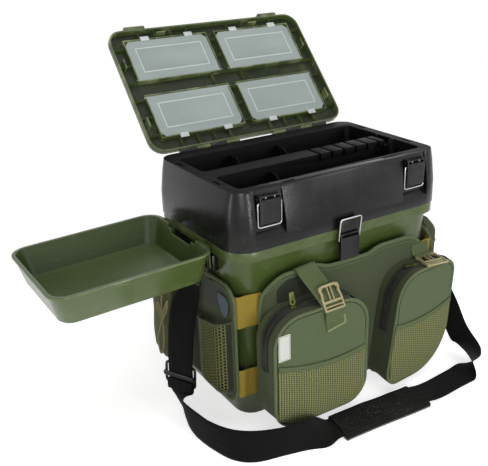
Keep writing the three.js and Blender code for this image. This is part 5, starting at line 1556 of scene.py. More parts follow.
    def underside(self) -> Vector:
        """Direction that the open lid's underside faces."""
        return Vector((0.0, math.sin(self.lid_open), math.cos(self.lid_open - math.pi)))

    def rivets(self, side: Side) -> None:
        """Two domed steel rivets at the top of a latch's lever.

        Args:
            side: which latch.
        """
        node = f"{side.word}_latch_lever"
        low, high = box_of(node)
        middle = (low.x + high.x) / 2
        half = (high.x - low.x) / 2
        domes = []
        for end in (-1, 1):
            spot = Vector((middle + end * half * 0.42, low.y + 0.0026, high.z - 0.0042))
            domes.append(stud(spot, -BACK, self.rivet_radius, self.rivet_height))
        covered(joined(f"{node}_rivets", domes), RIVET, body=Body[f"{side.name}_LEVER"])

    def box_lid(self, place: str) -> None:
        """Frosted lid of a compartment, with its pale ridge and clip tabs.

        Args:
            place: which compartment, such as upper_left.
        """
        piece = Shell(f"box_lid_{place}", FROSTED, 0.00025, clean_angle=0.0).build()
        under = self.underside()
        heights: dict[float, float] = {}
        for face in piece.data.polygons:
            if face.normal.dot(under) > 0.99:
                height = round(face.center.dot(under), 4)
                heights[height] = heights.get(height, 0.0) + face.area
        raised = max(heights, key=lambda height: heights[height]) + self.trim_rise
        FROSTED_TRIM.add_to(piece, lambda face: face.center.dot(under) > raised)

    def build(self) -> None:
        """Build every hard piece."""
        for shell in self.list_shells():
            shell.build()
        self.tray()
        self.tackle()
        self.lid()
        for side in Side:
            self.zip_slider(side)
        for side in Side:
            self.rivets(side)
        for place in ("upper_left", "upper_right", "lower_left", "lower_right"):
            self.box_lid(place)
        LOG.info("hard parts: shells, sliders, rivets and four frosted lids")


# Fabric carrier


def padded_wall(
    name: str,
    columns: Sequence[Column],
    thickness: float,
    rows: int = 26,
    edge: float = 0.006,
) -> Piece:
    """Upright padded wall with soft edges.

    Args:
        name: name of the piece.
        columns: for each column its foot, its outward direction, and its lower and upper heights.
        thickness: how far the wall stands out from its foot.
        rows: faces up the wall.
        edge: breadth over which its edges thin out.

    Returns:
        The new object.
    """
    rings = []
    length = [0.0]
    for (foot, _, _, _), (other, _, _, _) in zip(columns, columns[1:]):
        length.append(length[-1] + (other - foot).length)
    for along, (foot, out, low, top) in zip(length, columns):
        end = min(along, length[-1] - along)
        back = [foot + UP * (low + (top - low) * row / rows) for row in range(rows + 1)]
        front = []
        for row in range(rows, -1, -1):
            z = low + (top - low) * row / rows
            near = min(end, z - low, top - z)
            share = 0.45 + 0.55 * math.sqrt(min(max(near / edge, 0.0), 1.0))
            front.append(foot + out * (thickness * share) + UP * z)
        rings.append([*back, *front])
    return outward(skin(name, rings))


def crowned_slab(
    name: str,
    outline: Sequence[Vector],
    out: Vector,
    thickness: float,
    crown: float = 0.0,
    edge: float = 0.003,
) -> Piece:
    """Flat padded piece on an outline, with round edges and a crowned face.

    Args:
        name: name of the piece.
        outline: points of its back face's outline.
        out: direction that it stands out in.
        thickness: thickness at its edge.
        crown: how far its middle stands proud.
        edge: breadth of its round edge.

    Returns:
        The new object.
    """
    centre = middle_of(outline)
    reach = max((point - centre).length for point in outline)

    def shrunk(share: float, height: float) -> list[Vector]:
        """Smaller copy of the outline at a height."""
        return [centre.lerp(point, share) + out * height for point in outline]

    first = (reach - edge) / reach
    rings = [shrunk(share, 0.0) for share in (0.3, 0.7)]
    for inset, share in ((0.4, 0.0), (0.0, 0.35), (0.0, 0.65), (0.3, 1.0)):
        rings.append(drawn_in(outline, edge * inset, out * (thickness * share)))
    for share in (0.97, 0.93, 0.86, 0.76, 0.64, 0.5, 0.34, 0.17):
        rings.append(shrunk(first * share, thickness + crown * (1 - share * share)))
    piece = outward(skin(name, rings))
    return laid_out(piece)


@dataclass(frozen=True)
class Carrier:
    """Front, side and back panels with their bindings, and the elastic links at the corners."""

    back_y: float = -0.133
    thickness: float = 0.004
    half: float = 0.166
    curl: float = 0.026
    curl_share: float = 0.55
    low: float = 0.027
    top_centre: float = 0.2475
    top_side: float = 0.256
    corner: float = 0.046
    dip: float = 0.034
    side_face: float = 0.203
    side_thickness: float = 0.005
    side_half: float = 0.118
    side_low: float = 0.040
    side_top: float = 0.243
    side_corner: float = 0.030
    rear_face: float = 0.1285
    rear_half: float = 0.168
    rear_low: float = 0.030
    rear_top: float = 0.250
    link_thickness: float = 0.0016
    tape: float = 0.0034
    seam_drop: float = 0.0085
    upper_link: Pair = (0.176, 0.229)
    lower_link: Pair = (0.054, 0.102)

    def on_curl(self, side: int, radius: float, share: float) -> tuple[Vector, Vector]:
        """Place and outward direction on the curl at an end of the front panel.

        Args:
            side: -1 left, 1 right.
            radius: distance from the curl's centre.
            share: share of a quarter turn.

        Returns:
            The place and the direction.
        """
        angle = share * QUARTER
        out = Vector((side * math.sin(angle), -math.cos(angle), 0.0))
        centre = Vector((side * (self.half - self.curl), self.back_y + self.curl, 0.0))
        return centre + out * radius, out

    def front_columns(self) -> list[Column]:
        """Columns of the front panel, from left to right.

        Returns:
            The foot, outward direction, lower and upper height of each.
        """
        straight = self.half - self.curl
        curl_steps, flat_steps = 10, 44
        shares = [self.curl_share * (step + 1) / curl_steps for step in range(curl_steps)]
        places = [self.on_curl(-1, self.curl, share) for share in reversed(shares)]
        for step in range(flat_steps + 1):
            x = -straight + 2 * straight * step / flat_steps
            places.append((Vector((x, self.back_y, 0.0)), -BACK))
        places += [self.on_curl(1, self.curl, share) for share in shares]
        curl_length = self.curl * self.curl_share * QUARTER
        columns = []
        for foot, out in places:
            beyond = max(abs(foot.x) - straight, 0.0) / self.curl
            gone = min(abs(foot.x), straight) + math.asin(min(beyond, 1.0)) * self.curl
            to_end = straight + curl_length - gone
            share = min(max((abs(foot.x) - self.dip) / self.dip, 0.0), 1.0)
            crown = self.top_centre + (self.top_side - self.top_centre) * share * share * (3 - 2 * share)
            inside = min(max(to_end, 0.0), self.corner)
            fall = self.corner - math.sqrt(self.corner ** 2 - (self.corner - inside) ** 2)
            columns.append((foot, out, self.low + fall, crown - fall))
        return columns

    def front_panel(self) -> None:
        """Padded front panel, its bound edge and the seam beside the binding."""
        columns = self.front_columns()
        panel = padded_wall("front_panel_cloth", columns, self.thickness)
        wrinkled(panel, lambda spot: 0.0004 if spot.y < self.back_y - 0.001 else 0.0, 26, 1.3)
        covered(panel, PANEL_CLOTH, "front_panel")
        middle, face = self.thickness / 2, self.thickness + 0.0003
        inset = self.tape * 0.7
        rim = [foot + out * middle + UP * (top - inset) for foot, out, _, top in columns]
        rim += [foot + out * middle + UP * (low + inset) for foot, out, low, _ in reversed(columns)]
        binding = tube("front_panel_binding", resampled(rim, 170, True), self.tape, True, 12, 0.82, -BACK)
        covered(binding, BINDING)
        seam = [foot + out * face + UP * (top - self.seam_drop) for foot, out, _, top in columns[4:-4]]
        covered(stitches("front_panel_seam", seam), THREAD)
        self.yoke()

    def yoke(self) -> None:
        """Dark cloth patch on the panel behind the left pocket's top: painted deep shade."""
        shape = rounded_polygon([
            (-0.139, 0.2106, 0.004),
            (-0.066, 0.2106, 0.004),
            (-0.070, 0.2455, 0.006),
            (-0.118, 0.2455, 0.014),
            (-0.139, 0.2340, 0.012),
        ])
        outline = upright(shape, "Y", self.back_y - self.thickness + 0.0004, 90)
        # The patch stands for the deep shade there: painted shadow.
        covered(crowned_slab("left_pocket_yoke", outline, -BACK, 0.0014, 0.0012, 0.002), CLOTH_DEEP_SHADE)

    def bound_panel(
        self, word: str, node: str, outline: list[Vector], out: Vector, depth: float, flat: float
    ) -> None:
        """Padded panel with its binding.

        Args:
            word: first word of its pieces' names.
            node: the node that it stands for.
            outline: the outline of its back face.
            out: direction that it faces.
            depth: its thickness.
            flat: the binding's height as a share of its width.
        """
        panel = crowned_slab(f"{word}_panel_cloth", outline, out, depth * 0.9, 0.0003)
        # Side and back panels take the darker cloth copy as painted shade.
        covered(panel, CLOTH_SHADED, node)
        rim = drawn_in(outline, self.tape * 0.8, out * (depth / 2))
        covered(tube(f"{word}_panel_binding", rim, self.tape, True, 12, flat, out), BINDING)

    def side_panel(self, side: Side) -> None:
        """Padded side panel, whose front corners are rounder than its rear ones.

        Args:
            side: which side.
        """
        half, tight = self.side_half, self.side_corner / 2
        shape = rounded_polygon([
            (-half, self.side_low, self.side_corner),
            (half, self.side_low, tight),
            (half, self.side_top, tight),
            (-half, self.side_top, self.side_corner),
        ])
        foot = side.value * (self.side_face - self.side_thickness)
        outline = upright(shape, "X", foot, 120)
        node = f"{side.word}_side_panel"
        self.bound_panel(side.word, node, outline, RIGHT * side.value, self.side_thickness, 0.88)

    def back_panel(self) -> None:
        """Padded back panel."""
        half = self.rear_half
        corners = rectangle((-half, self.rear_low), (half, self.rear_top), self.side_corner)
        outline = upright(rounded_polygon(corners), "Y", self.rear_face - self.thickness, 140)
        self.bound_panel("back", "back_panel", outline, BACK, self.thickness, 0.8)

    def link_path(self, side: int) -> list[Vector]:
        """Route of an elastic link from inside a side panel round the end of the front panel.

        Args:
            side: -1 left, 1 right.

        Returns:
            The route at height zero.
        """
        gap, bend, tail = 0.0003, 0.004, 0.010
        inside = side * (self.side_face - self.side_thickness - gap - self.link_thickness / 2)
        front = -self.side_half
        passing, _ = self.on_curl(side, self.curl + self.link_thickness, 0.67)
        seat_radius = self.curl - gap - self.link_thickness
        seat, _ = self.on_curl(side, seat_radius, 0.6)
        end, _ = self.on_curl(side, seat_radius, 0.44)
        return [
            Vector((inside, front + bend + tail, 0)),
            Vector((inside, front + bend, 0)),
            Vector((inside - side * bend, front + gap, 0)),
            Vector(((inside + passing.x) / 2, front + gap, 0)),
            passing,
            seat,
            end,
        ]

    def elastic_link(self, side: Side, level: str, edges: Pair) -> None:
        """Gold elastic link at a front corner.

        Args:
            side: which side.
            level: upper or lower.
            edges: heights of its lower and upper edge.
        """
        low, top = edges
        middle = UP * ((low + top) / 2)
        path = curve_through([point + middle for point in self.link_path(side.value)], 4)
        name = f"{side.word}_{level}_elastic_link"
        link = band(f"{name}_band", [(point, UP) for point in path], top - low, self.link_thickness)
        covered(link, ELASTIC, name)

    def build(self) -> None:
        """Build the carrier's panels and links."""
        self.front_panel()
        self.back_panel()
        for side in Side:
            self.side_panel(side)
            self.elastic_link(side, "upper", self.upper_link)
            self.elastic_link(side, "lower", self.lower_link)
        LOG.info("carrier: four padded panels with bindings, four elastic links")


# Front pockets


def spans_at(outline: Sequence[Pair], x: float) -> Pair:
    """Lowest and highest point of an outline at a place across.

    Args:
        outline: the outline's points.
        x: the place across.

    Returns:
        The two heights.
    """
    heights = []
    for (a, b), (c, d) in zip(outline, [*outline[1:], outline[0]]):
        if (a - x) * (c - x) <= 0 and a != c:
            heights.append(b + (d - b) * (x - a) / (c - a))
    return min(heights), max(heights)


def ends_of(outline: Sequence[Pair]) -> Pair:
    """Left and right end of an outline."""
    return min(a for a, _ in outline), max(a for a, _ in outline)


@dataclass(frozen=True)
class FrontPocket:
    """Pocket on the front panel, with piping, a zip over its top and a netting pouch."""

    side: Side
    corners: tuple[Triple, ...]
    net_heights: Triple
    slope: float
    zip_low: Pair
    panel_y: float = -0.137
    depth: float = 0.048
    gap: float = 0.0003
    edge: float = 0.006
    piping: float = 0.0021
    net_inset: float = 0.0062
    net_bulge: float = 0.004
    crown: float = 0.0012
    sewn: float = 0.003
    face_wrinkle: float = 0.0007
    gusset_wrinkle: float = 0.0034
    gusset_slack: float = 0.0022
    zip_back: float = 0.022
    seed: float = 2.0

    @property
    def word(self) -> str:
        """Left or right."""
        return self.side.word

    def outline(self, count: int = 150) -> list[Pair]:
        """The pocket's outline, evenly spread."""
        shape = [Vector(point) for point in rounded_polygon(self.corners)]
        return [(p.x, p.y) for p in resampled(shape, count, True)]

    def depth_at(self, x: float) -> float:
        """How far the pocket's face stands out at a place across."""
        return self.depth - (x - self.corners[0][0]) * self.slope

    def body(self) -> None:
        """Pocket body: soft gusset, round front edge and a slightly crowned face."""
        outline = self.outline()
        centre = Vector((
            sum(a for a, _ in outline) / len(outline),
            sum(b for _, b in outline) / len(outline),
        ))

        def ring(inset: float, out_share: float, back: float) -> list[Vector]:
            """Ring of the gusset or of the face's round edge.

            Args:
                inset: how far it lies inside the outline.
                out_share: how far out it stands, as a share of the depth.
                back: how far the depth is cut short.

            Returns:
                The ring.
            """
            points = []
            for a, b in outline:
                spot = Vector((a, b))
                inward = (centre - spot).normalized() * inset
                out = self.gap + (self.depth_at(a) - back - self.gap) * out_share
                points.append(Vector((a + inward.x, self.panel_y - out, b + inward.y)))
            return points

        def face(share: float) -> list[Vector]:
            """Ring on the crowned face.

            Args:
                share: its breadth as a share of the outline's.

            Returns:
                The ring.
            """
            crown = self.crown * (1 - share * share)
            points = []
            for a, b in outline:
                spot = centre.lerp(Vector((a, b)), share)
                points.append(Vector((spot.x, self.panel_y - self.depth_at(spot.x) - crown, spot.y)))
            return points

        rings = [ring(inset, 0.0, 0.0) for inset in (0.05, 0.02, 0.003)]
        gusset_rows = 16
        for row in range(gusset_rows + 1):
            share = row / gusset_rows
            rings.append(ring(self.gusset_slack * math.sin(math.pi * share), share, self.edge * 0.7))
        rings += [ring(0.0008, 1.0, self.edge * 0.4), ring(0.0025, 1.0, 0.001), ring(self.edge, 1.0, 0.0)]
        rings += [face(share) for share in (0.92, 0.86, 0.78, 0.68, 0.56, 0.43, 0.3, 0.16)]
        pocket = outward(skin(f"{self.word}_pocket_cloth", rings))

        def slack_at(spot: Vector) -> float:
            """How far the cloth may move: most in the gusset, little on the face.

            Args:
                spot: the place.

            Returns:
                The depth in metres.
            """
            out = self.panel_y - spot.y
            deep = self.depth_at(spot.x)
            if out < self.sewn:
                return 0.0
            if out > deep - self.sewn:
                return self.face_wrinkle
            return self.gusset_wrinkle * math.sin(math.pi * min(out / deep, 1.0))

        wrinkled(pocket, slack_at, 22, self.seed)
        laid_out(pocket)
        covered(pocket, CLOTH, f"{self.word}_front_pocket")
        # Faces turned away from the front take the darker cloth copy: painted shade on the gussets.
        CLOTH_SHADED.add_to(pocket, lambda polygon: polygon.normal.y > -0.8)
        ends = ends_of(outline)

        def behind_net(polygon: Face) -> bool:
            """Whether a face of the front lies behind the netting."""
            spot = polygon.center
            return polygon.normal.y < -0.8 and spot.z < self.net_top(spot.x, ends) - 0.004

        # Faces behind the netting take the darker copy: painted shade cast by the netting.
        NET_SHADE_CLOTH.add_to(pocket, behind_net)

    def front_rim(self, inset: float, forward: float) -> list[Vector]:
        """Line round the pocket's face.

        Args:
            inset: distance in from the outline.
            forward: distance out from the face.

        Returns:
            The line's points.
        """
        outline = self.outline(180)
        middle_x = sum(a for a, _ in outline) / len(outline)
        middle_z = sum(b for _, b in outline) / len(outline)
        rim = []
        for a, b in outline:
            inward = Vector((middle_x - a, middle_z - b)).normalized() * inset
            y = self.panel_y - self.depth_at(a) - forward
            rim.append(Vector((a + inward.x, y, b + inward.y)))
        return rim

    def rim_piping(self) -> None:
        """Round piping along the face's edge, its flange, and a near-black line of painted shadow along the
        seam inside it.
        """
        for part, inset, forward, radius, sides, flat, finish in (
            ("piping", 0.0014, -0.0006, self.piping, 10, 1.0, PIPING),
            ("flange", 0.0034, -0.0006, 0.0019, 8, 0.45, PIPING),
            ("groove", 0.0058, 0.0001, 0.0006, 6, 0.7, SEAM_SHADOW),
        ):
            rim = self.front_rim(inset, forward)
            covered(tube(f"{self.word}_pocket_{part}", rim, radius, True, sides, flat, -BACK), finish)

    def zip_line(self) -> list[Vector]:
        """Line of the zip on the gusset, from the right side over the top to the left side.

        Returns:
            The line's points.
        """
        low_left, low_right = self.zip_low
        outline = self.outline(260)
        middle = sum(a for a, _ in outline) / len(outline)
        above = [b > (low_left if a < middle else low_right) for a, b in outline]
        start = next(i for i, high in enumerate(above) if high and not above[i - 1])
        run = [outline[(start + step) % len(outline)] for step in range(sum(above))]
        return [Vector((a, self.panel_y - self.zip_back, b)) for a, b in run]

    def zip(self) -> None:
        """Zip tape and its coil of teeth over the pocket's top."""
        line = self.zip_line()
        centre = middle_of(line)
        lifted = []
        for spot, travel in zip(line, travels(line)):
            out = travel.cross(BACK).normalized()
            lifted.append((spot, out if out.dot(spot - centre) > 0 else -out))
        stations = [(spot + out * 0.0006, BACK) for spot, out in lifted]
        covered(band(f"{self.word}_zip_tape", stations, 0.017, 0.0012), ZIP_TAPE)
        run, pitch, half = 0.34, 0.0013, 0.0017
        fine = resampled([spot + out * 0.0016 for spot, out in lifted], int(run / pitch))
        teeth = [spot + BACK * (half if index % 2 else -half) for index, spot in enumerate(fine)]
        covered(tube(f"{self.word}_zip_coil", teeth, 0.00055, False, 5), ZIP_COIL)

    def net_top(self, x: float, ends: Pair) -> float:
        """Height of the pouch's bound top edge.

        Args:
            x: the place across.
            ends: the outline's left and right end.

        Returns:
            The height.
        """
        outer, middle, inner = self.net_heights
        lift = 2 * middle - (outer + inner) / 2
        t = (x - ends[0]) / (ends[1] - ends[0])
        return outer * (1 - t) ** 2 + 2 * lift * t * (1 - t) + inner * t * t

    def net_stand(self, x: float, z: float, across: float, up: float) -> float:
        """How far the netting stands off the pocket's face.

        Args:
            x: the place across.
            z: its height.
            across: how far across the netting it is, from 0 to 1.
            up: how far up, from 0 to 1.

        Returns:
            The distance.
        """
        swell = math.sin(math.pi * across) ** 0.7 * math.sin(math.pi * (0.05 + 0.87 * up)) ** 0.8
        ripple = 0.0008 * noise.noise(Vector((x * 40, self.seed, z * 40)))
        return 0.0014 + 0.0006 * swell ** 0.5 + (self.net_bulge * 0.8 + ripple) * swell

    def netting(self) -> None:
        """Netting pouch over the lower part of the face, with its bound top edge."""
        outline = rounded_polygon(self.corners)
        ends = ends_of(outline)
        low_x, high_x = ends
        columns, rows, inset = 48, 30, self.net_inset
        points, top_edge = [], []
        for column in range(columns + 1):
            across = column / columns
            x = low_x + inset + (high_x - low_x - 2 * inset) * across
            lowest, highest = spans_at(outline, x)
            top = min(self.net_top(x, ends), highest - inset)
            for row in range(rows + 1):
                up = row / rows
                z = lowest + inset + (top - lowest - inset) * up
                y = self.panel_y - self.depth_at(x) - self.net_stand(x, z, across, up)
                points.append(Vector((x, y, z)))
            top_edge.append(points[-1])
        faces, uvs = [], []
        for column in range(columns):
            for row in range(rows):
                first = column * (rows + 1) + row
                corners = (first, first + rows + 1, first + rows + 2, first + 1)
                faces.append(corners)
                uvs.append(tuple((points[i].x, points[i].z) for i in corners))
        net = mesh_piece(f"{self.word}_pocket_netting", points, faces, uvs)
        covered(net, NETTING, f"{self.word}_pocket_mesh")
        hem = [(spot - UP * 0.0035 - BACK * 0.0006, UP) for spot in top_edge]
        binding = covered(band(f"{self.word}_netting_binding", hem, 0.0085, 0.0022), BINDING)
        f"{self.word}_pocket_cloth"

    def build(self) -> None:
        """Build the pocket and all that is sewn on it."""
        self.body()
        self.rim_piping()
        self.zip()
        self.netting()
        LOG.info("%s front pocket: body, piping, zip, netting", self.word)


@dataclass(frozen=True)
class BareLabel:
    """Bare woven label sewn on the left pocket."""

    left: float = -0.170
    right: float = -0.149
    low: float = 0.143
    top: float = 0.186
    face_y: float = -0.1857
    inset: float = 0.0016

    @property
    def seam(self) -> tuple[Pair, Pair]:
        """Lower left and upper right corner of the seam."""
        inset = self.inset
        return (self.left + inset, self.low + inset), (self.right - inset, self.top - inset)

    def build(self) -> None:
        """Build the label and its stitches."""
        shape = rounded_polygon(rectangle((self.left, self.low), (self.right, self.top), 0.0006), 3)
        outline = upright(shape, "Y", self.face_y, 60)
        covered(crowned_slab("woven_label", outline, -BACK, 0.0008, 0.0004, 0.0004), LABEL)
        (a, c), (b, d) = self.seam
        thread = [Vector((x, self.face_y - 0.0011, z)) for x, z in ((a, c), (b, c), (b, d), (a, d))]
        covered(stitches("woven_label_seam", thread, 0.0026, True), THREAD)


# Webbing and buckles over the front pockets


def basis(centre: Vector, wide: Vector, along: Vector) -> Matrix:
    """Place of a flat piece from its middle, its width and its length, its face outwards.

    Args:
        centre: its middle.
        wide: direction of its width.
        along: direction of its length.

    Returns:
        The placing, whose third direction is the one that faces out.
    """
    length = along.normalized()
    width = (wide - length * wide.dot(length)).normalized()
    out = length.cross(width).normalized()
    matrix = Matrix((-width, length, out)).transposed().to_4x4()
    matrix.translation = centre
    return matrix


@dataclass(frozen=True)
class SideReleaseBuckle:
    """Side-release buckle: two springing arms, centre rails and a ladder for the webbing."""

    name: str
    centre: Triple
    wide: Triple
    along: Triple
    width: float = 0.042
    length: float = 0.040
    arm_half: float = 0.0026

    def matrix(self) -> Matrix:
        """The buckle's placing."""
        return basis(Vector(self.centre), Vector(self.wide), Vector(self.along))

    def bar(self, y: float, radius: float, half: float, z: float = 0.0) -> Piece:
        """Round cross bar.

        Args:
            y: its place along the buckle.
            radius: its radius.
            half: half its length.
            z: its height.

        Returns:
            The bar.
        """
        bpy.ops.mesh.primitive_cylinder_add(
            vertices=16, radius=radius, depth=2 * half, location=(0, y, z), rotation=(0, QUARTER, 0),
        )
        return bevelled(settled(bpy.context.view_layer.objects.active), radius * 0.3, 2, SOFT_ANGLE)

    def prong(self, side: int) -> Piece:
        """Springing arm at one side, with a waist for the fingers.

        Args:
            side: -1 or 1.

        Returns:
            The arm.
        """
        half, long, thick = self.width / 2, self.length / 2, self.arm_half
        shares = (
            (0.62, -0.98), (0.92, -0.92), (1.00, -0.66), (0.90, -0.36), (0.97, 0.02), (0.98, 0.34),
            (0.80, 0.34), (0.80, 0.02), (0.70, -0.36), (0.78, -0.64), (0.60, -0.76),
        )
        points = [Vector((side * (half * a), long * b, z)) for z in (-thick, thick) for a, b in shares]
        count = len(shares)
        faces = [tuple(range(count)), tuple(range(2 * count - 1, count - 1, -1))]
        faces += [(i, (i + 1) % count, count + (i + 1) % count, count + i) for i in range(count)]
        return bevelled(outward(mesh_piece("prong", points, faces)), 0.0009, 3, math.radians(20))

    def bar_block(self, x: Pair, y: Pair, thick: float, rounding: float = 0.0006) -> Piece:
        """Straight piece of the buckle, from its ends across and along and half its thickness."""
        return block((x[0], y[0], -thick), (x[1], y[1], thick), rounding)

    def build(self) -> None:
        """Build the buckle and put it in its place."""
        half, long = self.width / 2, self.length / 2
        parts = [self.prong(side) for side in (-1, 1)]
        parts.append(self.bar_block((-half * 0.66, half * 0.66), (-long, -long * 0.80), 0.0024, 0.0008))
        for side in (-1, 1):
            x, thin = side * half * 0.17, half * 0.055
            parts.append(self.bar_block((x - thin, x + thin), (-long * 0.84, long * 0.28), 0.0022))
        wing = half * 0.84
        parts.append(self.bar_block((-wing, wing), (long * 0.22, long * 0.42), 0.0027, 0.0009))
        for side in (-1, 1):
            x, thin = side * half * 0.90, half * 0.08
            parts.append(self.bar_block((x - thin, x + thin), (long * 0.30, long), 0.0021))
        parts.append(self.bar(long * 0.68, 0.0014, half * 0.86, 0.0006))
        parts.append(self.bar(long * 0.94, 0.0018, half * 0.90))
        buckle = reshaped(joined(f"{self.name}_release", parts), self.matrix())
        covered(buckle, BUCKLE, self.name, angle=HARD_ANGLE)


@dataclass(frozen=True)
class Fastenings:
    """The webbing and the buckles over the two front pockets."""

    width: float = 0.036
    thickness: float = 0.0015
    panel_y: float = -0.13805
    pocket_y: float = -0.18655
    left_wide: Triple = (0.99, 0.0, 0.10)
    left_along: Triple = (0.0006, -0.0215, -0.0345)
    left_centre: Triple = (-0.0705, -0.1812, 0.2205)
    tab_wide: Triple = (0.98, 0.0, 0.16)
    right_wide: Triple = (0.99, -0.15, 0.0)
    right_along: Triple = (-0.15, -0.99, 0.0)
    right_centre: Triple = (0.153, -0.1635, 0.2156)
    left_strip: tuple[Triple, ...] = (
        (-0.0892, -0.1350, 0.2596), (-0.0888, -0.1390, 0.2612), (-0.0880, -0.1430, 0.2590),
        (-0.0866, -0.1475, 0.2525), (-0.0838, -0.1555, 0.2445), (-0.0795, -0.1660, 0.2335),
        (-0.0752, -0.1758, 0.2225), (-0.0722, -0.1842, 0.2128), (-0.0710, -0.1872, 0.2060),
    )

    def ribbon(self, name: str, points: Sequence[Triple | Vector], wide: Triple, *nodes: str) -> Piece:
        """Strip of webbing along a smooth curve.

        Args:
            name: name of the piece.
            points: places that it passes.
            wide: direction of its width.
            nodes: nodes that it stands for.

        Returns:
            The new object.
        """
        path = resampled(curve_through([Vector(point) for point in points], 6), 8 * len(points))
        strip = band(name, [(point, Vector(wide)) for point in path], self.width, self.thickness)
        return covered(strip, OLIVE_TAPE, *nodes)

    def box_stitch(self, name: str, matrix: Matrix, width: float, length: float) -> None:
        """Sewn box with a cross in it.

        Args:
            name: name of the piece.
            matrix: the box's place, its face along the third direction.
            width: width of the box.
            length: length of the box.
        """
        w, h = width / 2, length / 2
        corners = [Vector((a, b, 0.0)) for a, b in ((-w, -h), (w, -h), (w, h), (-w, h))]
        lines = [corners + [corners[0]], [corners[0], corners[2]], [corners[1], corners[3]]]
        parts = [stitches(name, [matrix @ point for point in line], 0.003) for line in lines]
        covered(joined(name, parts), THREAD)

    def left(self) -> None:
        """Left webbing, its buckle, and the tab sewn on the pocket."""
        SideReleaseBuckle(
            "left_pocket_buckle", self.left_centre, self.left_wide, self.left_along, width=0.037,
        ).build()
        self.ribbon("left_pocket_webbing", self.left_strip, self.left_wide, "left_pocket_strap")
        face = self.pocket_y
        tab = (
            (-0.0692, -0.1895, 0.2060),
            (-0.0690, -0.1903, 0.2020),
            (-0.0683, -0.1893, 0.1960),
            (-0.0665, face - 0.0008, 0.1850),
            (-0.0640, face - 0.0003, 0.1690),
        )
        self.ribbon("left_pocket_tab_webbing", tab, self.tab_wide, "left_pocket_tab")
        wide = Vector(self.tab_wide)
        spot = Vector((-0.0660, face - 0.0016, 0.1815))
        self.box_stitch("left_tab_stitch", basis(spot, wide, Vector((0.16, 0, -0.98))), 0.027, 0.017)
        wide.normalize()
        foot = Vector((-0.0642, face - 0.0014, 0.1704))
        rise = Vector((-0.0022, 0.0, 0.0150))
        hem = [foot + wide * (self.width * (share - 0.5)) for share in (0.02, 0.25, 0.5, 0.75, 0.97)]
        side = [foot + wide * (self.width * 0.47) + rise * share for share in (0.0, 0.35, 0.7, 1.0)]
        edges = [tube("hem", path, 0.0017, False, 8, 0.45, BACK) for path in (hem, side)]
        covered(joined("left_tab_loop_edge", edges), LOOP_EDGE)

    def right(self) -> None:
        """Right webbing and its buckle, which lies on the pocket."""
        wide, centre = self.right_wide, Vector(self.right_centre)
        SideReleaseBuckle("right_pocket_buckle", self.right_centre, wide, self.right_along).build()
        along = Vector(self.right_along).normalized()
        strip = (
            (0.150, self.panel_y, 0.238),
            (0.1505, -0.1383, 0.230),
            (0.151, -0.1392, 0.2235),
            (0.152, -0.1414, 0.2201),
            centre - along * 0.0185 + UP * 0.0036,
            centre - along * 0.0145 + UP * 0.0006,
        )
        self.ribbon("right_pocket_webbing", strip, (1.0, 0.0, 0.0), "right_pocket_strap")

    def build(self) -> None:
        """Build both fastenings."""
        self.left()
        self.right()
        LOG.info("fastenings: webbing, two side-release buckles, box stitch")


# Side pockets


def side_outline(
    side: int, y0: float, y1: float, depth: float, radius: float, count: int = 96
) -> list[Vector]:
    """Outline of a side pocket seen from above, from its front end round to its rear end.

    Args:
        side: -1 left, 1 right.
        y0: its front end.
        y1: its rear end.
        depth: how far it stands out from the panel.
        radius: radius of its outer corners.
        count: how many points to give back.

    Returns:
        The points at height zero, the flat back included.
    """
    out, tight = 0.203 + depth, radius / 4
    corners = [(PANEL_SIDE, y0, tight), (out, y0, radius), (out, y1, radius), (PANEL_SIDE, y1, tight)]
    points = [Vector((side * x, y, 0.0)) for x, y in rounded_polygon(corners, 10)]
    return resampled(points, count, True)


def round_the_side(points: Sequence[Vector], middle: float) -> list[Vector]:
    """Points of a side pocket, in their order from the front round to the rear."""
    return sorted(points, key=lambda point: math.atan2(point.y - middle, abs(point.x) - 0.195))


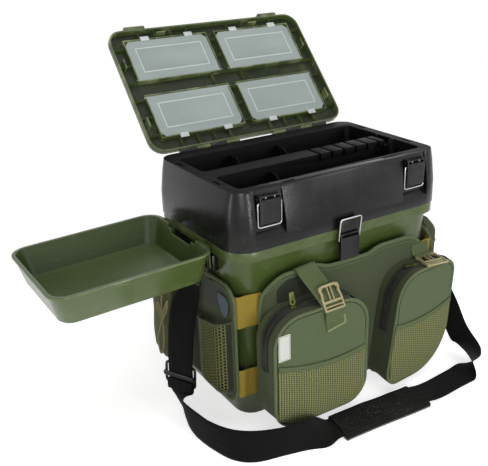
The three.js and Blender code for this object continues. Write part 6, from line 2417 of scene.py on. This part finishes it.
@dataclass(frozen=True)
class BottlePocket:
    """Open netting pocket on the left side, with its bound mouth and the arched flap over it."""

    front: float = -0.116
    rear: float = -0.030
    depth: float = 0.024
    low: float = 0.058
    top: float = 0.196
    radius: float = 0.0235
    flap_top: float = 0.238
    curl: float = 0.020
    netted: Pair = (0.13, 0.61)
    tongue: tuple[Triple, ...] = (
        (-0.078, 0.2290, 0.006),
        (-0.1115, 0.2275, 0.010),
        (-0.1095, 0.2060, 0.010),
        (-0.101, 0.1900, 0.006),
        (-0.089, 0.2000, 0.008),
    )

    def wall_top(self, share: float) -> float:
        """Height of the wall's mouth at a share of its line, from the front to the rear."""
        return self.top - 0.004 - 0.024 * share

    def round_wall(self, count: int) -> list[Vector]:
        """The wall's line from the front end round to the rear end.

        Args:
            count: how many points to give back.

        Returns:
            The line.
        """
        points = side_outline(-1, self.front, self.rear, self.depth, self.radius, 160)
        outer = [point for point in points if point.x < -0.2045]
        return resampled(round_the_side(outer, (self.front + self.rear) / 2), count)

    def netting(self) -> None:
        """Netting wall with cloth ends and foot, its floor and its bound edges."""
        line = self.round_wall(61)
        spans = len(line) - 1
        centre = Vector((-0.2045, (self.front + self.rear) / 2, 0.0))
        rows, rings = 36, []
        for row in range(rows + 1):
            share = row / rows
            ring = []
            for index, point in enumerate(line):
                height = self.low + (self.wall_top(index / spans) - self.low) * share
                drop = max(1 - (height - self.low) / self.curl, 0.0)
                drawn = 0.55 + 0.45 * math.sqrt(1 - drop * drop)
                ripple = noise.noise(Vector((index * 0.22, row * 0.21, 4.0)))
                slack = 0.0012 * ripple * math.sin(math.pi * share)
                spot = centre + (point - centre) * (drawn + slack / 0.03)
                ring.append(Vector((min(spot.x, -0.2038), spot.y, height)))
            rings.append(ring)
        net = skin("left_bottle_netting", rings, around=False)
        outward(net)
        covered(net, DARK_NETTING, "left_bottle_pocket")

        def in_front(polygon: Face) -> bool:
            """Whether a face is in the cloth before the netting, which is painted near-black as deep shade.
            """
            return polygon.index % spans / spans <= self.netted[0]

        def behind(polygon: Face) -> bool:
            """Whether a face is in the cloth below or behind the netting."""
            row, column = divmod(polygon.index, spans)
            return column / spans > self.netted[0] and (row < 4 or column / spans >= self.netted[1])

        # The cloth before the netting takes the near-black copy as painted deep shade.
        CLOTH_DEEP_SHADE.add_to(net, in_front)
        # The cloth foot and rear end take the darker copy as painted shade.
        NET_SHADE_CLOTH.add_to(net, behind)
        floor_line = [centre + (point - centre) * 0.56 for point in line]
        floor_line = [Vector((min(p.x, -0.2040), p.y, p.z)) + UP * (self.low + 0.001) for p in floor_line]
        floor = crowned_slab("left_bottle_floor", resampled(floor_line, 50, True), UP, 0.0018, 0.0, 0.0008)
        # The pocket's floor inside takes the darker copy as painted shade.
        covered(floor, NET_SHADE_CLOTH)
        # The mouth binding and end edges take the darker cloth copy as painted shade.
        mouth = tube("left_bottle_binding", rings[-1], 0.0019, False, 10, 0.8, RIGHT)
        covered(mouth, CLOTH_SHADED)
        paths = [[ring[index] + Vector((-0.0010, 0, 0)) for ring in rings] for index in (0, -1)]
        ends = [tube("edge", path, 0.0020, False, 10, 0.7, RIGHT) for path in paths]
        covered(joined("left_bottle_edges", ends), CLOTH_SHADED)

    def flap(self) -> None:
        """Arched flap of grey lining with its binding."""
        low = (self.front, self.top + 0.0003)
        corners = rectangle(low, (self.rear, self.flap_top), 0.003, (self.rear - self.front) / 3)
        outline = upright(rounded_polygon(corners), "X", -PANEL_SIDE, 90)
        flap = crowned_slab("left_bottle_flap_lining", outline, -RIGHT, 0.0022, 0.0006, 0.0012)
        covered(flap, LINING, "left_bottle_flap")
        arch = [point + Vector((-0.0014, 0, 0)) for point in outline if point.z > self.top + 0.004]
        start = min(range(len(arch)), key=lambda i: (arch[i].y < -0.07, arch[i].z))
        arch = [point for point in arch[start:] + arch[:start] if point.y < -0.062]
        # The flap binding takes the darker cloth copy as painted shade.
        binding = tube("left_flap_binding", arch, 0.0022, False, 10, 0.65, RIGHT)
        covered(binding, CLOTH_SHADED)
        tongue_line = upright(rounded_polygon(self.tongue), "X", -0.2078, 70)
        tongue = crowned_slab("left_bottle_tongue", tongue_line, -RIGHT, 0.0014, 0.0014, 0.0016)
        covered(tongue, LINING_GREY)

    def build(self) -> None:
        """Build the bottle pocket."""
        self.netting()
        self.flap()
        LOG.info("bottle pocket: netting, floor, bindings, flap")


@dataclass(frozen=True)
class GatheredPouch:
    """Pouch on the left side whose neck is drawn in by a tied cord."""

    front: float = 0.029
    rear: float = 0.112
    depth: float = 0.044
    low: float = 0.046
    top: float = 0.226
    radius: float = 0.026
    pleats: int = 13
    neck: float = 0.86
    stops: tuple[Pair, ...] = (
        (0.0, 0.60), (0.035, 0.76), (0.125, 0.88), (0.35, 0.89), (0.60, 0.86),
        (0.72, 0.78), (0.80, 0.66), (0.86, 0.60), (0.93, 0.72), (1.0, 0.78),
    )
    cord_radius: float = 0.0018
    knot: Triple = (-0.2434, 0.0463, 0.1358)
    cord_route: tuple[Triple, ...] = (
        (-0.2385, 0.0512, 0.1860), (-0.2432, 0.0490, 0.1620), (-0.2434, 0.0463, 0.1370),
        (-0.2448, 0.0500, 0.1480), (-0.2452, 0.0561, 0.1642), (-0.2455, 0.0612, 0.1560),
        (-0.2450, 0.0545, 0.1420), (-0.2450, 0.0465, 0.1355), (-0.2452, 0.0400, 0.1500),
        (-0.2440, 0.0310, 0.1700), (-0.2430, 0.0262, 0.1775), (-0.2440, 0.0290, 0.1600),
        (-0.2452, 0.0395, 0.1420), (-0.2462, 0.0463, 0.1348), (-0.2462, 0.0540, 0.1180),
        (-0.2466, 0.0640, 0.0972), (-0.2468, 0.0645, 0.0800), (-0.2468, 0.0590, 0.0660),
        (-0.2468, 0.0490, 0.0780), (-0.2464, 0.0411, 0.1050), (-0.2460, 0.0430, 0.1270),
        (-0.2458, 0.0463, 0.1345),
    )

    def share_at(self, z: float) -> float:
        """Breadth of the pouch at a height, as a share of its full breadth.

        Args:
            z: the height.

        Returns:
            The share, smooth between the stops.
        """
        t = (z - self.low) / (self.top - self.low)
        for (a, narrow), (b, broad) in zip(self.stops, self.stops[1:]):
            if t <= b:
                s = (t - a) / (b - a)
                return narrow + (broad - narrow) * s * s * (3 - 2 * s)
        return self.stops[-1][1]

    def ring(self, z: float, grow: float = 0.0) -> list[Vector]:
        """Ring of the pouch's cloth at a height, with its pleats.

        Args:
            z: the height.
            grow: extra breadth in metres.

        Returns:
            The ring.
        """
        outline = side_outline(-1, self.front, self.rear, self.depth, self.radius, 156)
        middle = Vector((-PANEL_SIDE, (self.front + self.rear) / 2, 0.0))
        share = self.share_at(z)
        near_neck = min(max((z - 0.150) / 0.045, 0.0), 1.0)
        near_foot = min(max((0.075 - z) / 0.02, 0.0), 1.0)
        gather = near_neck * 0.0032 + near_foot * 0.0012
        ring = []
        for index, point in enumerate(outline):
            arm = (point - middle) * share
            angle = TURN * index / len(outline)
            fold = math.sin(self.pleats * angle + 1.1 * math.sin(3 * angle)) * gather
            slack = 0.0020 * noise.noise(Vector((math.cos(angle) * 1.6, math.sin(angle) * 1.6, z * 26)))
            reach = arm.length
            arm = arm * ((reach + fold + slack + grow - gather) / reach) if reach else arm
            spot = middle + arm
            ring.append(Vector((min(spot.x, -PANEL_SIDE), spot.y, z)))
        return ring

    def cloth(self) -> None:
        """Pouch cloth, closed over what it holds, with its hem."""
        rows = 44
        rings = [self.ring(self.low + (self.top - self.low) * row / rows) for row in range(rows + 1)]
        inner_rows = 8
        for row in range(1, inner_rows + 1):
            z = self.top - 0.016 * row / inner_rows
            hub, share = Vector((-0.216, 0.0705, z)), 0.05 + 0.06 * row
            inner = [Vector((min(p.x + 0.002, -0.2034), p.y, p.z)) for p in self.ring(z)]
            rings.append([point.lerp(hub, share) for point in inner])
        pouch = outward(skin("left_pouch_cloth", rings))
        covered(pouch, POUCH_CLOTH, "left_drawstring_pouch")
        hem = tube("left_pouch_hem", self.ring(self.top - 0.0008), 0.0014, True, 8)
        covered(hem, POUCH_CLOTH)

    def cord(self) -> None:
        """Thin cord round the neck, tied in a bow in front."""
        neck_z = self.low + (self.top - self.low) * self.neck
        outer = round_the_side([p for p in self.ring(neck_z, 0.0014) if p.x < -0.2065], 0.0705)
        loop = resampled([middle_of(outer[i:i + 9]) for i in range(0, len(outer) - 4, 3)], 26)
        tie = min(range(len(loop)), key=lambda i: abs(loop[i].y - 0.054))
        wrap = tube("left_pouch_drawcord", curve_through(loop, 3), self.cord_radius, False, 8)
        covered(wrap, POUCH_CORD)
        route = [loop[tie] + Vector((-0.0018, 0.0, 0.0)), *[Vector(place) for place in self.cord_route]]
        path = curve_through(route, 6)
        bow = tube("left_pouch_bow", path, self.cord_radius, False, 8)
        covered(bow, POUCH_CORD)
        bpy.ops.mesh.primitive_uv_sphere_add(segments=14, ring_count=9, radius=0.0040, location=self.knot)
        lump = settled(bpy.context.view_layer.objects.active)
        lump.name = "left_pouch_knot"
        wrinkled(lump, lambda spot: 0.0008, 400, 3.0)
        covered(lump, POUCH_CORD)

    def build(self) -> None:
        """Build the pouch."""
        self.cloth()
        self.cord()
        LOG.info("drawstring pouch: cloth, hem, cord and bow")


@dataclass(frozen=True)
class RightPocket:
    """Plain pocket on the right side."""

    front: float = -0.104
    rear: float = -0.034
    depth: float = 0.026
    low: float = 0.044
    top: float = 0.252
    radius: float = 0.012

    def share_at(self, z: float) -> float:
        """Breadth of the pocket at a height, as a share of its full breadth.

        Args:
            z: the height.

        Returns:
            The share.
        """
        low_run = min((z - self.low) / self.radius, 1.0)
        high_run = min((self.top - z) / (2 * self.radius), 1.0)
        return 0.62 + 0.38 * min(math.sin(low_run * QUARTER), math.sin(high_run * QUARTER))

    def build(self) -> None:
        """Build the pocket and its binding."""
        outline = side_outline(1, self.front, self.rear, self.depth, self.radius, 120)
        middle = Vector((PANEL_SIDE, (self.front + self.rear) / 2, 0.0))
        rows, rings = 48, []
        for row in range(rows + 1):
            z = self.low + (self.top - self.low) * row / rows
            share = self.share_at(z)
            rings.append([middle + (point - middle) * share + UP * z for point in outline])
        pocket = outward(skin("right_side_pocket_cloth", rings))
        wrinkled(pocket, lambda spot: 0.0010 if spot.x > 0.2045 else 0.0, 24, 6.0)
        laid_out(pocket)
        # The side pocket takes the darker cloth copy as painted shade.
        covered(pocket, CLOTH_SHADED, "right_side_pocket")
        z = self.top - 0.040
        share, outer = self.share_at(z) + 0.006, [point for point in outline if point.x > 0.2040]
        rim = round_the_side([middle + (point - middle) * share + UP * z for point in outer], middle.y)
        rim = resampled(rim, 60)
        covered(tube("right_side_pocket_binding", rim, 0.0024, False, 10, 0.6, RIGHT), BINDING)
        LOG.info("right side pocket: cloth and binding")


# Shoulder strap

STRAP_ROUTE: tuple[tuple[Triple, Triple], ...] = (
    ((-0.2095, 0.0, 0.2134), (0.0, 1.0, 0.0)),
    ((-0.210, 0.0, 0.209), (0.0, 1.0, 0.0)),
    ((-0.215, 0.0, 0.200), (-0.20, 0.98, 0.0)),
    ((-0.228, -0.001, 0.170), (-0.50, 0.87, 0.0)),
    ((-0.238, -0.004, 0.120), (-0.50, 0.87, 0.0)),
    ((-0.244, -0.008, 0.075), (-0.45, 0.89, 0.0)),
    ((-0.246, -0.0115, 0.034), (-0.45, 0.89, 0.0)),
    ((-0.251, -0.021, 0.024), (0.0, 0.85, -0.5)),
    ((-0.258, -0.036, 0.0228), (0.25, 0.5, -0.8)),
    ((-0.265, -0.054, 0.024), (0.2, 0.15, -0.95)),
    ((-0.269, -0.076, 0.0244), (0.1, 0.0, -1.0)),
    ((-0.268, -0.105, 0.0244), (0.0, 0.0, -1.0)),
    ((-0.262, -0.140, 0.0244), (0.0, -0.2, -0.97)),
    ((-0.247, -0.175, 0.0242), (-0.1, -0.25, -0.96)),
    ((-0.220, -0.198, 0.024), (-0.15, -0.22, -0.96)),
    ((-0.178, -0.212, 0.0242), (0.0, -0.1, -0.99)),
    ((-0.138, -0.219, 0.023), (0.0, -0.25, -0.95)),
    ((-0.110, -0.216, 0.015), (-0.1, -0.8, -0.55)),
    ((-0.093, -0.212, 0.0088), (-0.2, -0.97, -0.12)),
    ((-0.078, -0.2115, 0.0074), (-0.15, -0.98, 0.0)),
    ((-0.020, -0.213, 0.0074), (-0.03, -1.0, 0.0)),
    ((0.040, -0.217, 0.0074), (0.0, -1.0, 0.0)),
    ((0.085, -0.219, 0.0074), (0.0, -1.0, 0.0)),
    ((0.104, -0.219, 0.0042), (0.0, -1.0, 0.0)),
    ((0.130, -0.217, 0.0016), (0.0, -1.0, 0.0)),
    ((0.165, -0.214, 0.0016), (0.0, -1.0, 0.0)),
    ((0.190, -0.213, 0.0024), (0.0, -1.0, -0.03)),
    ((0.206, -0.213, 0.0052), (-0.1, -0.99, -0.05)),
    ((0.222, -0.210, 0.010), (-0.5, -0.75, 0.35)),
    ((0.236, -0.200, 0.018), (-0.8, -0.2, 0.55)),
    ((0.243, -0.185, 0.025), (-0.75, 0.45, 0.4)),
    ((0.245, -0.168, 0.034), (-0.4, 0.85, -0.2)),
    ((0.243, -0.148, 0.056), (-0.15, 0.9, -0.4)),
    ((0.242, -0.120, 0.100), (-0.08, 0.93, -0.38)),
    ((0.243, -0.072, 0.150), (0.0, 0.8, -0.55)),
    ((0.242, -0.036, 0.180), (0.0, 0.8, -0.5)),
    ((0.228, -0.014, 0.197), (0.0, 0.9, -0.4)),
    ((0.211, -0.001, 0.207), (0.0, 0.99, -0.1)),
    ((0.2095, 0.0, 0.2134), (0.0, 1.0, 0.0)),
)


@dataclass(frozen=True)
class ShoulderStrap:
    """Black webbing from ring to ring over the ground, with its glide, pad and ring loops."""

    width: float = 0.048
    thickness: float = 0.0022
    glide_width: float = 0.062
    glide_height: float = 0.040
    glide_spot: Triple = (-0.245, -0.0097, 0.055)
    glide_wide: Triple = (-0.45, 0.89, 0.0)
    glide_long: Triple = (0.05, 0.085, 1.0)
    pad_from: int = 19
    pad_to: int = 22
    pad_width: float = 0.060
    sleeve_outer: tuple[Pair, ...] = (
        (-0.0302, 0.0043), (-0.0302, 0.0062), (-0.0285, 0.0086), (-0.0255, 0.0098), (-0.0130, 0.0104),
    )
    sleeve_inner: tuple[Pair, ...] = (
        (-0.0120, 0.0092), (-0.0250, 0.0088), (-0.0278, 0.0078), (-0.0288, 0.0060), (-0.0288, 0.0043),
    )
    ring_out: float = 0.2095
    ring_top: float = 0.238
    ring_wire: float = 0.002
    loop_thickness: float = 0.002
    loop_half: float = 0.020

    def stations(self, steps: int = 6) -> list[Station]:
        """Smooth stations of the whole strap.

        Args:
            steps: chords between each two places of its route.

        Returns:
            The stations.
        """
        centres = curve_through([Vector(at) for at, _ in STRAP_ROUTE], steps)
        wides = curve_through([Vector(wide) for _, wide in STRAP_ROUTE], steps)
        return [(centre, wide.normalized()) for centre, wide in zip(centres, wides)]

    def strap(self) -> Piece:
        """The strap's webbing."""
        strap = band("shoulder_strap_webbing", self.stations(), self.width, self.thickness)
        return covered(strap, STRAP, "shoulder_strap")

    def glide(self) -> Piece:
        """Glide on the strap, with the webbing turned over its middle bar and sewn below.

        Returns:
            The glide's frame.
        """
        wide = Vector(self.glide_wide).normalized()
        along = Vector(self.glide_long)
        along = (along - wide * along.dot(wide)).normalized()
        out = Vector((-wide.y, wide.x, 0.0)).normalized()
        gap = self.thickness / 2 + 0.0018
        spot = Vector(self.glide_spot) + wide * 0.003
        centre, behind = spot + out * gap, spot - out * gap
        half_w, half_h, bend = self.glide_width / 2 - 0.0024, self.glide_height / 2 - 0.0024, 0.005
        shape = rounded_polygon(rectangle((-half_w, -half_h), (half_w, half_h), bend), 6)
        path = resampled([behind + wide * a + along * b for a, b in shape], 90, True)
        parts = [tube("glide_frame", path, 0.0025, True, 12, 0.75, out)]
        bar_path = [centre + wide * (half_w * (2 * step / 12 - 1)) for step in range(13)]
        parts.append(tube("glide_bar", bar_path, 0.0048, False, 12, 0.34, out))
        for end in (-half_w, half_w):
            post = [behind.lerp(centre, step / 4) + wide * end for step in range(5)]
            parts.append(tube("glide_post", post, 0.0024, False, 12, 1.6, along))
        glide = joined("strap_glide_frame", parts)
        covered(glide, LATCH_BLACK, "strap_glide")
        under = []
        for step in range(13):
            share = step / 12
            lift = 0.0024 + 0.0004 * math.sin(share * math.pi) - 0.0014 * share
            under.append((centre - wide * 0.003 + along * (-0.0052 - 0.0200 * share) + out * lift, wide))
        sewn = band("glide_webbing_end", under, self.width, 0.0018)
        covered(sewn, STRAP)
        end, _ = under[-1]
        sides = (-0.021, -0.007, 0.007, 0.021)
        edge = [end + wide * aside + out * 0.0011 + along * 0.0035 for aside in sides]
        covered(stitches("glide_end_stitches", edge, 0.0036, False), THREAD_BLACK)
        return glide

    def pad(self) -> list[Piece]:
        """Pad under the strap: a grey foam layer and the black sleeve that holds the strap.

        Returns:
            The foam, the sleeve and its seams.
        """
        steps = 6
        route = self.stations(steps)[self.pad_from * steps:self.pad_to * steps + 1]
        flat = []
        for centre, wide in route:
            flat.append((Vector((centre.x, centre.y, 0.0)), Vector((wide.x, wide.y, 0.0)).normalized()))
        layer = [(centre + UP * 0.0022, wide) for centre, wide in flat]
        foam = band("shoulder_pad_foam", layer, self.pad_width, 0.0042)
        covered(foam, PAD_FOAM, "shoulder_pad")
        section = [*self.sleeve_outer, *[(-a, b) for a, b in self.sleeve_outer[::-1]]]
        section += [*[(-a, b) for a, b in self.sleeve_inner[::-1]], *self.sleeve_inner]
        rings = []
        count = len(flat)
        for index, (centre, wide) in enumerate(flat):
            ripple = 0.0005 * math.sin(index * 1.1) * math.sin(math.pi * index / count)
            rings.append([centre + wide * a + UP * (b + ripple * (b > 0.008)) for a, b in section])
        sleeve = outward(skin("shoulder_pad_sleeve", rings))
        covered(sleeve, PAD_CLOTH)
        seams = []
        for edge in (-0.0262, 0.0262):
            line = [centre + wide * edge + UP * 0.0101 for centre, wide in flat]
            seams.append(stitches("seam", line, 0.004))
        seam = covered(joined("shoulder_pad_seams", seams), THREAD_BLACK)
        return [foam, sleeve, seam]

    def ring_loop(self, side: Side) -> None:
        """Webbing loop sewn to the side panel, which holds a ring's upper bar.

        Args:
            side: which side.
        """
        round_bar = self.ring_wire + 0.0003 + self.loop_thickness / 2
        flat = PANEL_SIDE + self.loop_thickness / 2
        out, top = self.ring_out, self.ring_top
        path = [(flat, top - 0.016), (flat, top - 0.009), (out - round_bar, top - 0.002)]
        for step in range(11):
            angle = QUARTER * 2 * (1 - step / 10)
            path.append((out + round_bar * math.cos(angle), top + round_bar * math.sin(angle)))
        path.append((out + round_bar, top - 0.002))
        path.append((out + round_bar - self.loop_thickness, top - 0.007))
        stations = [(Vector((side.value * x, 0.0, z)), BACK) for x, z in path]
        loop = band(f"{side.word}_ring_loop_webbing", stations, 2 * self.loop_half, self.loop_thickness)
        covered(loop, STRAP, f"{side.word}_ring_loop")

    def build(self) -> None:
        """Build the strap and all that is on it."""
        strap = self.strap()
        glide = self.glide()
        pad = self.pad()
        for side in Side:
            self.ring_loop(side)
        centres = [centre for centre, _ in self.stations()]


# Putting it together


def save_sizes() -> None:
    """Bring the view layer up to date.
    """
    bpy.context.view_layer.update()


def main() -> None:
    """Build the studio and every piece of the box."""
    logging.basicConfig(level=logging.INFO, format="%(name)s: %(message)s")
    Studio().build()
    ShoulderStrap().build()
    HardParts().build()
    Carrier().build()
    FrontPocket(
        Side.LEFT,
        ((-0.177, 0.020, 0.040), (0.001, 0.020, 0.040), (0.001, 0.210, 0.048), (-0.177, 0.210, 0.048)),
        (0.137, 0.117, 0.121), 0.0, (0.118, 0.150), seed=2.0,
    ).build()
    FrontPocket(
        Side.RIGHT,
        ((0.043, 0.016, 0.024), (0.188, 0.016, 0.084), (0.203, 0.212, 0.024), (0.071, 0.212, 0.052)),
        (0.131, 0.125, 0.139), math.tan(math.radians(5)), (0.110, 0.170), seed=5.0,
    ).build()
    BareLabel().build()
    Fastenings().build()
    BottlePocket().build()
    GatheredPouch().build()
    RightPocket().build()
    save_sizes()


if __name__ == "__main__":
    main()
